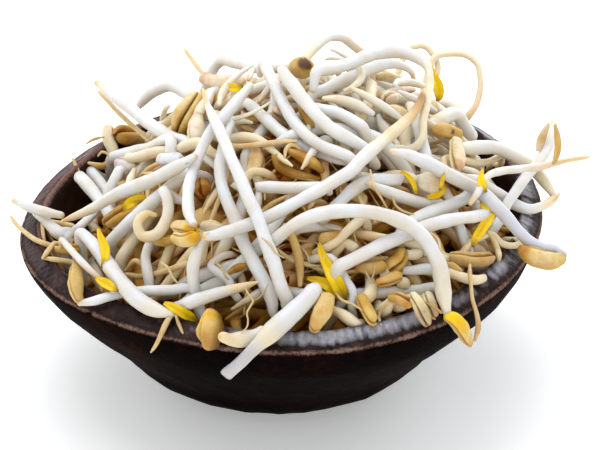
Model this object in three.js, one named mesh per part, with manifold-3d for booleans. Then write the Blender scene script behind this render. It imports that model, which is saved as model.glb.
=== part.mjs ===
// A hand-carved dark wood bowl heaped with mung bean sprouts. Millimetres, +Z up.
// The origin is the centre of the bowl's flat foot, which stands on the plane z = 0.
// +X is to the right and -Y to the front of the bowl as it is usually seen.
import * as THREE from "three";
import { mergeVertices } from "three/addons/utils/BufferGeometryUtils.js";
import Module from "manifold-3d";

// ---------------------------------------------------------------- driving dimensions
const RIM_RADIUS = 60; // mean outer radius of the bowl at its rim
const RIM_HEIGHT = 39.38; // mean height of the rim's outer edge
const FOOT_RADIUS = 17.03; // flat foot
const RIM_WIDTH = 4.6; // sloping rim, radially
const RIM_RISE = 2.92; // the rim's inner edge stands this much higher than its outer edge
const FLOOR_THICKNESS = 6; // wood under the middle of the hollow
const RIM_OFFSET_X = 1.12; // the rim's centre lies to the right of the foot's centre
const BOWL_SEGMENTS = 54;
const HEAP_SEGMENTS = 26;

// outside of the bowl from the foot up to the rim's outer edge: radius, height
const OUTSIDE = [
  [FOOT_RADIUS, 0], [27.01, 3.19], [35.25, 7.45], [39.25, 12.77], [45.17, 19.16],
  [51.48, 25.54], [56.83, 31.93], [RIM_RADIUS - 0.1, RIM_HEIGHT],
];
// hollow of the bowl from the rim's inner edge down to the middle: radius, height
const INSIDE = [
  [RIM_RADIUS - 0.1 - RIM_WIDTH, RIM_HEIGHT + RIM_RISE], [54.2, 40.6], [53.4, 36], [49.6, 28],
  [43.2, 20], [35, 13], [25, 8.6], [12, 6.4], [0, FLOOR_THICKNESS],
];
// the rim isn't a true circle: cosine and sine terms of its outer radius and of its height
const RIM_RADIUS_TERMS = [
  [-0.12, 0], [1.144, -0.331], [-0.141, 0.805], [-1.12, -0.036], [0.039, 0.482], [0.148, -0.302],
];
const RIM_HEIGHT_TERMS = [[0, 0], [1.541, 0.15], [-0.227, -0.11]];

// inner sprouts: levels of the hidden part of the heap, each an ellipse
// height, centre x, centre y, half width in x, half width in y
const HEAP_LEVELS = [
  [6.9, 1, 0, 9, 9], [9.6, 1, 0, 22.5, 22.5], [13.9, 1, 0, 33, 33], [20.6, 2, 0.2, 39.8, 41.8],
  [27.5, 5.5, 0.5, 41.6, 46.8], [31, 7, 0.7, 42.8, 48.6], [34, 7, 0.7, 41.6, 47.4],
  [38.1, 7, 0.7, 38.7, 44.1], [43, 7, 0.7, 34.4, 39.2], [48.5, 7, 0.7, 28, 31.8],
  [53.7, 7, 0.7, 19.4, 22], [57.2, 7, 0.7, 9.5, 10.8], [58.3, 7, 0.7, 0, 0],
];

// ---------------------------------------------------------------- materials
const finish = (color, roughness) => new THREE.MeshStandardMaterial({ color, roughness, metalness: 0 });
const BOWL_WOOD = [0x2a1c17, 0.45];
const STEM_WHITE = [0xe9ecf2, 0.42];
const STEM_CREAM = [0xe7d9bd, 0.5];
const ROOT_TAN = [0xc9a877, 0.6];
const BEAN_GOLD = [0xcf9f3f, 0.45];
const BEAN_TAN = [0xc19a60, 0.55];
const BEAN_YELLOW = [0xe6c65c, 0.42];
const HEAP_BROWN = [0xb08a52, 0.65];

// ---------------------------------------------------------------- shape helpers
const wasm = await Module();
wasm.setup();

// one closed skin: shared corners merged, positions only
function closed(geometry) {
  geometry.deleteAttribute("normal");
  geometry.deleteAttribute("uv");
  return mergeVertices(geometry, 1e-4);
}

// a closed skin as a solid, for joining
function solid(geometry) {
  return new wasm.Manifold(new wasm.Mesh({
    numProp: 3,
    vertProperties: new Float32Array(geometry.attributes.position.array),
    triVerts: new Uint32Array(geometry.index.array),
  }));
}

// a joined solid back as a geometry
function skin(joined) {
  const mesh = joined.getMesh();
  const geometry = new THREE.BufferGeometry();
  const stride = mesh.numProp;
  const corners = new Float32Array((mesh.vertProperties.length / stride) * 3);
  for (let i = 0; i < corners.length / 3; i++)
    for (let k = 0; k < 3; k++) corners[3 * i + k] = mesh.vertProperties[i * stride + k];
  geometry.setAttribute("position", new THREE.BufferAttribute(corners, 3));
  geometry.setIndex(new THREE.BufferAttribute(new Uint32Array(mesh.triVerts), 1));
  return geometry;
}

// moves every corner of a geometry with f(corner)
function reshape(geometry, f) {
  const position = geometry.attributes.position;
  const corner = new THREE.Vector3();
  for (let i = 0; i < position.count; i++) {
    corner.fromBufferAttribute(position, i);
    f(corner);
    position.setXYZ(i, corner.x, corner.y, corner.z);
  }
  position.needsUpdate = true;
  return geometry;
}

const terms = (list, angle) =>
  list.reduce((sum, [c, s], k) => sum + c * Math.cos(k * angle) + s * Math.sin(k * angle), 0);

// ---------------------------------------------------------------- the bowl
// a lathed bowl whose upper part follows the uneven outline and height of the rim
function bowlGeometry() {
  const profile = [[0, 0], ...OUTSIDE, ...INSIDE].map(([r, z]) => new THREE.Vector2(r, z));
  const geometry = closed(new THREE.LatheGeometry(profile, BOWL_SEGMENTS));
  return reshape(geometry, (p) => {
    const radius = Math.hypot(p.x, p.z);
    const height = p.y;
    const angle = Math.atan2(-p.z, p.x);
    const share = Math.min(Math.max(height / RIM_HEIGHT, 0), 1.15) ** 1.5;
    const lift = Math.min(share, 1.1) * terms(RIM_HEIGHT_TERMS, angle);
    const r = radius * (1 + (share * terms(RIM_RADIUS_TERMS, angle)) / RIM_RADIUS);
    const blend = height > 38 ? 1 : 0.6 + 0.4 * Math.min(Math.max((height - 31.93) / 6.5, 0), 1);
    p.set(RIM_OFFSET_X * Math.min(share, 1) + r * Math.cos(angle), r * Math.sin(angle), height + lift * blend);
  });
}

// ---------------------------------------------------------------- the hidden middle of the heap
function heapGeometry() {
  const profile = [[0, HEAP_LEVELS[0][0]], ...HEAP_LEVELS.map((l) => [l[3], l[0]])]
    .map(([r, z]) => new THREE.Vector2(r, z));
  const geometry = closed(new THREE.LatheGeometry(profile, HEAP_SEGMENTS));
  return reshape(geometry, (p) => {
    const radius = Math.hypot(p.x, p.z);
    const angle = Math.atan2(-p.z, p.x);
    const level = HEAP_LEVELS.find((l) => Math.abs(l[0] - p.y) < 1e-3);
    const k = level[3] > 0 ? radius / level[3] : 0;
    p.set(level[1] + k * level[3] * Math.cos(angle), level[2] + k * level[4] * Math.sin(angle), p.y);
  });
}

// ---------------------------------------------------------------- the sprouts
// A strand is a lathed spindle bent along a smooth curve. Its line lists points with the
// radius there; a cut end is flat and any other end is rounded.
function strandGeometry({ line, rings, cut }) {
  const curve = new THREE.CatmullRomCurve3(line.map(([x, y, z]) => new THREE.Vector3(x, y, z)), false, "centripetal");
  curve.arcLengthDivisions = 400;
  const length = curve.getLength();
  const radiusAt = (u) => {
    const f = Math.min(Math.max(u, 0), 1) * (line.length - 1);
    const i = Math.min(Math.floor(f), line.length - 2);
    return line[i][3] + (line[i + 1][3] - line[i][3]) * (f - i);
  };
  const stations = [];
  const first = radiusAt(0);
  const last = radiusAt(1);
  const startInset = Math.min(cut[0] ? 0.12 * first : 0.62 * first, 0.2 * length);
  const endInset = Math.min(cut[1] ? 0.12 * last : 0.62 * last, 0.2 * length);
  stations.push([0, 0], [cut[0] ? 0.9 * first : 0.6 * first, cut[0] ? 0 : 0.18 * startInset]);
  for (let k = 0; k <= rings; k++) {
    const s = startInset + ((length - startInset - endInset) * k) / rings;
    stations.push([radiusAt(s / length), s]);
  }
  stations.push([cut[1] ? 0.9 * last : 0.6 * last, cut[1] ? length : length - 0.18 * endInset], [0, length]);
  const sides = Math.max(...line.map((p) => p[3])) < 1.9 ? 6 : 7;
  const geometry = closed(new THREE.LatheGeometry(stations.map(([r, s]) => new THREE.Vector2(r, s)), sides));
  const steps = 200;
  const frames = curve.computeFrenetFrames(steps, false);
  const centre = new THREE.Vector3();
  return reshape(geometry, (p) => {
    const u = Math.min(Math.max(p.y / length, 0), 1);
    const k = Math.round(u * steps);
    curve.getPointAt(u, centre);
    const n = frames.normals[k];
    const b = frames.binormals[k];
    p.set(
      centre.x + p.x * b.x + p.z * n.x,
      centre.y + p.x * b.y + p.z * n.y,
      centre.z + p.x * b.z + p.z * n.z,
    );
  });
}

// a short peg between the nearest ends of two strands of one sprout
function peg(from, to) {
  const ends = [];
  for (const a of [from.line[0], from.line[from.line.length - 1]])
    for (const b of [to.line[0], to.line[to.line.length - 1]])
      ends.push([Math.hypot(a[0] - b[0], a[1] - b[1], a[2] - b[2]), a, b]);
  const [gap, a, b] = ends.sort((p, q) => p[0] - q[0])[0];
  if (gap < 0.4) return null;
  const r = 0.72 * Math.min(a[3], b[3]);
  const reach = (p, q, d) => [0, 1, 2].map((k) => p[k] + ((q[k] - p[k]) * d) / gap);
  const p = reach(a, b, -0.3 * a[3]);
  const q = reach(b, a, -0.3 * b[3]);
  const mid = [0, 1, 2].map((k) => (p[k] + q[k]) / 2);
  return { rings: 3, cut: [false, false], line: [[...p, r], [...mid, r], [...q, r]] };
}

const SPROUTS = [
  { name: "sprout_back_left_high", material: STEM_WHITE, strands: [
    { rings: 8, cut: [false, false], line: [[-43.11, 35.05, 55.3, 1.1], [-40.13, 30.74, 55.12, 1.36], [-37.21, 26.38, 55.13, 1.47], [-34.42, 21.94, 55.25, 1.55], [-31.78, 17.41, 55.35, 1.54], [-29.13, 12.88, 55.58, 1.52], [-26.39, 8.45, 56.09, 1.49], [-23.2, 4.34, 56.65, 1.42], [-19.95, 0.3, 57.45, 1.33], [-16.96, -3.97, 58.04, 1.33], [-14.46, -8.54, 58.34, 1.33]] },
  ] },
  { name: "sprout_back_left_root", material: ROOT_TAN, strands: [
    { rings: 9, cut: [false, false], line: [[-42.94, 37.54, 51.64, 0.49], [-40.3, 33.11, 51.19, 0.56], [-37.79, 28.6, 50.77, 0.6], [-35.17, 24.13, 50.54, 0.6], [-32.53, 19.67, 50.45, 0.56], [-29.93, 15.19, 50.44, 0.53], [-26.95, 11, 50.94, 0.54], [-23.64, 7.22, 52.19, 0.56], [-20.26, 3.65, 53.81, 0.56], [-16.89, -0.04, 55.14, 0.55], [-13.61, -3.93, 56.13, 0.55], [-11.2, -8.39, 56.34, 0.55]] },
  ] },
  { name: "sprout_left_upper_cross", material: STEM_WHITE, strands: [
    { rings: 10, cut: [false, false], line: [[-3.42, 16.42, 56.76, 1.35], [-5.86, 14.32, 56.66, 1.35], [-7.29, 11.44, 56.84, 1.35], [-8.41, 8.41, 57.02, 1.35], [-10.31, 5.87, 57.3, 1.35], [-13.26, 5.47, 58.02, 1.35], [-15.66, 7.19, 57.7, 1.38], [-17.66, 9.06, 55.98, 1.46], [-19.67, 10.85, 54.2, 1.47], [-22.2, 12.07, 52.61, 1.47], [-24.8, 13.45, 51.27, 1.42], [-27.29, 15.18, 50.15, 1.32]] },
  ] },
  { name: "sprout_back_left_arch", material: STEM_WHITE, strands: [
    { rings: 10, cut: [false, false], line: [[-35.16, 47.6, 41.62, 1.35], [-32.9, 46.51, 44.85, 1.35], [-30.41, 45.18, 47.8, 1.4], [-27.55, 43.4, 50.09, 1.46], [-24.61, 40.81, 51.05, 1.45], [-22.04, 37.63, 51.1, 1.45], [-19.56, 34.39, 50.92, 1.44], [-16.39, 31.92, 50.38, 1.44], [-12.59, 30.84, 49.44, 1.44], [-8.6, 30.17, 49.93, 1.31], [-4.91, 28.82, 51.04, 1.04], [-1.34, 27.26, 52.28, 0.77], [2.47, 26.1, 53.22, 0.5]] },
  ] },
  { name: "sprout_split_bean", material: BEAN_TAN, strands: [
    { rings: 6, cut: [false, false], line: [[-18.95, 14.25, 61.61, 1.45], [-18.62, 12.27, 62.8, 1.75], [-19.36, 10.84, 61.96, 2.4], [-20.59, 9.88, 60.23, 2.79], [-21.7, 9.35, 58.26, 2.49], [-22.49, 9.39, 56.07, 1.81]] },
  ] },
  { name: "sprout_top_bean_upper", material: STEM_CREAM, strands: [
    { rings: 5, cut: [false, false], line: [[-6.16, 13.66, 65.94, 1.45], [-9.01, 15.83, 65.29, 1.44], [-11.58, 18.11, 63.82, 1.74], [-14.15, 20.56, 62.66, 1.69], [-16.61, 23.31, 62.21, 1.52]] },
  ] },
  { name: "sprout_top_bean_lower", material: BEAN_GOLD, strands: [
    { rings: 9, cut: [false, false], line: [[-11.49, -6.13, 54.95, 0.51], [-9.81, -3.19, 56.42, 0.79], [-7.78, -0.81, 58.39, 1.06], [-6.46, 1.75, 60.7, 1.28], [-5.59, 4.23, 63.26, 1.34], [-6.97, 7.36, 64.1, 1.41], [-9.41, 9.99, 63.21, 1.4], [-11.85, 12.42, 61.85, 1.64], [-14.19, 15.1, 60.81, 1.86], [-16.48, 17.95, 60.23, 1.63]] },
  ] },
  { name: "sprout_top_left_flat", material: STEM_WHITE, strands: [
    { rings: 12, cut: [false, false], line: [[-18.99, 48.95, 45, 1.37], [-17.3, 48.59, 48.39, 1.37], [-15.59, 48.01, 51.73, 1.37], [-13.88, 47.33, 55.06, 1.37], [-11.44, 44.67, 56.2, 1.44], [-9.12, 41.77, 56.98, 1.44], [-6.8, 38.85, 57.74, 1.42], [-4.41, 36.09, 58.78, 1.4], [-1.7, 33.73, 60.02, 1.4], [1.02, 31.39, 61.29, 1.4], [3.64, 28.96, 62.59, 1.4], [5.3, 25.99, 63.97, 1.4], [3.71, 22.68, 63.46, 1.32], [2, 19.88, 61.65, 1.05], [-0.91, 19.46, 59.35, 0.77], [-3.62, 18.71, 56.85, 0.49]] },
  ] },
  { name: "sprout_long_diagonal", material: STEM_WHITE, strands: [
    { rings: 12, cut: [false, false], line: [[-16.19, -4.89, 73.8, 0.35], [-15.23, -9.54, 72.69, 0.72], [-13.8, -14.09, 71.71, 1.12], [-12.14, -18.51, 70.47, 1.31], [-10.61, -22.92, 69.07, 1.33], [-9.11, -27.25, 67.4, 1.4], [-7.42, -31.42, 65.55, 1.4], [-5.84, -35.52, 63.42, 1.47], [-3.98, -39.55, 61.41, 1.47], [-2.45, -43.02, 58.36, 1.48], [-0.72, -46.2, 55.12, 1.48], [0.74, -49.2, 51.57, 1.48], [2.56, -51.49, 47.7, 1.48], [3.39, -49.89, 43.41, 1.45], [6.29, -46.23, 42.13, 1.04], [8.77, -42.19, 40.96, 0.5]] },
  ] },
  { name: "sprout_left_head_pair", material: STEM_WHITE, strands: [
    { rings: 8, cut: [false, false], line: [[-5.79, -3.4, 73.79, 1.34], [-8.27, -6.81, 72.13, 1.33], [-10.75, -10.27, 70.58, 1.33], [-13.36, -13.49, 68.77, 1.32], [-15.62, -16.68, 66.5, 1.31], [-17.24, -20.03, 63.92, 1.21], [-18.37, -23.91, 62.22, 1.16], [-18.75, -28.4, 61.69, 1.27], [-18.72, -32.9, 61.17, 1.38], [-18.34, -37.39, 60.73, 1.4], [-17.36, -41.79, 60.36, 1.3]] },
    { rings: 4, cut: [false, false], line: [[-21.25, -36.9, 57.08, 1.19], [-19.9, -38.56, 57.94, 1.33], [-18.61, -40.34, 58.62, 1.37], [-17.37, -42.22, 59.14, 1.29]] },
    { rings: 5, cut: [false, false], line: [[-21.11, -40.61, 56.25, 1.28], [-19.76, -42.24, 56.75, 1.4], [-18.56, -43.78, 57.71, 1.4], [-16.91, -43.7, 58.52, 1.23]] },
  ] },
  { name: "sprout_second_diagonal", material: STEM_WHITE, strands: [
    { rings: 12, cut: [false, false], line: [[-6.2, -5, 58.33, 0.88], [-8.2, -6.31, 62.24, 0.88], [-9.94, -8.47, 65.82, 0.88], [-10.44, -11.94, 67.47, 0.96], [-11.44, -16.28, 66.34, 1.13], [-12.03, -20.48, 64.58, 1.22], [-12.02, -24.57, 62.51, 1.31], [-11.07, -28.51, 60.37, 1.41], [-9.53, -32.28, 58.24, 1.48], [-7.92, -35.94, 55.98, 1.5], [-6.43, -39.5, 53.5, 1.49], [-4.36, -42.77, 51.01, 1.47], [-2.25, -45.81, 48.28, 1.48], [-0.63, -48.51, 44.97, 1.26], [0.41, -48.78, 40.91, 1.06], [0.34, -45.09, 38.33, 0.45]] },
  ] },
  { name: "sprout_top_slope_left", material: STEM_WHITE, strands: [
    { rings: 12, cut: [false, false], line: [[-3.85, 12.56, 68.79, 1.25], [-3.33, 9.47, 71.63, 1.25], [-2.36, 6.37, 73.46, 1.28], [-1.11, 2.37, 72.76, 1.36], [0.12, -1.64, 72.09, 1.43], [1.31, -5.64, 71.29, 1.36], [2.64, -9.61, 70.54, 1.32], [4.31, -13.42, 69.69, 1.32], [6.41, -17.04, 68.95, 1.31], [9.3, -19.95, 68.02, 1.31], [12.91, -22.04, 67.26, 1.29], [16.45, -23.91, 66.18, 1.12], [17.59, -23.86, 62.15, 1.14], [17.98, -20.88, 59.31, 1.09], [17.73, -17.02, 57.54, 0.76], [17.86, -12.97, 56.29, 0.45]] },
  ] },
  { name: "sprout_top_slope_right", material: STEM_WHITE, strands: [
    { rings: 12, cut: [false, false], line: [[1.6, -1.07, 74.87, 1.32], [1.6, -2.96, 77.04, 1.34], [3.05, -5.89, 76.13, 1.43], [4.66, -8.76, 75.25, 1.53], [6.23, -11.59, 74.22, 1.54], [8.11, -14.22, 73.18, 1.53], [10.15, -16.6, 71.89, 1.53], [12.66, -18.42, 70.53, 1.52], [15.59, -19.49, 69.19, 1.5], [18.54, -19.87, 67.56, 1.37], [20.58, -20.03, 64.99, 1.3], [21.8, -18.55, 62.34, 1.3], [22.02, -15.74, 60.47, 1.11], [21.77, -12.8, 58.78, 0.78], [20.93, -10.03, 57.02, 0.45]] },
  ] },
  { name: "sprout_top_slope_short", material: STEM_WHITE, strands: [
    { rings: 12, cut: [false, false], line: [[2.42, -0.74, 59.88, 1.22], [3.42, -3.59, 60.82, 1.22], [3.8, -5.92, 62.91, 1.22], [3.96, -7.34, 65.74, 1.22], [5.05, -8.28, 68.53, 1.22], [7.45, -8.76, 70.53, 1.22], [10.38, -9.45, 71.04, 1.3], [13.38, -10.47, 70.79, 1.41], [16.15, -11.79, 70, 1.43], [18.72, -13.3, 68.88, 1.33], [20.28, -14.04, 66.3, 1.32], [21.32, -13.37, 63.43, 1.32], [21.55, -11.37, 60.98, 1.24], [21.77, -8.99, 58.89, 0.98], [22.69, -6.56, 57.07, 0.72], [24.32, -4.24, 55.63, 0.46]] },
  ] },
  { name: "sprout_inner_slope", material: STEM_WHITE, strands: [
    { rings: 12, cut: [false, false], line: [[-5.54, 8.23, 58.48, 0.99], [-7.37, 5.58, 60.61, 0.93], [-8.56, 3.33, 63.52, 0.91], [-8.6, 1.08, 66.61, 0.99], [-6.68, -1.55, 68.6, 1.01], [-4.42, -4.65, 68.31, 1.19], [-2.21, -7.79, 67.77, 1.31], [0.03, -10.87, 67.07, 1.33], [2.59, -13.67, 66.31, 1.32], [5.67, -15.87, 65.5, 1.32], [8.98, -17.75, 64.96, 1.31], [12.22, -19.86, 64.75, 1.2], [15.76, -21.41, 64.5, 1.04], [18.43, -20.69, 62.41, 1.04], [19.54, -17.95, 59.95, 1.01], [20.29, -14.64, 58.09, 0.65]] },
  ] },
  { name: "sprout_thin_cross_root", material: ROOT_TAN, strands: [
    { rings: 6, cut: [false, false], line: [[-12.95, -12.64, 61.72, 0.66], [-10.72, -14.45, 64.48, 0.66], [-7.09, -15.99, 65.36, 0.66], [-3.29, -17, 66.37, 0.66], [0.57, -17.85, 67.32, 0.56], [4.46, -18.74, 68.08, 0.44]] },
  ] },
  { name: "sprout_rising_right", material: STEM_WHITE, strands: [
    { rings: 12, cut: [false, false], line: [[33.11, 0.17, 71, 0.68], [32.01, -4.37, 70.14, 0.94], [30.2, -8.7, 69.45, 1.18], [27.9, -12.85, 69.14, 1.36], [25.39, -16.87, 68.87, 1.45], [22.7, -20.78, 68.52, 1.52], [19.81, -24.48, 67.85, 1.51], [17.02, -28.09, 66.54, 1.51], [13.54, -31.09, 65.42, 1.5], [9.71, -33.6, 64.19, 1.39], [5.6, -35.52, 62.78, 1.39], [1.42, -36.93, 61.01, 1.38], [-2.8, -37.47, 58.94, 1.36], [-7.07, -39.2, 58.23, 1.38], [-10.94, -41.94, 58.26, 1.38], [-14.31, -45.09, 59.33, 1.38]] },
  ] },
  { name: "sprout_top_bean_dark_eye", material: BEAN_TAN, strands: [
    { rings: 9, cut: [false, false], line: [[-0.7, 17.27, 60.15, 0.62], [0.7, 15.27, 61.98, 0.84], [1.7, 12.7, 63.25, 1.06], [2.11, 10.01, 64.6, 1.28], [2.14, 7.57, 66.42, 1.44], [2.35, 5.42, 68.55, 1.45], [3.19, 4.04, 71.1, 1.45], [3.34, 3.69, 74.1, 1.82], [5.11, 2.37, 75.62, 2.14], [7.56, 0.67, 76.24, 1.79]] },
  ] },
  { name: "sprout_top_loop", material: STEM_WHITE, strands: [
    { rings: 12, cut: [false, false], line: [[1.91, 7.86, 59.77, 1.02], [3.25, 6.37, 63.02, 1.02], [4.52, 5.04, 66.36, 1.02], [5.79, 4.87, 69.86, 1.02], [6.02, 6.92, 73.03, 1.02], [6.89, 10.35, 74.03, 1.03], [8.42, 13.82, 74.45, 1.07], [10.31, 17.11, 74.8, 1.14], [12.75, 20, 74.77, 1.15], [15.6, 21.88, 73.24, 1.12], [18.18, 22.89, 70.61, 1.05], [20.7, 23.56, 67.83, 0.97], [21.65, 23.46, 64.28, 0.93], [22.2, 22.05, 60.8, 0.92], [21.68, 20.71, 57.28, 0.62], [21.2, 19.5, 53.69, 0.45]] },
  ] },
  { name: "sprout_top_arch_outer", material: STEM_WHITE, strands: [
    { rings: 12, cut: [false, false], line: [[8.24, -4.78, 73.7, 1.33], [9.68, -3.08, 77.43, 1.34], [12.72, 0.47, 76.35, 1.4], [15.82, 4.02, 75.49, 1.46], [19.06, 7.55, 75.22, 1.47], [22.84, 10.47, 75.2, 1.49], [27.39, 11.83, 74.84, 1.49], [31.91, 10.81, 73.88, 1.39], [34.53, 7.5, 71.96, 1.03], [34.5, 3.17, 69.97, 0.91], [33.74, -1.38, 68.68, 0.98], [32.9, -6.01, 67.72, 0.99], [32.79, -9.62, 64.99, 0.99], [30.62, -12.47, 62.62, 0.98], [25.93, -11.71, 62.68, 0.7], [21.77, -9.35, 62.7, 0.45]] },
  ] },
  { name: "sprout_top_arch_inner", material: STEM_WHITE, strands: [
    { rings: 12, cut: [false, false], line: [[13.48, -5.57, 60.03, 1.23], [11.02, -6.05, 62.91, 1.23], [8.66, -6.17, 65.91, 1.23], [6.69, -4.75, 68.62, 1.23], [7.81, -1.66, 70.34, 1.23], [10.33, 1.15, 70.34, 1.3], [12.72, 4.12, 70.1, 1.37], [15, 7.16, 69.76, 1.41], [17.32, 10.16, 69.29, 1.46], [19.68, 13.14, 68.88, 1.49], [22.08, 16.09, 68.64, 1.5], [24.71, 18.83, 68.31, 1.43], [27.6, 21.06, 67.28, 1.23], [30.36, 22.61, 65.17, 0.94], [31.96, 22.93, 61.9, 0.82]] },
  ] },
  { name: "sprout_large_pale_bean", material: STEM_CREAM, strands: [
    { rings: 10, cut: [false, false], line: [[33.69, 39.6, 36.62, 0.51], [36.12, 38.56, 39.61, 0.9], [36.61, 36.72, 43.26, 1.23], [37.33, 34.72, 46.79, 1.45], [36.75, 32.14, 49.89, 1.45], [35.23, 29.44, 52.62, 1.45], [33.5, 26.76, 55.24, 1.51], [31.72, 24.07, 57.82, 1.67], [29.45, 20.77, 58.66, 2.48], [27.06, 17.47, 59.3, 2.89], [24.64, 14.24, 60.17, 2.82], [22.09, 11.21, 61.33, 2.24]] },
  ] },
  { name: "sprout_right_air_loop", material: STEM_CREAM, strands: [
    { rings: 12, cut: [false, false], line: [[35.1, 42.72, 43, 0.86], [34.82, 44.31, 46.58, 0.86], [35.71, 46.55, 49.68, 0.86], [37.25, 49.21, 52.15, 0.86], [39.06, 51.82, 54.33, 0.86], [42.96, 52.23, 54.68, 0.86], [46.76, 51.71, 54.04, 0.85], [49, 49.67, 51.74, 0.77], [49.27, 46.77, 49.1, 0.74], [48.74, 43.52, 46.95, 0.73], [47.25, 40.18, 45.49, 0.73], [45.28, 36.87, 44.66, 0.62], [42.5, 34.38, 43.72, 0.74], [40.89, 31.22, 42.31, 1.08], [40.67, 27.95, 40.11, 0.73], [40.88, 24.45, 38.34, 0.45]] },
  ] },
  { name: "sprout_right_rear_stub", material: STEM_WHITE, strands: [
    { rings: 12, cut: [false, false], line: [[43.56, 23.14, 49.12, 1.63], [45.39, 20.25, 48.5, 1.63], [45.27, 17.52, 50.39, 1.63], [43.91, 15.75, 53.12, 1.63], [42.46, 14.12, 55.91, 1.63], [40.97, 12.44, 58.6, 1.63], [38.73, 9.76, 59.1, 1.61], [36.55, 7, 59.51, 1.54], [34.39, 4.25, 59.95, 1.46], [32.09, 1.73, 60.86, 1.46], [29.8, -0.87, 61.54, 1.46], [28.36, -3.81, 60.8, 1.46], [29.28, -5.99, 58.21, 1.34], [30.09, -8.21, 55.59, 1.07], [31.59, -9.47, 52.71, 0.79], [33.27, -10.6, 49.82, 0.51]] },
  ] },
  { name: "sprout_right_rear_upright", material: STEM_WHITE, strands: [
    { rings: 12, cut: [false, false], line: [[33.51, 11.22, 54.97, 1.13], [32.53, 10.26, 58.23, 1.13], [31.63, 8.75, 61.32, 1.13], [30.34, 6.78, 63.93, 1.13], [30.3, 3.53, 65.13, 1.13], [31.07, 0.12, 64.99, 1.27], [31.74, -3.22, 64.01, 1.45], [32.33, -6.49, 62.76, 1.44], [32.89, -9.64, 61.22, 1.32], [33.56, -12.77, 59.7, 1.32], [33.25, -14.76, 56.93, 1.33], [33.03, -14.74, 53.41, 1.1], [33.8, -14.24, 50.01, 0.79], [35.76, -13.72, 47.12, 0.47]] },
  ] },
  { name: "sprout_golden_bean_right", material: BEAN_GOLD, strands: [
    { rings: 8, cut: [false, false], line: [[46.46, 6.64, 38.44, 0.51], [45.39, 7.18, 41.98, 0.8], [44.85, 6.75, 45.65, 1.09], [44.63, 6.06, 49.32, 1.37], [44.09, 4.91, 52.81, 1.44], [42.52, 3.13, 55.7, 1.42], [41.19, 1.56, 58.83, 1.33], [38.54, -0.18, 60.78, 1.56], [35.91, -2.4, 62.24, 1.35]] },
  ] },
  { name: "sprout_upright_bean_right", material: BEAN_TAN, strands: [
    { rings: 6, cut: [false, false], line: [[40, -5.82, 57.86, 1.45], [40.16, -7.04, 60.77, 1.4], [40.18, -9.36, 61.29, 1.5], [40.21, -12.4, 60.44, 1.56], [40.25, -15.45, 59.6, 1.22]] },
  ] },
  { name: "sprout_right_long_overhang", material: STEM_WHITE, strands: [
    { rings: 12, cut: [false, false], line: [[25.24, -24.26, 68.31, 1.19], [28.26, -23.34, 67.27, 1.42], [31.11, -22.69, 65.65, 1.51], [33.88, -22.05, 63.91, 1.6], [36.52, -21.35, 61.99, 1.64], [39, -20.4, 59.97, 1.61], [41.37, -19.13, 58, 1.55], [43.78, -18.08, 55.99, 1.49], [46.14, -19.66, 54.87, 1.52], [48.1, -22.18, 54.09, 1.51], [50.33, -22.86, 51.83, 1.47], [52.49, -23.84, 49.5, 1.44], [54.72, -25.42, 47.6, 1.38], [57.31, -27.2, 46.51, 1.26], [60.25, -28.74, 46.63, 1.21], [62.77, -30.79, 46.3, 1.32]] },
    { rings: 4, cut: [false, false], line: [[62.34, -31.11, 45.73, 1.54], [59.44, -30.58, 44.94, 2.08], [56.63, -29.36, 45.15, 1.44], [54.05, -27.84, 45.85, 0.77]] },
  ] },
  { name: "sprout_right_tipped", material: STEM_WHITE, strands: [
    { rings: 12, cut: [false, false], line: [[35.2, 1.53, 50.76, 1.33], [36.45, -1.42, 51.23, 1.33], [37.33, -4.36, 52.29, 1.33], [38.17, -7.21, 53.59, 1.33], [39.73, -9.93, 54.27, 1.33], [42.57, -11.18, 54.08, 1.33], [45.5, -10.45, 53.35, 1.34], [47.43, -8.9, 51.25, 1.4], [49.3, -7.4, 49.07, 1.46], [51.12, -5.83, 46.89, 1.47], [53.72, -6.4, 45.45, 1.28], [56.24, -7.97, 45.2, 1.09], [58.66, -6.27, 44.19, 1.04], [60.86, -3.92, 43.76, 0.97], [62.9, -1.41, 43.64, 0.87], [64.78, 1.24, 43.77, 0.58]] },
  ] },
  { name: "sprout_right_rim_arch", material: STEM_WHITE, strands: [
    { rings: 8, cut: [false, false], line: [[40.35, -1.81, 57.6, 1.43], [43.97, -0.14, 56.47, 1.53], [47.05, 2.43, 55.32, 1.58], [50.01, 4.94, 53.8, 1.61], [52.94, 6.87, 51.55, 1.62], [55.95, 8.21, 48.99, 1.63], [59.12, 8.63, 46.39, 1.55], [61.8, 6.35, 44.17, 1.51], [63.91, 3.48, 41.99, 1.27]] },
  ] },
  { name: "sprout_right_upright", material: STEM_WHITE, strands: [
    { rings: 11, cut: [false, false], line: [[65.06, 22.38, 51.4, 1.1], [64.31, 18.35, 50.56, 1.22], [63.33, 14.35, 49.85, 1.26], [61.93, 10.45, 49.33, 1.25], [60.17, 6.68, 49.07, 1.25], [58.23, 2.98, 48.87, 1.27], [56.4, -0.77, 48.71, 1.22], [54.73, -4.6, 48.51, 1.12], [53.01, -8.39, 48.2, 1.08], [51.32, -12.06, 47.24, 1.09], [49.75, -15.67, 45.85, 1.11], [47.18, -18.1, 43.98, 1.09], [45.16, -17.18, 40.62, 0.74], [45.16, -16.54, 36.52, 0.45]] },
  ] },
  { name: "sprout_right_root_overhang", material: STEM_WHITE, strands: [
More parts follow.
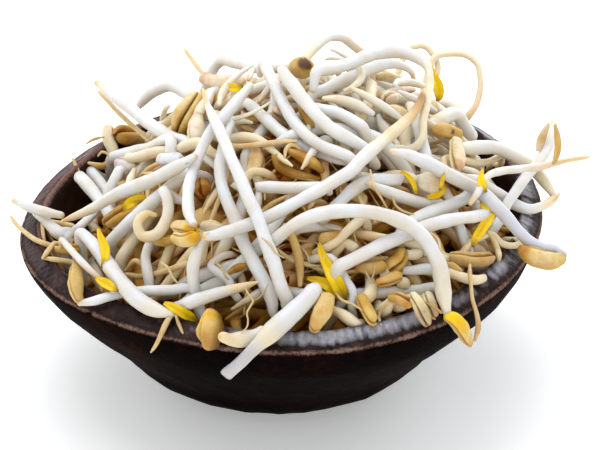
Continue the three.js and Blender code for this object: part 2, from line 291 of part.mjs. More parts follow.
    { rings: 9, cut: [false, false], line: [[42.67, -23.54, 55.19, 0.8], [44.98, -20.3, 57.74, 0.72], [47.02, -15.87, 57.86, 0.76], [49.86, -12.01, 56.86, 0.85], [52.91, -8.47, 55.37, 0.91], [56.04, -5.01, 53.85, 0.91], [59.24, -1.61, 52.33, 0.86], [62.46, 1.87, 51.06, 0.75], [65.7, 5.41, 50.03, 0.62], [69.06, 8.8, 48.85, 0.52], [72.5, 12.06, 47.6, 0.41]] },
  ] },
  { name: "sprout_right_inner_rise", material: STEM_WHITE, strands: [
    { rings: 12, cut: [false, false], line: [[29.29, -33.32, 42.61, 1.29], [27.84, -32.5, 45.46, 1.29], [26.81, -32.37, 48.59, 1.29], [26.69, -32.56, 51.85, 1.29], [28.38, -31.63, 54.4, 1.29], [30.88, -29.61, 54.85, 1.36], [33.34, -27.4, 54.78, 1.41], [35.67, -25.07, 54.48, 1.42], [37.86, -22.63, 54.04, 1.42], [39.92, -20.08, 53.54, 1.41], [41.88, -17.45, 53.08, 1.36], [43.82, -15.39, 52.4, 1.31], [44.42, -13.91, 49.52, 1.32], [44.05, -12.83, 46.44, 1.19], [43.66, -12.73, 43.16, 0.82], [43.68, -13.05, 39.87, 0.47]] },
  ] },
  { name: "sprout_right_inner_sag", material: STEM_WHITE, strands: [
    { rings: 5, cut: [false, false], line: [[20.42, -29.56, 63.32, 1.19], [23.51, -27.88, 60.82, 1.28], [26.77, -26.19, 58.54, 1.31], [30.12, -24.52, 56.36, 1.31], [33.27, -22.31, 54.39, 1.31], [36.25, -19.51, 53, 1.32]] },
  ] },
  { name: "sprout_round_pale_bean", material: STEM_CREAM, strands: [
    { rings: 7, cut: [false, false], line: [[21.4, -14.61, 56.46, 0.92], [23.32, -16.74, 57.57, 1.21], [25.16, -18.62, 59.17, 1.44], [27.67, -20.08, 60.1, 1.45], [30.56, -21.04, 59.64, 1.5], [33.22, -20.54, 58.69, 2.24], [35.71, -19.11, 57.57, 1.87]] },
  ] },
  { name: "sprout_centre_bent", material: STEM_WHITE, strands: [
    { rings: 10, cut: [true, false], line: [[27.14, -23.26, 60.85, 1.31], [24.02, -24.29, 61.4, 1.41], [21.07, -25.68, 62.03, 1.41], [18.33, -27.55, 61.93, 1.41], [16.1, -29.95, 61.44, 1.41], [13.83, -32.07, 60.26, 1.34], [11.69, -33.39, 58.15, 1.29], [9.49, -33.09, 55.79, 1.29], [7.47, -31.02, 54.19, 1.24], [5.39, -28.59, 53.26, 0.98], [2.92, -26.4, 52.9, 0.72], [0.13, -24.57, 52.89, 0.45]] },
  ] },
  { name: "sprout_centre_level", material: STEM_WHITE, strands: [
    { rings: 6, cut: [true, false], line: [[-3.96, -29, 62.27, 1.19], [0.14, -29.41, 62.44, 1.4], [4.25, -29.86, 62.47, 1.4], [8.36, -30.07, 62.68, 1.36], [11.68, -29.76, 61.39, 1.29]] },
  ] },
  { name: "sprout_front_right_arch", material: STEM_WHITE, strands: [
    { rings: 12, cut: [false, false], line: [[-1.63, -41.92, 52.24, 1.25], [-0.49, -41.58, 55.82, 1.33], [2.51, -41.27, 58.59, 1.38], [5.98, -40.4, 60.54, 1.43], [9.83, -39.46, 61.55, 1.49], [13.85, -38.72, 61.79, 1.49], [17.9, -38.17, 61.49, 1.49], [21.91, -37.87, 60.72, 1.49], [25.78, -37.95, 59.37, 1.52], [29.37, -38.47, 57.5, 1.61], [32.28, -39.63, 54.9, 1.61], [34.39, -41.4, 51.87, 1.69], [35.48, -43.67, 48.66, 1.71], [35.99, -46.32, 45.57, 1.64], [36.63, -49.29, 42.83, 1.29]] },
    { rings: 5, cut: [false, false], line: [[36.62, -49.66, 42.3, 0.95], [39.15, -50.15, 40.56, 1.33], [40.56, -49.61, 37.62, 1.16], [42.01, -49.16, 34.69, 0.54]] },
    { rings: 6, cut: [false, false], line: [[42.87, -48.62, 35.61, 0.54], [43.59, -46.65, 38.16, 0.35], [43.04, -44.79, 40.84, 0.35], [42.27, -42.74, 43.32, 0.35], [42.01, -40.72, 45.95, 0.47], [41.97, -38.29, 48.19, 0.37]] },
  ] },
  { name: "sprout_front_right_diagonal", material: STEM_WHITE, strands: [
    { rings: 12, cut: [false, false], line: [[16.43, -43.02, 40.17, 1.49], [13.77, -42.71, 43.87, 1.48], [12.31, -44.53, 47.57, 1.47], [13.53, -45.63, 51.71, 1.49], [17.09, -43.36, 52.82, 1.49], [20.87, -40.87, 53.56, 1.5], [24.62, -38.32, 54.12, 1.5], [28.45, -35.82, 54.24, 1.51], [32.08, -33.04, 54.52, 1.51], [35.77, -30.33, 54.3, 1.52], [39.78, -28.18, 53.97, 1.51], [43.09, -25.55, 52.88, 1.42], [46.01, -22.32, 51.46, 1.25], [46.96, -20.38, 47.83, 1.22], [47.02, -15.93, 47.07, 0.93], [46.46, -11.72, 45.44, 0.45]] },
  ] },
  { name: "sprout_right_front_bean", material: BEAN_TAN, strands: [
    { rings: 9, cut: [false, false], line: [[34.76, -20.64, 45.34, 0.51], [34.51, -23.53, 44.77, 0.79], [34.25, -26.46, 44.78, 1.08], [34.14, -29.35, 45.38, 1.37], [34.52, -32.12, 46.25, 1.45], [36.36, -34.02, 47.23, 1.45], [38.94, -33.85, 47.57, 1.08], [41.44, -32.82, 46.39, 1.56], [44.03, -31.67, 45.57, 1.63], [46.67, -30.39, 45.3, 1.27]] },
  ] },
  { name: "sprout_right_front_pale", material: STEM_CREAM, strands: [
    { rings: 8, cut: [false, true], line: [[28.68, -26.76, 47.05, 1.08], [29.57, -29.3, 45.72, 1.08], [31.02, -31.79, 44.86, 1.08], [32.62, -34.31, 44.53, 1.08], [34.63, -36.49, 44.75, 1.08], [37.26, -37.58, 45.64, 1.04], [40.08, -38.24, 45.27, 1.02], [42.84, -38.54, 44.65, 0.94], [45.22, -36.85, 44.07, 0.74]] },
  ] },
  { name: "sprout_front_cut_over_rim", material: STEM_WHITE, strands: [
    { rings: 12, cut: [false, true], line: [[2.16, -42, 44.04, 1.56], [4.34, -44.07, 44.71, 1.54], [6.6, -46.12, 45.18, 1.52], [8.54, -48.49, 45.25, 1.55], [8.79, -50.57, 47.26, 1.58], [8.12, -51.67, 49.74, 1.61], [6.26, -53.71, 48.39, 1.94], [4.11, -55.45, 47.02, 2.06], [1.93, -57.24, 45.77, 2.08], [-0.09, -59.38, 44.87, 1.97], [-2.28, -61.11, 43.56, 1.67], [-4.46, -61.93, 41.59, 1.32], [-6.31, -61.55, 39.17, 1.31], [-8.08, -60.81, 36.76, 1.29], [-10.06, -60.23, 34.47, 1.27]] },
    { rings: 9, cut: [false, false], line: [[5.64, -39.11, 44.39, 0.51], [7.19, -41.24, 44.5, 0.79], [8.87, -43.29, 44.5, 1.06], [10.54, -45.33, 44.52, 1.34], [11.57, -47.74, 44.59, 1.44], [11.57, -50.12, 45.52, 1.45], [11.18, -51.76, 47.53, 1.65], [10.61, -53.33, 47.25, 2.05], [9.53, -55.11, 45.63, 1.93], [8.48, -57.03, 44.14, 1.19]] },
  ] },
  { name: "sprout_front_under_cut", material: STEM_WHITE, strands: [
    { rings: 5, cut: [false, false], line: [[-2.66, -56.85, 43.29, 1.1], [-5.45, -58.2, 42.29, 1.35], [-8.3, -59.57, 42.55, 1.58], [-10.74, -60.99, 44.15, 1.5]] },
  ] },
  { name: "sprout_front_left_tapered", material: STEM_WHITE, strands: [
    { rings: 6, cut: [false, false], line: [[-3.57, -48.1, 49.81, 0.42], [-6.85, -48.05, 48.62, 0.9], [-10.21, -48.27, 47.73, 1.24], [-13.51, -49.21, 47.21, 1.52], [-16.46, -49.12, 45.99, 1.6], [-18.93, -47.53, 44.13, 1.56], [-21.23, -45.63, 42.33, 1.39]] },
    { rings: 6, cut: [false, false], line: [[-13.51, -52.3, 43.93, 0.98], [-13.43, -54.38, 43.73, 1.57], [-13.47, -56.32, 43, 2.02], [-13.59, -58.36, 42.55, 2.08], [-13.82, -58.05, 40.57, 0.87]] },
  ] },
  { name: "sprout_left_upright", material: STEM_WHITE, strands: [
    { rings: 10, cut: [false, false], line: [[-15.29, -42.41, 56.56, 1.13], [-16.18, -44.27, 55.7, 1.13], [-16.83, -45.9, 54.63, 1.18], [-17.3, -45.98, 52.46, 1.24], [-17.41, -45.74, 50.2, 1.26], [-17.28, -45.42, 47.96, 1.25], [-16.88, -45.19, 45.74, 1.2], [-16.36, -45.51, 43.61, 1.14], [-16.51, -46.1, 41.44, 1.16], [-15.5, -47.08, 39.92, 0.86], [-13.42, -47.91, 40.04, 0.45]] },
  ] },
  { name: "sprout_left_long_cross", material: STEM_WHITE, strands: [
    { rings: 8, cut: [false, false], line: [[-17.72, -22.44, 66.1, 1.22], [-21.1, -22.5, 63.86, 1.33], [-23.96, -20.62, 61.13, 1.48], [-26.92, -18.73, 58.51, 1.54], [-29.96, -16.76, 56.05, 1.55], [-33.3, -15.12, 53.73, 1.54], [-36.75, -13.91, 51.33, 1.45], [-40.19, -13.27, 48.7, 1.23], [-43.96, -12.94, 46.49, 0.92], [-47.93, -12.82, 44.63, 0.68]] },
  ] },
  { name: "sprout_left_second_cross", material: STEM_WHITE, strands: [
    { rings: 12, cut: [false, false], line: [[-12.46, -15.99, 53.32, 1.43], [-14.47, -15.64, 55.99, 1.43], [-16.02, -17.25, 58.45, 1.43], [-18.22, -19.37, 59.85, 1.43], [-20.86, -19.64, 59.38, 1.47], [-23.18, -19.03, 56.97, 1.54], [-25.69, -19.83, 54.98, 1.54], [-28.23, -20.59, 52.91, 1.55], [-30.65, -20.62, 50.52, 1.55], [-32.96, -20.5, 48.03, 1.55], [-35.2, -20.46, 45.47, 1.54], [-36.93, -20.41, 42.66, 1.45], [-36.73, -18.99, 39.64, 1.45], [-35.59, -16.43, 37.78, 1.32], [-34.25, -13.56, 36.59, 0.91], [-33.61, -10.34, 35.71, 0.51]] },
  ] },
  { name: "sprout_left_hook", material: STEM_CREAM, strands: [
    { rings: 12, cut: [false, false], line: [[-19.07, -23.32, 55.24, 1.2], [-20.93, -22.67, 55.46, 1.2], [-22.77, -22.7, 56.08, 1.2], [-23.83, -23.59, 57.48, 1.2], [-24.5, -24.62, 59.05, 1.2], [-23.73, -25.63, 57.74, 1.2], [-23.41, -26.74, 56.14, 1.23], [-23.59, -27.87, 54.51, 1.3], [-24.31, -28.88, 52.97, 1.31], [-25.47, -29.75, 51.61, 1.31], [-27.02, -30.38, 50.62, 1.31], [-28.89, -30.28, 50.83, 1.25], [-29.96, -29.42, 52.19, 1.2], [-29.62, -28.32, 53.71, 1.17], [-28.17, -27.45, 54.62, 1.07], [-26.29, -27.19, 54.3, 0.87]] },
  ] },
  { name: "sprout_left_cut_end", material: STEM_WHITE, strands: [
    { rings: 10, cut: [true, false], line: [[-45.82, 9.9, 43.48, 1.55], [-43.94, 6.56, 43.29, 1.53], [-42.18, 3.17, 43.06, 1.5], [-40.48, -0.25, 42.82, 1.48], [-38.79, -3.68, 42.57, 1.46], [-37.35, -7.2, 42.09, 1.46], [-35.91, -10.72, 41.71, 1.46], [-34.1, -14.05, 42.02, 1.46], [-30.89, -15.01, 43.66, 1.46], [-27.38, -15.01, 45.17, 1.27], [-24.93, -12.74, 46.87, 1.01], [-22.57, -10.31, 48.54, 0.76], [-19.3, -9.52, 50.33, 0.51]] },
  ] },
  { name: "sprout_left_split_leaf", material: BEAN_GOLD, strands: [
    { rings: 8, cut: [false, false], line: [[-18.25, -5.25, 51.41, 0.51], [-19.58, -8.65, 52.17, 0.87], [-21.41, -11.8, 53.03, 1.24], [-23.3, -14.97, 53.49, 1.45], [-26.27, -17.03, 52.83, 1.45], [-29.56, -17.34, 51.68, 1.19], [-32.41, -16.3, 49.49, 1.8], [-35.17, -15.11, 47.26, 1.86], [-37.73, -13.99, 44.78, 1.35]] },
  ] },
  { name: "sprout_left_overhang_upper", material: STEM_WHITE, strands: [
    { rings: 5, cut: [false, true], line: [[-59.83, -3.51, 44.58, 0.92], [-56.25, -5.97, 44.4, 1.16], [-52.63, -8.36, 44.56, 1.24], [-48.63, -9.7, 44.41, 1.24]] },
  ] },
  { name: "sprout_left_overhang_lower", material: STEM_WHITE, strands: [
    { rings: 11, cut: [false, false], line: [[-56.27, -1.76, 41.5, 0.75], [-54.63, -3.96, 41.67, 0.82], [-53.15, -6.27, 41.73, 0.96], [-51.77, -8.65, 41.73, 1.1], [-50.39, -11.02, 41.75, 1.32], [-48.49, -12.87, 41.43, 1.62], [-46.94, -13.44, 40.5, 1.69], [-47.06, -13.65, 37.76, 1.7], [-47.17, -13.74, 35.02, 1.7], [-47.04, -13.3, 32.34, 1.7], [-45.64, -11.74, 30.99, 1.4], [-43.3, -10.35, 31.18, 0.98], [-40.97, -9, 30.68, 0.59]] },
  ] },
  { name: "sprout_left_root", material: ROOT_TAN, strands: [
    { rings: 7, cut: [false, false], line: [[-60.66, -4.11, 40.73, 0.46], [-59.06, -7.24, 40.52, 0.54], [-57.2, -10.25, 40.54, 0.52], [-55.23, -13.18, 40.71, 0.44], [-53.19, -16.01, 41.2, 0.36], [-50.3, -17.85, 40.98, 0.46], [-49.29, -17.98, 37.9, 0.55], [-48.49, -17.75, 34.47, 0.58]] },
  ] },
  { name: "sprout_left_thin", material: STEM_WHITE, strands: [
    { rings: 8, cut: [false, false], line: [[-47.82, -21.33, 42.37, 0.78], [-47.4, -22.49, 44.99, 0.78], [-46.16, -24.83, 45.37, 0.78], [-44.81, -27.39, 45.36, 0.78], [-43.43, -29.93, 45.31, 0.77], [-41.71, -32.15, 44.67, 0.77], [-39.9, -34.32, 44.07, 0.72], [-38.24, -36.31, 43.44, 0.62], [-37.74, -36.29, 40.58, 0.61]] },
  ] },
  { name: "sprout_front_left_thick", material: STEM_WHITE, strands: [
    { rings: 11, cut: [false, false], line: [[-42.92, -20.41, 32.81, 1.23], [-43.25, -19.81, 36.68, 1.23], [-43.42, -19.57, 40.61, 1.23], [-43.57, -19.38, 44.54, 1.23], [-41.79, -21.99, 45.39, 1.37], [-39.87, -25.43, 45.32, 1.48], [-38.18, -28.98, 45.15, 1.54], [-36.56, -32.57, 44.99, 1.59], [-34.94, -36.16, 44.9, 1.63], [-33.31, -39.73, 44.95, 1.67], [-31.02, -42.74, 43.87, 1.7], [-28.5, -45.69, 43.25, 1.65], [-25.51, -48.22, 42.96, 1.61], [-21.9, -49.7, 43.08, 1.36]] },
    { rings: 5, cut: [false, false], line: [[-21.9, -49.78, 42.88, 0.79], [-23.31, -51.34, 41.03, 0.35], [-24.43, -53.11, 39.19, 0.35], [-25.4, -52.61, 36.82, 0.35], [-26.52, -51.59, 34.46, 0.35]] },
  ] },
  { name: "sprout_front_left_rim", material: STEM_WHITE, strands: [
    { rings: 12, cut: [false, false], line: [[-42.14, -41.82, 40.76, 0.97], [-39.36, -42.07, 41.35, 0.96], [-36.63, -41.64, 42.05, 0.71], [-34.38, -40.36, 41.95, 0.59], [-32.16, -39.01, 41.65, 0.84], [-29.45, -39.61, 42.34, 1.08], [-26.75, -40.37, 42.92, 1.19], [-24.08, -41.18, 43.54, 1.18], [-21.49, -42.12, 44.33, 1.13], [-19.06, -43.22, 45.36, 1.04], [-16.95, -42.81, 43.68, 1.03], [-14.7, -41.82, 42.23, 1.05], [-12.74, -40.02, 41.27, 0.89], [-10.78, -37.99, 41.42, 0.63], [-8.7, -36.39, 42.56, 0.45]] },
    { rings: 4, cut: [false, false], line: [[-43.88, -28.9, 42.9, 0.95], [-43.59, -33.13, 42.41, 1.31], [-43.27, -37.34, 41.83, 1.36], [-42.36, -41.46, 41.3, 0.9]] },
  ] },
];

// ---------------------------------------------------------------- assembly
const bowl_of_sprouts = new THREE.Group();
bowl_of_sprouts.name = "bowl_of_bean_sprouts";

function add(name, geometry, [color, roughness]) {
  const mesh = new THREE.Mesh(geometry, finish(color, roughness));
  mesh.name = name;
  bowl_of_sprouts.add(mesh);
}

add("bowl", bowlGeometry(), BOWL_WOOD);
add("inner_sprouts", heapGeometry(), HEAP_BROWN);
for (const { name, material, strands } of SPROUTS) {
  if (strands.length === 1) {
    add(name, strandGeometry(strands[0]), material);
    continue;
  }
  let joined = solid(strandGeometry(strands[0]));
  for (let k = 1; k < strands.length; k++) {
    // the strand of this sprout that the new one grows from is the nearest one before it
    const near = strands.slice(0, k).map((s) => [peg(s, strands[k]), s]).sort((x, y) => span(x[0]) - span(y[0]))[0][0];
    joined = joined.add(solid(strandGeometry(strands[k])));
    if (near) joined = joined.add(solid(strandGeometry(near)));
  }
  add(name, skin(joined), material);
}

function span(p) {
  if (!p) return 0;
  const a = p.line[0];
  const b = p.line[p.line.length - 1];
  return Math.hypot(a[0] - b[0], a[1] - b[1], a[2] - b[2]);
}

export default bowl_of_sprouts;
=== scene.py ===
import math

import bpy
import numpy as np
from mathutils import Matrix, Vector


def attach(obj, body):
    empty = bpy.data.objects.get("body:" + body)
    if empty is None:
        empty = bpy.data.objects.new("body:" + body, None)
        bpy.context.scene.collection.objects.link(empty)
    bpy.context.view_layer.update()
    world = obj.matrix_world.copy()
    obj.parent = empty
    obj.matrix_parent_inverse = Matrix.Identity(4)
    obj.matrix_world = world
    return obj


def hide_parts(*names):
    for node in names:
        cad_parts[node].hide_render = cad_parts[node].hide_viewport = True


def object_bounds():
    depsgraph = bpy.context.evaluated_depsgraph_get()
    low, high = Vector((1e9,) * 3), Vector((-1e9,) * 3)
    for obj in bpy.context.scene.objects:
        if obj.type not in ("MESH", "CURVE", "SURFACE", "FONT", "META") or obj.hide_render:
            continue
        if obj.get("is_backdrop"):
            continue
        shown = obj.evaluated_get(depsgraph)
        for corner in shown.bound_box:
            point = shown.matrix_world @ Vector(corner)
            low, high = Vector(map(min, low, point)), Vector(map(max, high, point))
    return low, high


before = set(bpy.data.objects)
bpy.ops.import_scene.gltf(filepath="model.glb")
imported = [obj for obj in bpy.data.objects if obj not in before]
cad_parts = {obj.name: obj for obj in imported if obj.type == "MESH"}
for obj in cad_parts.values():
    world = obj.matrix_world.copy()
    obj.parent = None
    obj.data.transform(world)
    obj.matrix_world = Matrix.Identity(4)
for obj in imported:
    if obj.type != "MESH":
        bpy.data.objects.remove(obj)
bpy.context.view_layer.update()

MM = 0.001
CAMERA_AT = np.array([5.33, -522.51, 334.32])  # mm, the photograph's viewpoint
CAMERA_TILT = 29.7  # degrees above the horizon

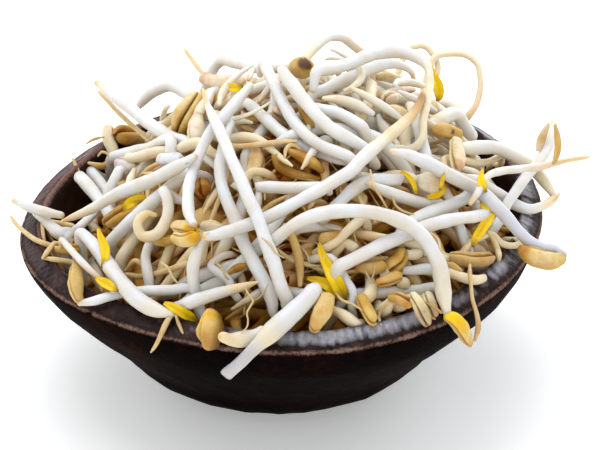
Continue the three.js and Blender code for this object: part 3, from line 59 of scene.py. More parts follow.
# ------------------------------------------------------------------ sprouts: centre lines and radii
# name|CAD node|tone|head|side of the head's stem|cut start, cut end|first and last visible point|x,y,z,radius in 0.01 mm ...
STRANDS = """
a|sprout_back_left_high|whitetip|-|e|00|0|8|-4311,3505,5530,110 -4020,3082,5514,136 -3726,2643,5514,146 -3436,2183,5526,156 -3158,1704,5536,154 -2875,1224,5563,151 -2576,766,5613,149 -2262,339,5692,140 -2098,89,5770,133 -1835,-252,5795,133 -1446,-854,5834,133
a2|sprout_back_left_root|root|-|e|00|0|9|-4294,3754,5164,49 -4035,3318,5121,56 -3786,2871,5078,60 -3524,2423,5055,60 -3257,1973,5046,59 -2991,1516,5043,57 -2689,1092,5095,57 -2356,715,5222,57 -2022,344,5391,56 -1855,125,5494,55 -1590,-159,5555,55 -1221,-644,5628,55 -1120,-839,5634,55
x1|sprout_left_upper_cross|white|-|s|00|6|10|-342,1642,5676,135 -563,1425,5671,135 -716,1160,5683,135 -842,871,5701,135 -1012,639,5729,135 -1238,565,5776,135 -1480,697,5811,135 -1785,920,5583,147 -2089,1137,5343,147 -2403,1307,5160,148 -2729,1518,5015,136
b|sprout_back_left_arch|white|-|e|00|0|5|-3516,4760,4162,135 -3271,4639,4515,135 -2990,4485,4834,142 -2653,4263,5070,146 -2318,3915,5114,145 -2031,3547,5080,144 -1789,3308,5064,144 -1524,3159,5005,144 -1229,3083,4959,144 -922,3024,4986,135 -624,2933,5064,114 -339,2814,5158,93 -52,2702,5247,72 247,2610,5322,50
c|sprout_split_bean|brownbean|bean|s|00|1|6|-1895,1425,6161,158 -1857,1284,6256,200 -1937,1124,6176,262 -2025,1029,6066,302 -2112,977,5932,308 -2189,951,5779,260 -2249,939,5607,197
d|sprout_top_bean_upper|cream|pale|s|00|1|6|-616,1366,6594,145 -778,1510,6579,103 -954,1642,6493,161 -1134,1791,6394,174 -1313,1953,6303,174 -1490,2131,6239,166 -1661,2331,6221,152
d2|sprout_top_bean_lower|gold|pale|s|00|7|9|-1149,-613,5495,51 -1002,-364,5625,75 -838,-149,5782,100 -703,65,5972,123 -606,278,6180,142 -598,505,6346,143 -748,777,6378,144 -1025,1088,6279,136 -1342,1417,6108,192 -1648,1795,6023,163
d3|-|root|-|e|00|0|2|-2248,4654,5846,50 -2005,3949,5869,60 -1762,3147,5947,58 -1429,2258,5917,58 -1253,1726,5894,58 -1246,1545,5726,58 -1294,1531,5443,54 -1252,1283,5158,46 -1308,1331,4880,45 -1392,1471,4596,45 -1423,1393,4253,45
d4|sprout_top_left_flat|white|-|e|00|1|4|-1899,4895,4500,137 -1386,4788,5485,137 -1056,4362,5652,146 -741,3957,5752,143 -419,3510,5926,140 217,3000,6201,140 474,2634,6363,140 425,2373,6369,140 290,2131,6259,119 104,1977,6091,96 -133,1933,5894,72 -362,1871,5685,49
A|sprout_long_diagonal|white|-|e|00|0|17|-1619,-489,7380,34 -1530,-929,7274,70 -1398,-1349,7178,109 -1255,-1739,7078,131 -1121,-2108,6966,130 -1004,-2462,6841,136 -884,-2793,6709,140 -756,-3103,6571,140 -644,-3399,6422,144 -524,-3685,6273,149 -392,-3950,6122,148 -293,-4183,5938,148 -199,-4400,5743,148 -88,-4591,5543,148 9,-4774,5333,148 89,-4948,5112,148 189,-5078,4873,148 258,-5100,4735,148 277,-5076,4577,148 373,-4953,4350,147 540,-4739,4247,128 712,-4486,4172,89 877,-4219,4096,51
B|sprout_left_head_pair|white|-|s|00|0|12|-579,-340,7379,134 -770,-603,7251,133 -962,-869,7127,133 -1157,-1129,7005,132 -1349,-1362,6867,132 -1517,-1589,6708,132 -1644,-1827,6529,130 -1752,-2083,6350,128 -1842,-2448,6228,127 -1879,-2929,6159,134 -1866,-3434,6102,141 -1801,-3935,6054,136 -1736,-4179,6036,130
C|sprout_second_diagonal|white|-|s|00|4|19|-620,-500,5833,88 -749,-590,6100,88 -890,-697,6347,88 -976,-852,6576,88 -992,-1049,6797,88 -1107,-1439,6685,108 -1177,-1818,6554,117 -1212,-2164,6399,125 -1200,-2487,6233,132 -1128,-2793,6066,141 -1017,-3081,5906,143 -893,-3355,5747,151 -781,-3619,5579,150 -685,-3874,5401,150 -544,-4106,5232,149 -403,-4324,5058,149 -261,-4526,4877,149 -132,-4711,4678,146 -51,-4865,4441,121 -42,-4915,4299,106 0,-4891,4191,106 47,-4752,3993,87 34,-4509,3833,45
F|sprout_top_slope_left|white|-|e|00|2|12|-385,1256,6879,125 -324,953,7182,125 -281,800,7363,125 -208,551,7326,131 -60,75,7248,140 79,-388,7162,140 219,-834,7074,133 385,-1243,6988,132 581,-1607,6906,131 816,-1894,6832,131 1081,-2089,6760,131 1366,-2237,6711,130 1640,-2344,6615,118 1725,-2383,6329,118 1781,-2271,6090,119 1791,-2038,5913,106 1779,-1752,5779,80 1779,-1451,5674,55 1786,-1297,5629,45
G|sprout_top_slope_right|white|-|e|00|1|10|160,-107,7487,133 133,-201,7707,133 212,-403,7659,138 399,-750,7563,150 575,-1074,7449,154 770,-1361,7338,153 970,-1607,7212,153 1194,-1793,7083,152 1448,-1910,6965,152 1714,-1966,6835,144 1973,-1979,6666,130 2100,-1953,6411,130 2179,-1793,6202,130 2195,-1539,6029,107 2164,-1266,5867,76 2093,-1003,5702,45
G2|sprout_top_slope_short|white|-|e|00|6|11|242,-74,5988,122 331,-350,6103,122 375,-573,6301,122 409,-722,6565,122 512,-815,6821,122 717,-865,7022,122 842,-879,7107,122 984,-927,7105,128 1268,-1020,7091,139 1535,-1136,7031,143 1779,-1267,6926,137 1897,-1316,6862,132 1967,-1360,6734,132 2083,-1363,6474,132 2141,-1233,6223,132 2168,-1019,5998,111 2227,-780,5801,85 2352,-541,5637,59 2432,-424,5563,46
L|sprout_inner_slope|white|-|s|00|5|14|-554,823,5848,100 -703,606,6028,99 -814,410,6251,98 -862,229,6498,99 -808,37,6714,101 -653,-176,6872,101 -413,-503,6824,122 -184,-828,6764,133 41,-1128,6691,133 282,-1379,6619,132 543,-1569,6552,132 818,-1730,6506,131 1096,-1906,6482,126 1378,-2056,6457,116 1668,-2116,6418,107 1829,-2042,6238,108 1932,-1853,6049,109 1998,-1600,5884,81 2029,-1464,5809,66
K|sprout_thin_cross_root|root|-|s|00|2|8|-1295,-1264,6172,66 -1146,-1390,6372,66 -1054,-1449,6459,66 -901,-1522,6488,66 -599,-1629,6562,66 -300,-1705,6644,66 -1,-1771,6719,57 297,-1838,6781,48 446,-1874,6808,44
E|sprout_rising_right|white|-|s|00|0|20|3311,17,7100,68 3197,-449,7008,95 3013,-884,6943,119 2784,-1292,6911,136 2544,-1676,6885,145 2301,-2028,6854,152 2061,-2343,6806,152 1837,-2627,6726,151 1632,-2885,6616,151 1378,-3088,6546,150 1123,-3266,6466,141 863,-3412,6382,139 601,-3531,6292,139 340,-3630,6187,139 79,-3703,6068,139 -185,-3748,5940,138 -461,-3810,5854,138 -739,-3945,5825,139 -1014,-4138,5824,139 -1289,-4382,5875,139 -1431,-4509,5933,139
t|sprout_top_bean_dark_eye|tanbean|bean|s|00|7|9|-70,1727,6015,62 69,1503,6196,85 165,1244,6339,108 207,974,6489,131 218,727,6677,145 252,531,6891,145 310,412,7149,145 331,354,7483,202 615,171,7595,210 756,67,7624,179
u|sprout_top_loop|white|-|s|00|5|12|191,786,5977,102 303,662,6249,102 410,550,6528,102 515,488,6803,102 583,557,7069,102 601,793,7316,102 748,1185,7424,104 962,1596,7473,112 1223,1949,7495,115 1530,2167,7357,113 1786,2274,7096,105 2029,2344,6838,99 2138,2360,6700,93 2156,2345,6534,93 2196,2271,6233,93 2201,2155,5953,82 2159,2050,5663,57 2120,1950,5369,45
Ha|sprout_top_arch_outer|white|-|e|00|1|14|824,-478,7370,133 933,-253,7708,133 1082,-147,7690,136 1385,173,7600,142 1683,508,7537,147 1972,807,7528,148 2271,1027,7527,149 2583,1148,7508,149 2894,1164,7468,150 3184,1071,7398,139 3413,861,7276,114 3469,540,7098,91 3427,151,6951,91 3346,-285,6837,101 3268,-701,6716,99 3223,-1057,6407,99 3040,-1216,6281,99 2755,-1206,6268,82 2456,-1098,6266,58 2177,-935,6270,45
I|sprout_top_arch_inner|white|-|s|00|5|13|1348,-557,6003,123 1140,-596,6249,123 938,-610,6499,123 764,-560,6725,123 702,-392,6901,123 801,-114,7041,123 1085,184,7025,132 1366,541,6996,139 1655,918,6945,144 1951,1288,6892,149 2242,1644,6864,150 2553,1953,6817,141 2874,2172,6662,111 3142,2291,6397,82 3196,2293,6190,82
Ic|-|cream|pale|s|00|6|8|2494,2020,4661,51 2720,2131,4874,79 2957,2249,5084,108 3085,2407,5336,136 3057,2589,5583,145 2977,2635,5826,145 2900,2553,6111,70 2549,2511,6203,117 2195,2523,6204,82
hole|sprout_large_pale_bean|palebean|bean|s|00|6|9|3369,3960,3662,51 3549,3884,3874,79 3640,3757,4161,108 3690,3596,4462,136 3707,3395,4764,145 3550,3030,5175,145 3163,2495,5747,168 2846,1946,5887,282 2532,1514,5988,297 2209,1121,6133,224
tl|-|cream|-|e|00|4|7|2606,4719,4290,86 2595,4728,4466,86 2735,4803,4690,86 2913,4989,5030,86 3277,5432,5550,86 3594,5490,5545,86 3810,5324,5371,86 3906,5044,5169,86 3518,4622,4650,86 3388,4378,4395,86 3409,4113,4466,71 3394,3878,4665,50 3320,3594,4826,45
qq|sprout_right_air_loop|cream|-|e|00|3|11|3510,4272,4300,86 3499,4424,4618,86 3609,4696,4988,86 3878,5123,5456,86 4225,5216,5472,86 4572,5196,5447,86 4847,5056,5290,80 4925,4811,5036,74 4910,4506,4801,75 4802,4153,4608,85 4584,3784,4481,99 4463,3615,4425,96 4327,3493,4386,99 4143,3254,4290,106 4083,3002,4148,96 4072,2731,3980,67 4088,2445,3834,45
rr|sprout_right_rear_stub|white|-|e|00|4|6|4356,2314,4912,163 4498,2074,4873,163 4529,1837,4982,163 4386,1587,5312,163 4109,1304,5833,163 3792,877,5927,160 3492,455,5989,146 3109,49,6108,146 2896,-263,6109,146 2881,-482,5958,146 2954,-674,5734,125 3045,-847,5492,100 3179,-959,5239,76 3327,-1060,4982,51
r2|-|white|-|s|00|5|7|2413,4555,4268,98 2710,4428,4342,98 2988,4277,4418,98 3251,4155,4374,98 3544,4162,4306,98 3939,4360,4559,98 4245,4202,4558,122 4338,4027,4484,122 4152,3845,4375,122 3952,3589,4262,122 3893,3499,4043,115 3899,3399,3750,86 3860,3203,3482,57 3810,3102,3352,45
R4|sprout_right_rear_upright|white|-|e|00|5|8|3351,1122,5497,113 3264,1031,5788,113 3180,906,6063,113 3085,749,6297,113 3029,522,6451,113 3061,216,6546,113 3158,-223,6425,146 3230,-624,6279,145 3293,-982,6110,133 3341,-1272,5944,133 3330,-1441,5716,133 3312,-1474,5424,118 3356,-1441,5119,90 3487,-1395,4841,61 3576,-1372,4712,47
gl|sprout_golden_bean_right|gold|bean|s|00|7|9|4646,664,3844,51 4559,704,4141,75 4503,690,4449,100 4472,637,4762,124 4445,565,5066,145 4371,450,5339,145 4245,303,5599,144 4115,145,5895,135 3772,-89,6135,158 3591,-240,6224,135
vb|sprout_upright_bean_right|tanbean|bean|s|00|2|6|4000,-582,5786,145 4009,-660,5981,145 4016,-735,6181,134 4018,-941,6126,151 4020,-1143,6070,167 4022,-1345,6015,144 4025,-1545,5960,122
nub|-|cream|-|e|10|0|2|4589,355,4982,113 4292,166,5167,150 4154,89,5282,135 4069,-28,5299,135 3830,-149,5300,135 3540,-210,5229,134 3354,-298,4989,105 3216,-406,4711,76 3177,-473,4403,47
S|sprout_right_long_overhang|white|none|s|00|0|15|2524,-2426,6831,119 2830,-2332,6725,142 3120,-2266,6559,152 3407,-2197,6378,160 3687,-2116,6168,164 3970,-1999,5935,163 4261,-1869,5707,162 4526,-1908,5536,162 4753,-2125,5427,157 4968,-2267,5253,150 5175,-2351,5033,144 5376,-2480,4835,143 5602,-2643,4693,132 5875,-2806,4645,121 6163,-2962,4675,123 6277,-3079,4630,132
Sh|sprout_right_long_overhang|gold|pale|s|00|0|6|6234,-3111,4573,154 6090,-3094,4517,188 5946,-3056,4493,208 5803,-3002,4494,177 5664,-2936,4514,144 5530,-2862,4546,111 5405,-2784,4585,77
W|sprout_right_tipped|whitetip|-|s|00|6|13|3520,153,5076,133 3637,-138,5132,133 3730,-426,5230,133 3823,-706,5344,133 3969,-951,5411,133 4205,-1076,5407,133 4519,-1014,5341,133 4811,-833,5045,143 5099,-651,4732,153 5381,-676,4558,145 5690,-717,4458,131 6030,-458,4382,111 6339,-78,4365,84 6478,124,4377,58
T|sprout_right_rim_arch|white|-|s|00|0|9|4035,-181,5760,145 4361,-20,5647,156 4694,240,5534,159 5036,515,5364,161 5347,707,5113,162 5644,825,4867,163 5914,828,4654,155 6132,682,4467,151 6310,465,4288,139 6391,348,4199,127
Tb|-|cream|-|s|00|4|7|3571,-1525,5658,78 3736,-1302,5746,78 3733,-1053,5867,78 3782,-767,5787,78 4168,-354,5520,78 4506,25,5239,91 4853,425,5051,81 5181,948,4924,71 5180,1351,4458,71 5054,1622,4339,66 4948,1742,4154,46 4991,1854,3899,45
U|sprout_right_upright|white|-|e|00|0|7|6506,2238,5140,110 6407,1720,5036,125 6257,1199,4951,126 6032,698,4907,125 5778,209,4885,127 5544,-291,4859,119 5326,-783,4822,112 5212,-1017,4804,111 5091,-1288,4693,111 4869,-1675,4508,112 4675,-1784,4339,105 4547,-1737,4108,79 4511,-1676,3811,52 4516,-1654,3652,45
V|sprout_right_root_overhang|whitetip|-|s|00|1|11|4267,-2354,5519,86 4439,-2163,5695,85 4503,-1990,5757,84 4717,-1560,5785,86 5034,-1143,5666,89 5369,-761,5499,91 5708,-390,5336,91 6050,-30,5178,83 6386,342,5062,69 6727,702,4950,57 7075,1041,4824,47 7250,1206,4760,41
Z|sprout_right_inner_rise|white|-|s|00|5|11|2929,-3332,4261,129 2796,-3263,4540,129 2699,-3243,4836,129 2683,-3244,5128,129 2788,-3174,5359,129 2874,-3102,5447,129 3013,-3010,5474,134 3303,-2761,5476,141 3603,-2460,5437,142 3909,-2110,5371,143 4209,-1747,5321,136 4353,-1582,5323,132 4392,-1510,5182,133 4428,-1378,4904,133 4402,-1294,4615,116 4372,-1280,4305,81 4368,-1305,3987,47
Y|sprout_right_inner_sag|white|-|s|00|0|6|2042,-2956,6332,119 2311,-2815,6114,127 2589,-2664,5913,131 2872,-2521,5725,131 3163,-2347,5532,131 3467,-2102,5361,131 3625,-1951,5300,132
wb|sprout_round_pale_bean|palebean|bean|s|00|5|7|2140,-1461,5646,93 2335,-1675,5769,122 2535,-1860,5910,145 2770,-1998,5986,145 3043,-2066,5946,145 3187,-2070,5895,186 3378,-2005,5836,239 3571,-1911,5757,187
J2|sprout_centre_bent|white|-|e|10|0|6|2714,-2326,6085,131 2420,-2428,6139,141 2124,-2559,6203,141 1847,-2747,6199,141 1609,-2980,6134,141 1395,-3184,6025,134 1287,-3251,5954,129 1195,-3302,5847,129 1005,-3312,5641,129 815,-3173,5475,129 620,-2956,5365,109 399,-2737,5307,83 146,-2545,5290,58 13,-2457,5289,45
J|sprout_centre_level|white|-|e|10|0|5|-396,-2900,6227,119 -101,-2927,6243,138 192,-2962,6244,140 486,-2990,6248,140 779,-3003,6262,138 1072,-2965,6263,129 1168,-2976,6139,129
M|sprout_front_right_arch|white|-|s|00|1|20|-163,-4192,5224,127 -149,-4145,5477,127 -35,-4155,5594,135 191,-4130,5807,138 434,-4077,5976,141 702,-4009,6090,145 987,-3943,6154,149 1282,-3887,6178,149 1581,-3841,6171,149 1881,-3807,6137,149 2178,-3788,6076,149 2467,-3789,5983,150 2745,-3812,5862,157 3001,-3864,5708,161 3211,-3954,5514,161 3376,-4077,5293,165 3496,-4226,5064,171 3556,-4402,4826,171 3591,-4598,4598,169 3635,-4815,4384,152 3663,-4929,4283,136
Mh|sprout_front_right_arch|yellow|leafy|s|00|0|6|3662,-4966,4230,112 3792,-4980,4176,141 3895,-4990,4075,151 3979,-4983,3937,147 4049,-4965,3780,126 4117,-4942,3621,100 4201,-4916,3469,54
pp|sprout_front_right_arch|root|-|s|00|0|6|4287,-4862,3561,54 4360,-4687,3792,57 4323,-4513,4030,55 4241,-4336,4257,50 4213,-4147,4489,49 4190,-3941,4712,45 4197,-3829,4819,38
N|sprout_front_right_diagonal|white|-|s|00|5|17|1643,-4302,4017,149 1453,-4283,4283,149 1302,-4324,4535,148 1256,-4444,4763,148 1316,-4512,5020,149 1362,-4498,5166,149 1490,-4459,5226,149 1753,-4307,5290,149 2019,-4133,5341,150 2284,-3948,5392,150 2562,-3767,5414,150 2846,-3580,5423,151 3121,-3367,5448,151 3410,-3151,5444,152 3708,-2957,5422,153 4013,-2788,5385,150 4330,-2530,5276,141 4654,-2200,5136,122 4690,-2023,4840,122 4703,-1771,4726,115 4686,-1471,4663,79 4646,-1172,4544,45
N2|-|white|-|e|00|4|7|741,-3460,4591,96 698,-3709,4774,96 783,-3924,4992,96 947,-4111,5158,96 1195,-4220,5224,96 1368,-4344,5020,107 1515,-4492,4813,106 1663,-4663,4619,96 1640,-4762,4333,96 1676,-4670,4054,96 1704,-4459,3821,85 1760,-4205,3636,64 1848,-4003,3406,45 1896,-3922,3271,45
rb|sprout_right_front_bean|tanbean|bean|s|00|6|10|3476,-2064,4534,51 3449,-2379,4486,82 3425,-2695,4495,113 3427,-3000,4561,144 3503,-3255,4648,145 3690,-3368,4734,145 3812,-3366,4773,87 3949,-3351,4720,121 4235,-3246,4605,164 4524,-3113,4538,156 4667,-3039,4530,139
rw|sprout_right_front_pale|cream|-|s|01|5|8|2868,-2676,4705,108 2974,-2943,4575,108 3122,-3208,4490,108 3297,-3462,4462,108 3513,-3654,4494,108 3777,-3748,4571,107 4064,-3832,4508,115 4366,-3789,4420,105 4522,-3685,4407,84
rl|-|cream|-|s|00|4|9|3898,-2952,3687,88 3968,-3027,3993,88 4034,-3126,4284,88 4046,-3077,4569,88 4208,-2901,4754,88 4477,-2666,4836,88 4735,-2462,4799,81 4993,-2402,4526,78 5322,-2216,4375,73 5469,-2044,4384,67 5270,-1873,4320,67 5050,-1660,4155,67 4973,-1631,3882,53 4909,-1711,3584,45 4867,-1765,3440,45
ab|-|amber|bean|s|00|5|6|4193,-1304,3316,51 4210,-1408,3618,85 4275,-1485,3926,119 4386,-1529,4223,145 4601,-1536,4413,145 4907,-1430,4418,101 5192,-1293,4262,102
O|sprout_front_cut_over_rim|white|-|s|01|5|14|216,-4200,4404,157 447,-4417,4470,157 671,-4635,4513,156 831,-4857,4566,157 856,-5037,4783,158 828,-5097,4956,158 737,-5242,4904,175 531,-5450,4776,202 311,-5627,4647,209 93,-5827,4531,210 -124,-6023,4415,184 -341,-6147,4252,149 -553,-6165,4014,131 -771,-6099,3725,130 -1006,-6023,3447,127
Os|sprout_front_under_cut|white|-|s|00|0|6|-266,-5685,4329,149 -385,-5753,4276,161 -516,-5816,4238,174 -655,-5881,4226,178 -798,-5954,4250,181 -939,-6030,4313,176 -1074,-6099,4415,169
dd|sprout_front_cut_over_rim|yellowbean|bean|s|00|5|8|564,-3911,4439,47 758,-4168,4448,79 955,-4418,4451,110 1106,-4680,4463,134 1148,-4950,4555,134 1103,-5158,4796,166 1020,-5409,4653,200 899,-5601,4494,161 848,-5703,4414,122
R|sprout_front_left_tapered|whitetip2|-|s|00|0|6|-357,-4810,4981,42 -647,-4808,4876,86 -940,-4824,4795,116 -1232,-4881,4740,145 -1520,-4917,4653,158 -1814,-4797,4465,161 -2123,-4563,4233,139
ee|sprout_front_left_tapered|olivebean|bean|s|00|0|4|-1351,-5230,4393,182 -1343,-5439,4348,242 -1348,-5617,4285,269 -1363,-5737,4187,257 -1382,-5805,4057,143
q|sprout_left_upright|white|-|e|00|0|5|-1529,-4241,5656,117 -1655,-4487,5509,119 -1729,-4584,5250,125 -1740,-4559,4906,128 -1683,-4536,4570,123 -1628,-4542,4421,117 -1632,-4587,4257,117 -1555,-4687,4042,97 -1342,-4791,4004,45
hB|sprout_left_head_pair|yellowpale|pale|s|00|0|3|-2125,-3690,5708,119 -1990,-3857,5794,133 -1861,-4034,5862,137 -1737,-4222,5914,129
hB2|sprout_left_head_pair|yellowpale|pale|s|00|0|3|-2111,-4061,5625,130 -1962,-4230,5673,143 -1822,-4334,5750,143 -1691,-4370,5852,128
hB3|-|cream|pale|s|00|5|7|-1760,-3040,4529,51 -1719,-3334,4648,89 -1675,-3595,4796,127 -1637,-3790,4993,145 -1582,-3762,5398,145 -1547,-3664,5693,97 -1375,-3668,5695,118 -1205,-3656,5664,86
gb|-|gold|bean|e|00|0|2|-2682,-2843,4872,88 -2366,-3004,4949,112 -2212,-3031,5006,98 -2057,-3031,5011,145 -1802,-2944,4923,145 -1623,-2806,4705,144 -1532,-2643,4447,113 -1434,-2556,4158,82 -1248,-2518,3892,51
D|sprout_left_long_cross|whitetip3|-|s|00|0|11|-1772,-2244,6610,129 -2034,-2253,6437,139 -2309,-2117,6192,152 -2595,-1936,5934,154 -2891,-1745,5688,155 -3194,-1579,5468,156 -3495,-1452,5265,150 -3782,-1370,5054,140 -4058,-1327,4844,120 -4348,-1300,4675,96 -4644,-1285,4532,75 -4793,-1282,4463,68
D2|sprout_left_second_cross|white|-|e|00|4|12|-1246,-1599,5332,143 -1418,-1583,5564,143 -1565,-1681,5778,143 -1734,-1843,5926,143 -1971,-1925,6015,143 -2215,-1932,5808,151 -2452,-1941,5589,154 -2684,-2019,5404,155 -2918,-2057,5197,155 -3151,-2055,4960,155 -3380,-2047,4712,156 -3597,-2043,4449,151 -3695,-2034,4302,145 -3688,-1988,4161,145 -3643,-1834,3926,145 -3540,-1603,3768,127 -3430,-1331,3657,89 -3361,-1034,3571,51
D4|-|white|-|s|00|5|9|-3122,-11,2958,91 -3233,-170,3220,91 -3318,-151,3514,91 -3488,-135,3775,91 -3750,-164,3954,91 -3986,-55,4135,91 -4201,-373,4106,102 -4383,-872,4160,102 -4575,-1291,4180,102 -4687,-1386,4134,102 -4571,-1421,3888,102 -4444,-1401,3513,96 -4501,-1253,3294,56 -4570,-1147,3221,45
D5|-|cream|-|e|00|4|8|-1739,-1554,4523,122 -2005,-1521,4686,122 -2249,-1568,4875,122 -2492,-1693,4971,122 -2752,-1830,4953,122 -2939,-1952,4741,137 -3115,-2086,4527,144 -3277,-2278,4339,142 -3431,-2443,4129,133 -3463,-2498,3853,133 -3362,-2423,3597,133 -3158,-2284,3400,109 -2943,-2158,3202,78 -2738,-2065,2973,47
o|sprout_left_hook|hook|hook|s|00|3|11|-1907,-2332,5524,120 -2158,-2283,5583,120 -2368,-2347,5753,120 -2457,-2405,5880,120 -2382,-2526,5791,118 -2338,-2717,5548,119 -2422,-2878,5308,119 -2618,-3015,5093,118 -2898,-3025,5085,111 -3000,-2869,5322,107 -2781,-2728,5473,92 -2629,-2719,5430,77
q2|-|white|-|e|00|3|6|-2710,-2038,4130,110 -2633,-2253,4344,110 -2640,-2440,4569,110 -2740,-2666,4694,110 -2845,-3011,4550,121 -2799,-3309,4352,120 -2759,-3500,4094,109 -2827,-3573,3818,109 -2754,-3464,3584,109 -2608,-3239,3418,81 -2466,-2998,3255,53 -2398,-2875,3172,45
i|sprout_left_cut_end|white|-|e|10|0|3|-4582,990,4348,155 -4340,556,4323,152 -4116,112,4293,149 -3891,-378,4290,146 -3617,-994,4198,146 -3395,-1365,4222,146 -3161,-1485,4329,146 -2886,-1496,4455,138 -2634,-1406,4589,116 -2435,-1207,4729,95 -2211,-1035,4876,73 -1930,-952,5033,51
tt|-|root|-|e|00|0|2|-4846,2228,4158,42 -4709,2016,3922,42 -4544,2001,3607,42 -4420,1976,3250,45 -4141,1941,3140,45 -3863,1857,3005,45 -3625,1765,2804,45 -3393,1663,2603,45
n|sprout_left_split_leaf|gold|bean|s|00|6|10|-1825,-525,5141,51 -1942,-814,5207,82 -2087,-1089,5276,113 -2245,-1351,5330,144 -2436,-1573,5323,145 -2704,-1692,5261,145 -2861,-1713,5218,89 -3009,-1701,5118,135 -3320,-1594,4887,189 -3628,-1461,4626,165 -3773,-1399,4478,135
x3|-|white|-|s|00|6|9|-2204,-513,4861,135 -2120,-615,5185,135 -2200,-496,5452,135 -2362,-335,5675,135 -2382,-125,5856,135 -2474,216,5743,135 -2874,808,5234,135 -3225,1339,4863,150 -3572,1771,4529,153 -3928,2300,4119,146 -3897,2739,3356,146 -3713,2993,3095,108 -3525,3207,2937,51
wwb|-|goldbean|bean|s|00|5|7|-2222,3484,2807,51 -2454,3555,3019,85 -2667,3605,3257,119 -2895,3625,3476,145 -3145,3582,3653,145 -3260,3529,4007,170 -3589,3260,4251,214 -3753,3095,4371,205
cr|-|cream|-|e|00|1|3|-3903,3699,3999,122 -4112,3433,4330,122 -4039,3038,4186,140 -3967,2912,4089,132 -3906,2768,3859,132 -3788,2470,3649,132 -3596,2295,3535,131 -3346,2270,3346,103 -3126,2198,3118,75 -2919,2186,2889,46
uu|-|gold|-|e|00|0|2|-4474,2261,4032,60 -4144,2387,3886,83 -4000,2561,3898,72 -3917,2639,3680,72 -3745,2750,3385,72 -3629,2772,3106,68 -3658,2684,2808,51 -3670,2548,2516,45 -3641,2479,2369,45
vv|-|white|pale|e|00|0|1|-3666,1322,4512,168 -3258,783,4699,136 -2528,195,4845,145 -2334,-51,4740,145 -2239,-290,4549,119 -2330,-332,4297,85 -2377,-429,3997,51
w2|-|white|-|e|00|2|4|-3934,2948,3414,132 -4124,2615,3400,132 -4414,2278,3780,132 -4185,1770,3779,142 -3969,1257,3775,139 -3819,781,3820,139 -3675,568,3679,139 -3610,556,3394,104 -3574,498,3089,67 -3530,426,2935,49
w3|-|white|-|s|00|5|8|-3133,1811,4003,116 -3341,1571,4056,116 -3485,1338,4160,116 -3484,1041,4311,116 -3553,804,4553,116 -3624,717,4682,116 -3687,575,4601,121 -3820,366,4400,126 -3887,269,4296,126 -3846,153,4184,126 -3763,38,3939,104 -3562,37,3724,45
tan1|-|cream|-|s|00|4|6|-1978,2198,4166,183 -2249,2037,4121,183 -2507,1920,4250,183 -2665,1770,4487,183 -2830,1538,4767,183 -2858,1050,4650,193 -2952,587,4542,180 -2863,310,4533,180 -2626,210,4403,170 -2363,173,4224,116 -2101,105,4034,63
wb2|-|white|pale|e|00|0|1|-2550,-897,5812,134 -2159,-1096,5944,133 -1878,-1174,5865,145 -1689,-1016,5702,145 -1533,-899,5460,119 -1427,-891,5156,85 -1296,-903,4859,51
am|-|amber|bean|s|00|5|6|-1240,-948,4998,51 -1381,-1168,5189,85 -1557,-1391,5332,119 -1667,-1649,5461,145 -1598,-1883,5647,145 -1596,-2043,5880,143 -1593,-2221,5753,153
am2|-|amber|bean|s|00|5|6|-1510,-1109,4387,51 -1565,-1310,4627,85 -1651,-1498,4867,119 -1754,-1703,5087,145 -1921,-1871,5294,145 -2224,-1971,5438,121 -2242,-2154,5288,132
j1|sprout_left_overhang_upper|white|-|s|01|0|7|-5983,-351,4458,92 -5826,-461,4446,104 -5667,-571,4441,115 -5507,-679,4442,121 -5345,-781,4447,125 -5183,-867,4451,125 -5023,-929,4449,125 -4863,-970,4441,124
j2|sprout_left_overhang_lower|white|-|e|00|0|4|-5627,-176,4150,88 -5348,-573,4174,108 -5104,-982,4165,127 -4851,-1249,4120,163 -4699,-1246,4105,169 -4706,-1310,3810,170 -4693,-1323,3337,170 -4582,-1204,3135,148 -4360,-1053,3106,104 -4097,-900,3068,59
jb|-|tan|-|e|00|0|2|-5116,-580,4064,57 -4790,-703,4026,68 -4631,-715,3984,68 -4620,-794,3712,68 -4498,-845,3395,68 -4222,-848,3294,60 -3914,-866,3197,45 -3610,-903,3088,45
jv|-|root|-|e|00|2|4|-5075,-301,3208,46 -5164,-495,3505,46 -5314,-658,4082,46 -5271,-1138,4025,45 -5245,-1282,3944,45 -5082,-1393,3632,45 -4899,-1423,3151,45 -4798,-1190,2949,45 -4750,-1018,2943,45
k|sprout_left_root|root|-|e|00|0|8|-6066,-411,4073,46 -5961,-630,4054,52 -5839,-841,4050,58 -5707,-1047,4055,59 -5571,-1251,4065,60 -5431,-1443,4079,60 -5283,-1596,4096,60 -5136,-1687,4091,61 -5002,-1707,4034,63 -4925,-1748,3741,64 -4849,-1775,3447,65
z1|-|tan|-|s|00|5|8|-4595,-1690,2963,56 -4718,-1648,3108,56 -4813,-1631,3274,56 -4877,-1640,3487,56 -4922,-1660,3773,56 -4956,-1679,4122,56 -5030,-1912,4132,60 -5099,-2150,4142,60 -5163,-2389,4149,56
z2|-|tan|-|e|00|0|2|-5155,-2260,4073,56 -4835,-2359,4076,67 -4532,-2326,3983,67 -4485,-2427,3407,67 -4365,-2346,3090,67 -4178,-2148,3024,50 -3925,-1971,2957,45 -3797,-1899,2887,45
jh|-|gold|bean|e|00|0|2|-4859,-2003,4206,112 -4573,-2084,4189,130 -4432,-2069,4167,123 -4453,-2157,3848,145 -4483,-2217,3358,145 -4483,-2106,3060,115 -4488,-1855,3021,72 -4476,-1720,3089,51
jg|-|goldbean|bean|e|00|0|1|-4402,-1638,4046,180 -4230,-1624,3882,191 -4206,-1658,3673,145 -4156,-1723,3534,145 -4088,-1827,3463,145 -4023,-1955,3413,145 -3964,-2080,3346,127 -3894,-2186,3258,108 -3804,-2269,3161,89 -3700,-2344,3065,70 -3592,-2420,2975,51
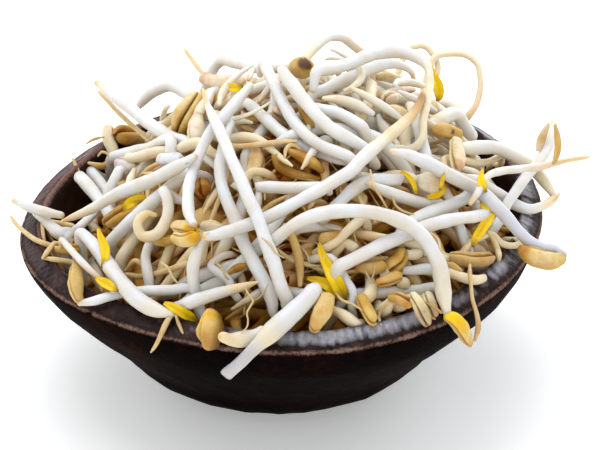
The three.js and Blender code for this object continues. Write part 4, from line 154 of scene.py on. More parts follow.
l|sprout_left_thin|white|-|s|00|1|9|-4782,-2133,4237,78 -4737,-2236,4521,78 -4619,-2472,4532,78 -4505,-2690,4533,78 -4393,-2889,4524,77 -4283,-3063,4501,77 -4174,-3212,4468,77 -4063,-3346,4429,76 -3951,-3459,4381,72 -3840,-3522,4310,65 -3774,-3629,4058,64
P|sprout_front_left_thick|white|-|s|00|3|13|-4292,-2041,3281,123 -4322,-1988,3677,123 -4347,-1958,4215,123 -4358,-1951,4536,123 -4216,-2141,4541,133 -3974,-2568,4532,148 -3762,-3021,4510,156 -3556,-3482,4494,164 -3345,-3913,4472,171 -3132,-4240,4401,177 -2899,-4517,4330,179 -2633,-4760,4295,176 -2341,-4921,4289,160 -2190,-4970,4308,146
Pr|sprout_front_left_thick|root|-|s|00|0|6|-2190,-4978,4288,84 -2274,-5064,4190,73 -2344,-5154,4085,68 -2407,-5229,3967,60 -2473,-5260,3820,51 -2552,-5230,3641,42 -2652,-5159,3446,33
Q|sprout_front_left_rim|white|-|e|00|0|8|-4214,-4182,4076,97 -3922,-4197,4134,107 -3644,-4138,4197,106 -3368,-3995,4189,106 -3081,-3937,4208,113 -2783,-4006,4269,119 -2484,-4096,4336,119 -2187,-4200,4422,116 -1893,-4258,4499,107 -1643,-4245,4334,107 -1414,-4123,4198,107 -1204,-3929,4140,80 -985,-3730,4197,52 -870,-3639,4256,45
Qb|sprout_front_left_rim|tanbean|bean|e|00|0|5|-4388,-2890,4290,106 -4367,-3148,4258,141 -4355,-3405,4226,157 -4338,-3659,4193,158 -4302,-3905,4160,132 -4236,-4146,4130,95
i1|-|tan|-|e|00|4|6|1012,-830,5354,99 991,-986,5630,99 932,-1147,5893,99 954,-1307,6140,99 1040,-1533,6329,99 1059,-1965,6187,98 1079,-2327,6011,98 925,-2486,5801,98 922,-2493,5510,98 996,-2454,5203,81 1032,-2386,4894,57 1062,-2255,4606,45
i2|-|creambean|pale|e|00|0|2|-414,-1552,6364,143 -432,-1944,6218,174 -496,-2093,6132,153 -407,-2187,6037,145 -252,-2229,5804,145 -119,-2125,5544,127 -65,-2021,5253,89 -66,-1931,4944,51
i3|-|cream|-|s|01|6|9|36,-1950,5819,87 -19,-2049,5932,87 -79,-2141,6047,87 -152,-2224,6158,87 -249,-2291,6247,87 -372,-2339,6295,87 -511,-2373,6309,87 -632,-2446,6205,94 -763,-2501,6102,98 -903,-2545,6006,98
i4|-|amber|-|e|00|3|7|-327,-1233,5821,45 -210,-1362,6078,45 -71,-1548,6238,45 5,-1657,6270,44 32,-1815,6171,44 275,-2034,6073,44 577,-2182,6056,44 883,-2258,6023,44 1097,-2227,5875,45 1136,-2126,5617,45 1064,-1997,5334,45 988,-1861,5052,45 961,-1790,4909,45
i5|-|white|-|s|00|5|7|-2410,-793,4751,111 -2333,-851,5057,111 -2183,-865,5319,111 -1955,-836,5542,111 -1831,-883,5825,111 -1690,-1087,6065,111 -1391,-1433,6046,118 -1255,-1601,6015,110 -1132,-1731,6016,110 -950,-1928,5895,110 -777,-1996,5653,96 -611,-2033,5388,67 -506,-2065,5084,45
i6|-|tan|-|s|00|5|7|-333,-1426,4657,109 -475,-1584,4895,109 -611,-1765,5120,109 -760,-1961,5321,109 -972,-2124,5465,109 -1269,-2183,5505,109 -1472,-2277,5350,109 -1643,-2366,5155,98 -1714,-2404,4895,98 -1607,-2300,4669,73 -1403,-2155,4478,45
g1|-|gold|bean|e|00|0|1|1071,-3617,5320,151 1416,-3573,5344,140 1585,-3586,5101,145 1610,-3497,4818,145 1619,-3309,4568,119 1703,-3098,4347,85 1808,-2932,4089,51
g2|-|cream|-|s|01|5|7|1060,-3406,4260,97 1091,-3632,4494,97 1132,-3825,4744,97 1200,-3896,5030,97 1372,-3860,5266,97 1498,-3819,5362,97 1632,-3853,5304,107 1756,-3886,5227,86
g3|-|tan|-|s|00|5|9|279,-3360,3760,129 108,-3464,3997,129 -13,-3634,4242,129 -55,-3812,4482,129 83,-3859,4684,129 209,-3825,4742,129 321,-3771,4823,133 535,-3624,4976,137 745,-3420,5100,126 967,-3174,5189,108 1156,-3019,5046,108 1224,-2873,4797,108 1263,-2765,4503,80 1313,-2673,4206,52 1335,-2655,4051,45
g4|-|tan|-|e|00|4|7|1125,-3152,4364,97 1283,-3088,4626,97 1344,-3146,4918,97 1410,-3298,5158,97 1614,-3358,5344,97 1916,-3440,5341,105 2216,-3503,5319,108 2518,-3517,5261,108 2733,-3415,5108,108 2836,-3158,4972,108 2787,-2994,4708,89 2760,-2903,4390,63 2789,-2779,4085,45
g5|-|cream|-|s|00|4|7|649,-3373,4784,97 819,-3599,4927,97 941,-3801,5136,97 1114,-3947,5320,97 1346,-3918,5469,97 1544,-3722,5587,105 1757,-3457,5648,108 1870,-3327,5675,108 1956,-3284,5556,108 1985,-3155,5309,108 1872,-2963,5097,86 1767,-2781,4855,54 1716,-2711,4713,45
g6|-|white|-|s|00|5|9|-283,-2932,4611,108 -109,-3065,4848,108 9,-3225,5097,108 156,-3405,5297,108 387,-3500,5444,108 511,-3490,5519,108 649,-3479,5544,111 923,-3380,5506,118 1197,-3283,5415,111 1334,-3258,5362,108 1432,-3230,5283,108 1544,-3221,5029,108 1602,-3143,4737,85 1692,-2980,4481,54 1719,-2908,4347,45
g7|-|tan|-|e|00|4|7|1991,-2926,4320,130 2173,-3000,4564,130 2342,-3182,4750,130 2527,-3376,4853,130 2811,-3373,4903,130 3049,-3366,4728,130 3302,-3311,4551,131 3434,-3263,4460,131 3459,-3216,4329,131 3446,-3095,4071,131 3338,-3043,3794,114 3181,-3025,3519,80 2973,-2962,3284,46
g8|-|tan|-|s|00|4|6|1732,-3304,4279,130 1997,-3282,4450,130 2206,-3420,4630,130 2422,-3605,4750,130 2739,-3635,4781,130 2911,-3711,4529,130 3069,-3781,4263,119 3078,-3815,3972,119 3050,-3687,3712,112 2947,-3541,3453,77 2810,-3446,3179,45
g9|-|cream|-|s|00|5|8|1907,-2593,4597,119 2038,-2816,4790,119 2169,-3043,4972,119 2311,-3294,5082,119 2542,-3438,5157,119 2694,-3441,5217,119 2845,-3455,5196,125 3130,-3427,5055,130 3264,-3392,4939,131 3338,-3261,4957,131 3347,-2996,4898,131 3205,-2796,4716,114 3030,-2614,4520,80 2898,-2424,4303,46
lh|-|white|-|e|00|4|10|1083,-4381,3488,117 1191,-4482,3768,117 1292,-4530,4067,117 1445,-4535,4325,117 1689,-4449,4464,117 1996,-4350,4425,125 2305,-4250,4377,129 2613,-4176,4353,129 2921,-4113,4349,129 3229,-4030,4342,130 3385,-3965,4323,130 3483,-3889,4253,130 3614,-3755,4040,130 3627,-3675,3742,122 3574,-3518,3475,91 3511,-3293,3252,61 3470,-3193,3133,45
f1|-|goldbean|bean|e|00|0|2|2216,-4596,4828,85 2491,-4469,4862,125 2627,-4374,4868,118 2691,-4347,4704,145 2765,-4144,4553,145 2757,-3889,4383,115 2744,-3720,4114,72 2749,-3645,3974,51
f2|-|gold|bean|e|00|0|2|2466,-4041,4870,129 2674,-3892,5019,159 2728,-3768,5108,130 2875,-3721,5019,145 3048,-3514,4933,145 3080,-3196,4913,127 3064,-2894,4826,89 3066,-2587,4732,51
f3|-|goldbean|bean|e|00|0|2|1775,-4168,4995,107 2117,-4206,4973,147 2288,-4170,4996,140 2344,-4203,4834,145 2419,-4098,4587,145 2459,-3875,4374,127 2451,-3656,4150,89 2407,-3440,3917,51
wp1|-|creambean|bean|s|00|5|8|2954,-4193,3986,51 2770,-4366,4171,89 2579,-4529,4269,127 2613,-4749,4338,145 2794,-4978,4621,145 2919,-5135,4831,118 3000,-5279,4765,134 3147,-5297,4449,142 3225,-5230,4244,106
wp2|-|creambean|bean|s|00|5|7|3475,-3443,3588,51 3401,-3672,3798,89 3322,-3903,3992,127 3199,-4165,4116,145 3194,-4401,4308,145 3272,-4518,4456,129 3309,-4715,4419,128 3380,-5048,4306,96
gb2|-|goldbean|bean|e|00|0|2|2831,-5291,4753,96 2605,-5144,4779,128 2481,-5030,4717,107 2397,-4963,4484,145 2271,-4814,4251,145 2235,-4576,4231,127 2206,-4295,4133,89 2090,-4010,4000,51
gb3|-|gold|bean|s|00|5|8|1946,-3662,4820,51 1998,-3946,4689,89 2049,-4264,4657,127 2040,-4551,4562,145 1901,-4779,4548,145 1829,-4868,4644,106 1883,-5037,4594,130 2005,-5344,4485,125 2072,-5483,4426,106
wl|-|cream|-|e|00|4|6|185,-4298,4115,107 502,-4336,4205,107 765,-4492,4288,107 1010,-4735,4258,107 1320,-4991,4346,107 1603,-5281,4317,123 1740,-5328,4230,116 1806,-5187,4164,116 1804,-5021,4060,116 1622,-4995,3897,101 1353,-5025,3740,71 1095,-5027,3533,45
b2|-|tan|-|s|00|4|9|-2734,-2590,2960,66 -2943,-2742,3149,66 -3182,-2812,3348,66 -3331,-2819,3611,66 -3326,-2835,3950,66 -2991,-3050,4063,66 -2664,-3270,4253,66 -2344,-3495,4492,65 -2034,-3694,4732,65 -1885,-3739,4816,65 -1741,-3761,4791,65 -1562,-3633,4741,65 -1558,-3351,4675,52 -1565,-3148,4477,45 -1546,-3097,4333,45
b3|-|tan|-|e|00|4|7|-2104,-2713,3161,99 -2310,-2826,3372,99 -2513,-2875,3611,99 -2659,-2886,3883,99 -2678,-2871,4177,99 -2413,-2851,4380,98 -2156,-2830,4594,91 -2032,-2801,4696,87 -1943,-2745,4760,87 -1776,-2601,4702,87 -1667,-2457,4453,76 -1576,-2381,4159,53 -1507,-2363,3847,45
ring|-|yellow|-|e|00|0|2|-3301,-2804,4086,55 -3045,-2869,4354,66 -2911,-2976,4290,55 -2756,-3010,4273,55 -2545,-2975,4114,55 -2451,-2847,3848,48 -2439,-2717,3559,45 -2434,-2619,3254,45
b4|-|tan|-|s|00|4|6|-625,-2359,4269,97 -702,-2532,4514,97 -819,-2737,4726,97 -974,-2951,4878,97 -1209,-3111,4901,97 -1393,-3270,4687,108 -1558,-3375,4425,108 -1762,-3296,4275,108 -1747,-3146,4025,102 -1652,-3007,3747,70 -1578,-2827,3480,45
b5|-|white|-|s|00|4|6|-812,-3089,4478,86 -889,-3302,4705,86 -989,-3526,4903,86 -1193,-3746,4953,86 -1379,-4012,4903,86 -1111,-4254,4804,93 -987,-4338,4723,86 -939,-4423,4590,86 -802,-4438,4351,86 -713,-4257,4123,68 -680,-4061,3873,45 -654,-3980,3735,45
b6|-|cream|-|e|00|3|6|-1829,-3272,3420,108 -1776,-3432,3687,108 -1719,-3457,3978,108 -1584,-3350,4258,108 -1310,-3506,4236,116 -1036,-3693,4356,110 -763,-3818,4562,97 -672,-4011,4334,97 -507,-3962,4107,97 -358,-3794,3885,72 -235,-3569,3699,47 -160,-3456,3615,45
f127|-|fill|fill|e|00|0|17|-2780,880,3762,150 -2613,1150,3796,230 -2381,1365,3854,230 -2113,1550,3871,139 -1850,1735,3826,139 -1614,1925,3713,139 -1383,2103,3574,139 -1147,2284,3446,139 -920,2455,3297,139 -725,2611,3096,139 -532,2761,2887,139 -320,2915,2700,139 -101,3063,2517,139 103,3158,2289,134 313,3226,2055,113 544,3286,1839,92 788,3346,1640,71 1045,3408,1459,50
f128|-|fill|fill|e|00|0|17|464,-463,1170,150 490,-146,1142,230 569,164,1152,230 630,476,1197,160 637,794,1242,160 601,1106,1308,160 542,1418,1353,160 512,1738,1388,160 480,2057,1403,160 399,2363,1352,160 304,2625,1297,160 195,2707,1244,160 85,2628,1199,160 -22,2534,1136,134 -115,2415,1081,113 -182,2252,1028,92 -257,2008,931,71 -341,1695,817,50
f129|-|fill|fill|e|00|0|15|998,4325,3959,150 1293,4274,3843,230 1566,4186,3699,159 1837,4064,3574,159 2122,3935,3495,159 2411,3799,3444,159 2699,3659,3408,159 2981,3506,3387,159 3248,3331,3413,159 3486,3132,3471,159 3663,2925,3459,159 3819,2767,3338,136 3993,2656,3223,112 4170,2573,3120,87 4337,2495,3017,62 4403,2436,2954,50
f130|-|fill|fill|e|00|0|14|-1031,-3410,2445,150 -943,-3108,2385,230 -851,-2804,2341,154 -764,-2497,2311,154 -702,-2183,2289,154 -646,-1868,2289,154 -570,-1557,2303,154 -471,-1252,2309,154 -390,-942,2306,154 -313,-632,2290,154 -237,-322,2256,154 -155,-14,2226,127 -60,290,2199,101 42,592,2169,76 143,895,2142,50
f131|-|fill|fill|e|00|0|15|4374,-2024,2961,150 4332,-2150,3080,230 4282,-2306,3137,155 4235,-2474,3196,155 4173,-2640,3273,155 4013,-2756,3370,155 3741,-2804,3483,155 3436,-2809,3588,155 3126,-2839,3667,155 2819,-2930,3719,155 2505,-3002,3743,155 2184,-3043,3739,145 1863,-3062,3699,121 1551,-3062,3615,98 1240,-3010,3570,74 925,-2935,3597,50
f132|-|fill|fill|e|00|0|15|4206,3044,3694,150 4193,3013,3564,230 4148,3024,3467,155 4111,3040,3375,155 4077,3074,3285,155 4033,3109,3213,155 3983,3135,3169,155 3867,3103,3138,155 3620,2997,3153,155 3340,2847,3185,155 3077,2665,3202,155 2839,2450,3219,136 2620,2216,3249,112 2422,1972,3311,87 2258,1716,3414,62 2182,1585,3471,50
f133|-|fill|fill|e|00|0|21|3358,-1826,3235,150 3070,-1884,3098,230 2763,-1953,3061,230 2453,-2033,3089,143 2142,-2108,3111,143 1826,-2155,3133,143 1509,-2198,3134,143 1193,-2243,3110,143 877,-2271,3070,143 561,-2285,3023,143 246,-2281,2966,143 -69,-2249,2912,143 -380,-2193,2859,143 -689,-2126,2797,143 -986,-2048,2703,143 -1263,-1955,2569,146 -1528,-1868,2409,128 -1783,-1766,2244,111 -2031,-1643,2082,94 -2268,-1498,1924,76 -2488,-1326,1769,59 -2594,-1232,1693,50
f134|-|fill|fill|e|00|0|16|-912,2426,1856,150 -954,2116,1905,230 -978,1796,1909,142 -1008,1476,1926,142 -1019,1157,1973,142 -1014,842,2045,142 -1033,541,2156,142 -1070,258,2306,142 -1090,-18,2472,142 -1105,-297,2637,142 -1139,-584,2780,142 -1191,-894,2851,142 -1243,-1212,2889,131 -1298,-1528,2922,108 -1350,-1844,2938,85 -1403,-2161,2939,62 -1431,-2319,2938,50
f135|-|fill|fill|e|00|0|17|-1413,1435,5124,150 -1102,1448,5044,230 -806,1498,4936,230 -525,1565,4790,152 -252,1597,4618,152 49,1579,4508,152 368,1560,4447,152 686,1550,4396,152 1007,1558,4365,152 1327,1576,4346,152 1646,1616,4335,152 1956,1696,4314,152 2265,1775,4280,152 2574,1848,4236,134 2877,1930,4172,113 3176,2017,4090,92 3462,2103,3975,71 3724,2176,3807,50
f136|-|fill|fill|e|00|0|14|-954,880,4128,150 -942,1198,4171,230 -908,1508,4239,139 -853,1815,4314,139 -760,2118,4363,139 -638,2412,4401,139 -500,2693,4466,139 -358,2963,4558,139 -253,3218,4634,139 -311,3452,4655,139 -444,3669,4591,143 -544,3876,4481,116 -628,4066,4366,90 -674,4242,4247,63 -668,4333,4186,50
f137|-|fill|fill|e|00|0|17|-4002,2047,2704,150 -4186,1750,2890,230 -4323,1369,2992,135 -4331,997,3023,135 -4183,714,3013,135 -3998,459,2958,135 -3825,213,2841,135 -3666,-47,2740,135 -3536,-336,2687,135 -3422,-636,2662,135 -3339,-946,2632,135 -3280,-1260,2588,135 -3242,-1575,2536,147 -3236,-1893,2497,126 -3249,-2214,2490,104 -3296,-2530,2474,82 -3378,-2839,2447,61 -3408,-2995,2439,50
f138|-|fill|fill|e|00|0|16|-1398,575,2248,150 -1276,859,2325,230 -1110,1127,2376,149 -951,1405,2406,149 -825,1698,2437,149 -736,2007,2450,149 -664,2321,2441,149 -601,2635,2408,149 -562,2950,2353,149 -543,3259,2264,149 -555,3554,2143,149 -572,3783,2004,149 -496,3809,1866,131 -372,3671,1710,108 -251,3486,1541,85 -175,3278,1357,62 -169,3168,1256,50
f139|-|fill|fill|e|00|0|20|2944,-2437,3473,150 2927,-2120,3508,230 2920,-1801,3513,230 2928,-1481,3477,154 2914,-1163,3496,154 2875,-852,3568,154 2862,-543,3655,154 2881,-230,3727,154 2910,88,3763,154 2948,407,3770,154 2994,726,3757,154 3050,1041,3717,154 3123,1343,3627,154 3205,1632,3508,154 3307,1907,3377,154 3448,2176,3273,132 3616,2429,3169,114 3807,2653,3045,96 3959,2832,2921,77 3942,2940,2796,59 3890,2968,2723,50
f140|-|fill|fill|e|00|0|19|2665,-960,1478,150 2345,-971,1479,230 2027,-989,1462,230 1709,-1020,1452,158 1391,-1059,1460,158 1072,-1077,1480,158 751,-1075,1482,158 429,-1081,1463,158 112,-1128,1457,158 -192,-1234,1487,158 -498,-1329,1458,158 -808,-1383,1388,158 -1127,-1408,1363,158 -1447,-1437,1376,158 -1766,-1469,1383,144 -2082,-1514,1354,125 -2396,-1573,1334,106 -2712,-1625,1364,88 -2998,-1658,1426,69 -3155,-1587,1429,50
f141|-|fill|fill|e|00|0|16|854,-3181,5874,150 995,-2920,5686,230 1134,-2653,5539,134 1244,-2361,5450,134 1364,-2067,5405,134 1533,-1791,5409,134 1719,-1528,5410,134 1908,-1268,5384,134 2099,-1012,5343,134 2270,-752,5265,134 2419,-493,5138,134 2564,-239,4998,134 2737,21,4937,131 2920,287,4920,108 3090,559,4896,85 3271,815,4852,62 3372,930,4809,50
f142|-|fill|fill|e|00|0|18|-2426,-3382,3310,150 -2151,-3304,3144,230 -1847,-3331,3102,230 -1535,-3343,3183,140 -1217,-3303,3251,140 -899,-3245,3268,140 -584,-3203,3213,140 -275,-3156,3121,140 35,-3097,3055,140 336,-3000,3007,140 622,-2874,2932,140 907,-2750,2855,140 1201,-2643,2787,140 1501,-2545,2722,149 1791,-2433,2642,129 2048,-2268,2545,110 2294,-2084,2446,90 2547,-1910,2355,70 2815,-1756,2272,50
f143|-|fill|fill|e|00|0|15|-114,4877,3167,150 31,4595,3122,230 141,4295,3131,151 220,3987,3176,151 276,3678,3242,151 330,3378,3342,151 397,3078,3435,151 464,2774,3515,151 500,2466,3599,151 490,2156,3680,151 472,1845,3760,151 463,1528,3812,136 470,1210,3850,112 478,904,3941,87 475,607,4064,62 473,457,4121,50
f144|-|fill|fill|e|00|0|19|2584,-3937,2812,150 2720,-3905,2885,230 2839,-3833,2918,230 2968,-3766,2944,142 3103,-3692,2974,142 3250,-3625,3011,142 3398,-3543,3042,142 3541,-3429,3056,142 3637,-3226,3057,142 3638,-2923,3058,142 3616,-2602,3028,142 3584,-2280,2997,142 3517,-1964,2968,142 3429,-1654,2976,142 3316,-1357,3044,137 3178,-1075,3122,118 3028,-801,3200,98 2862,-540,3286,79 2690,-285,3376,60 2605,-157,3419,50
f145|-|fill|fill|e|00|0|16|-10,-546,6844,150 214,-420,6667,230 427,-357,6459,151 629,-316,6234,151 819,-213,6032,151 1035,-74,5902,151 1237,106,5820,151 1382,346,5742,151 1500,611,5622,151 1641,875,5514,151 1784,1120,5370,151 1969,1341,5230,151 2173,1548,5091,139 2375,1744,4933,117 2582,1910,4751,95 2771,2081,4557,72 2953,2234,4344,50
f146|-|fill|fill|e|00|0|16|-2678,589,1255,150 -2795,564,1314,230 -2885,505,1314,138 -2979,438,1317,138 -3092,359,1336,138 -3217,270,1375,138 -3342,183,1449,138 -3446,71,1530,138 -3430,-35,1634,138 -3236,-74,1815,138 -2981,-89,2009,138 -2699,-107,2166,138 -2399,-95,2285,139 -2087,-54,2361,117 -1782,27,2417,95 -1516,145,2550,72 -1261,258,2710,50
f147|-|fill|fill|e|00|0|20|1834,4282,3949,150 2006,4013,3930,230 2176,3748,3873,230 2368,3498,3817,144 2558,3242,3786,144 2731,2977,3740,144 2904,2715,3672,144 3086,2455,3629,144 3282,2200,3623,144 3479,1948,3612,144 3648,1678,3572,144 3807,1400,3549,144 3965,1119,3558,144 4095,829,3627,144 4234,542,3664,144 4405,270,3624,139 4581,7,3557,121 4783,-236,3504,104 4987,-465,3459,86 5087,-686,3415,68 5070,-897,3351,50
f148|-|fill|fill|e|00|0|17|-2123,2164,2784,150 -2212,1872,2883,230 -2290,1569,2948,133 -2354,1263,3019,133 -2420,966,3121,133 -2504,671,3213,133 -2603,370,3262,133 -2707,72,3316,133 -2823,-220,3390,133 -2932,-514,3463,133 -3009,-818,3533,133 -3070,-1133,3518,133 -3122,-1448,3511,147 -3191,-1755,3565,126 -3323,-2028,3533,104 -3520,-2259,3330,82 -3744,-2475,3052,61 -3857,-2576,2910,50
f149|-|fill|fill|e|00|0|18|1735,-54,1162,150 1694,-89,1065,230 1676,-61,979,230 1604,-1,909,137 1430,132,875,137 1214,318,842,137 938,432,849,137 634,509,903,137 342,577,1022,137 43,623,1128,137 -278,644,1166,137 -594,625,1228,137 -899,574,1319,137 -1195,530,1436,149 -1478,479,1576,129 -1757,407,1719,110 -2033,313,1850,90 -2296,199,1990,70 -2537,90,2170,50
f150|-|fill|fill|e|00|0|19|-662,-1538,3401,150 -507,-1814,3452,230 -351,-2089,3499,230 -184,-2359,3545,148 -4,-2621,3586,148 179,-2883,3591,148 379,-3132,3575,148 585,-3377,3588,148 794,-3620,3594,148 1011,-3855,3569,148 1224,-4091,3523,148 1420,-4335,3454,148 1603,-4567,3370,148 1732,-4698,3269,148 1806,-4684,3159,144 1865,-4627,3049,125 1923,-4557,2939,106 1979,-4470,2830,88 2032,-4377,2716,69 2033,-4283,2571,50
f151|-|fill|fill|e|00|0|19|328,-4027,4628,150 355,-3846,4340,230 499,-3720,4093,230 725,-3545,3936,137 974,-3355,3836,137 1210,-3141,3787,137 1429,-2903,3758,137 1658,-2673,3718,137 1874,-2438,3756,137 2056,-2189,3859,137 2218,-1922,3949,137 2370,-1640,3978,137 2544,-1368,3968,137 2747,-1119,3941,137 2958,-882,3877,137 3158,-643,3794,118 3340,-405,3677,98 3504,-170,3532,79 3663,71,3395,60 3747,195,3337,50
f152|-|fill|fill|e|00|0|18|865,-2091,4562,150 802,-1780,4523,230 713,-1475,4486,230 613,-1172,4442,145 515,-868,4414,145 426,-560,4440,145 336,-254,4493,145 202,32,4547,145 41,306,4604,145 -112,586,4633,145 -271,863,4599,145 -433,1139,4561,145 -599,1416,4547,145 -735,1703,4583,142 -849,1999,4645,121 -947,2303,4694,101 -1044,2594,4787,81 -1204,2818,4952,60 -1301,2906,5052,50
f153|-|fill|fill|e|00|0|16|4063,1269,2432,150 4017,1259,2529,230 4006,1176,2545,159 3990,1074,2511,159 3960,974,2440,159 3944,925,2381,159 3930,931,2312,159 3870,1085,2212,159 3711,1339,2125,159 3457,1502,1995,159 3191,1583,1803,159 2916,1619,1620,159 2608,1599,1499,131 2298,1539,1395,108 2009,1412,1318,85 1748,1221,1285,62 1621,1120,1274,50
f154|-|fill|fill|e|00|0|17|667,-121,1562,150 418,-320,1581,230 143,-483,1591,230 -122,-660,1611,133 -366,-867,1625,133 -622,-1058,1632,133 -875,-1253,1654,133 -1104,-1479,1661,133 -1336,-1702,1670,133 -1574,-1904,1747,133 -1802,-2112,1842,133 -2018,-2321,1958,133 -2216,-2523,2111,133 -2413,-2721,2272,134 -2626,-2936,2374,113 -2846,-3153,2454,92 -3042,-3325,2562,71 -3117,-3478,2639,50
f155|-|fill|fill|e|00|0|15|-1869,800,2991,150 -1688,553,3085,230 -1515,291,3151,149 -1330,35,3215,149 -1129,-202,3298,149 -946,-431,3430,149 -762,-646,3583,149 -571,-853,3738,149 -379,-1044,3912,149 -196,-1211,4117,149 -17,-1387,4315,149 174,-1590,4473,136 384,-1782,4622,112 605,-1958,4773,87 834,-2116,4931,62 947,-2191,5016,50
f156|-|fill|fill|e|00|0|16|2066,-2928,1679,150 2209,-2881,1769,230 2371,-2819,1799,150 2551,-2741,1826,150 2740,-2629,1861,150 2917,-2463,1884,150 3029,-2205,1841,150 3113,-1914,1739,150 3189,-1612,1656,150 3243,-1298,1606,150 3285,-980,1573,150 3314,-660,1554,150 3321,-338,1556,131 3311,-16,1575,108 3292,298,1638,85 3306,607,1718,62 3329,763,1746,50
f157|-|fill|fill|e|00|0|19|-1801,-709,4468,150 -1562,-495,4466,230 -1311,-297,4456,230 -1051,-119,4396,145 -804,70,4315,145 -574,274,4217,145 -346,481,4122,145 -104,688,4079,145 136,902,4083,145 374,1120,4103,145 615,1330,4087,145 851,1541,4031,145 1081,1756,3968,145 1302,1977,3900,145 1524,2198,3837,137 1746,2421,3774,118 1970,2642,3718,98 2207,2852,3669,79 2425,3077,3610,60 2521,3199,3573,50
f158|-|fill|fill|e|00|0|20|-2773,2299,1744,150 -2762,2519,1886,230 -2643,2728,1961,230 -2408,2922,1971,143 -2134,3086,2018,143 -1855,3201,2135,143 -1573,3281,2279,143 -1298,3347,2441,143 -999,3394,2553,143 -682,3413,2623,143 -372,3388,2704,143 -68,3329,2791,143 236,3277,2881,143 540,3243,2975,143 843,3215,3074,143 1145,3195,3176,139 1451,3174,3269,121 1761,3153,3349,104 2075,3133,3406,86 2387,3094,3463,68 2697,3043,3529,50
f159|-|fill|fill|e|00|0|14|-392,1380,5389,150 -94,1264,5420,230 214,1178,5450,150 526,1101,5468,150 837,1034,5436,150 1136,942,5363,150 1428,826,5289,150 1728,720,5260,150 2039,637,5260,150 2345,556,5210,150 2651,478,5164,143 2957,385,5188,116 3262,314,5247,90 3556,283,5395,63 3696,266,5494,50
f160|-|fill|fill|e|00|0|16|665,-70,4914,150 354,-152,4900,230 53,-239,4836,160 -235,-364,4773,160 -528,-495,4741,160 -835,-586,4710,160 -1150,-650,4724,160 -1455,-737,4786,160 -1747,-872,4794,160 -2029,-1030,4749,160 -2297,-1213,4847,160 -2580,-1370,4905,160 -2849,-1524,4784,139 -3093,-1694,4581,117 -3319,-1872,4252,95 -3556,-2063,3842,72 -3851,-2258,3450,50
f161|-|fill|fill|e|00|0|17|-2660,2186,4642,150 -2282,2179,4800,230 -1898,2172,4941,140 -1534,2159,5096,140 -1187,2144,5245,140 -860,2093,5343,140 -560,1979,5387,140 -276,1822,5408,140 -10,1658,5479,140 231,1487,5625,140 454,1270,5739,140 671,1029,5774,140 882,782,5718,147 1078,534,5625,126 1298,315,5540,104 1576,151,5512,82 1863,7,5470,61 2006,-63,5444,50
f162|-|fill|fill|e|00|0|17|-3585,1231,3382,150 -3372,1449,3280,230 -3165,1684,3210,142 -2973,1939,3163,142 -2826,2210,3078,142 -2706,2478,2943,142 -2552,2731,2816,142 -2359,2960,2696,142 -2136,3169,2589,142 -1889,3360,2500,142 -1650,3565,2427,142 -1448,3814,2390,142 -1255,4060,2404,147 -1076,4242,2474,126 -933,4372,2583,104 -814,4494,2692,82 -687,4596,2781,61 -601,4625,2816,50
f163|-|fill|fill|e|00|0|18|1261,4054,3464,150 947,4111,3504,230 626,4131,3503,230 303,4125,3483,155 -11,4109,3420,155 -315,4070,3326,155 -610,3993,3225,155 -876,3912,3064,155 -1127,3855,2870,155 -1416,3832,2732,155 -1715,3793,2610,155 -1954,3682,2424,155 -2150,3500,2233,155 -2393,3317,2132,149 -2659,3136,2112,129 -2916,2938,2120,110 -3123,2695,2090,90 -3287,2420,2048,70 -3443,2140,2033,50
f164|-|fill|fill|e|00|0|18|-808,1329,976,150 -861,1391,983,230 -866,1405,982,230 -844,1519,984,153 -772,1962,1027,153 -651,2394,1115,153 -490,2426,1242,153 -321,2232,1405,153 -181,2014,1594,153 -76,1792,1802,153 30,1581,2019,153 170,1373,2220,153 313,1135,2381,153 467,890,2522,149 644,672,2676,129 831,477,2851,110 1026,307,3042,90 1228,171,3251,70 1425,40,3468,50
f165|-|fill|fill|e|00|0|16|-1687,2005,1465,150 -1373,2047,1509,230 -1052,2087,1522,142 -743,2140,1593,142 -455,2215,1718,142 -173,2278,1859,142 80,2296,2054,142 328,2305,2261,142 617,2336,2396,142 916,2360,2512,142 1180,2419,2682,142 1424,2523,2866,142 1659,2634,3055,131 1875,2769,3251,108 2079,2922,3446,85 2259,3094,3646,62 2337,3186,3750,50
f166|-|fill|fill|e|00|0|14|-3071,2730,3829,150 -2733,2819,4061,230 -2406,2909,4275,150 -2083,2922,4389,150 -1771,2860,4454,150 -1459,2788,4496,150 -1142,2731,4530,150 -840,2672,4619,150 -565,2583,4766,150 -289,2500,4910,150 3,2450,5036,150 307,2420,5136,127 617,2380,5204,101 932,2323,5242,76 1242,2261,5294,50
f167|-|fill|fill|e|00|0|19|-2016,1102,2425,150 -1918,810,2337,230 -1793,524,2268,230 -1626,256,2216,160 -1454,-13,2180,160 -1283,-277,2124,160 -1105,-537,2065,160 -959,-817,2015,160 -829,-1104,1959,160 -671,-1375,1897,160 -518,-1647,1822,160 -358,-1921,1777,160 -173,-2183,1755,160 23,-2435,1718,160 217,-2679,1641,144 429,-2914,1578,125 653,-3143,1555,106 889,-3359,1574,88 1102,-3534,1625,69 1273,-3562,1663,50
f168|-|fill|fill|e|00|0|20|-945,-1015,2378,150 -1155,-780,2419,230 -1363,-542,2460,230 -1547,-292,2535,136 -1758,-61,2601,136 -1984,169,2615,136 -2196,384,2711,136 -2437,547,2859,136 -2702,687,2985,136 -2985,804,3087,136 -3287,906,3135,136 -3597,1003,3151,136 -3883,1150,3029,136 -4032,1341,2667,136 -3969,1425,2305,136 -3920,1396,2187,132 -3930,1334,2184,114 -3979,1276,2197,96 -4017,1194,2203,77 -4034,1076,2229,59 -4060,1005,2261,50
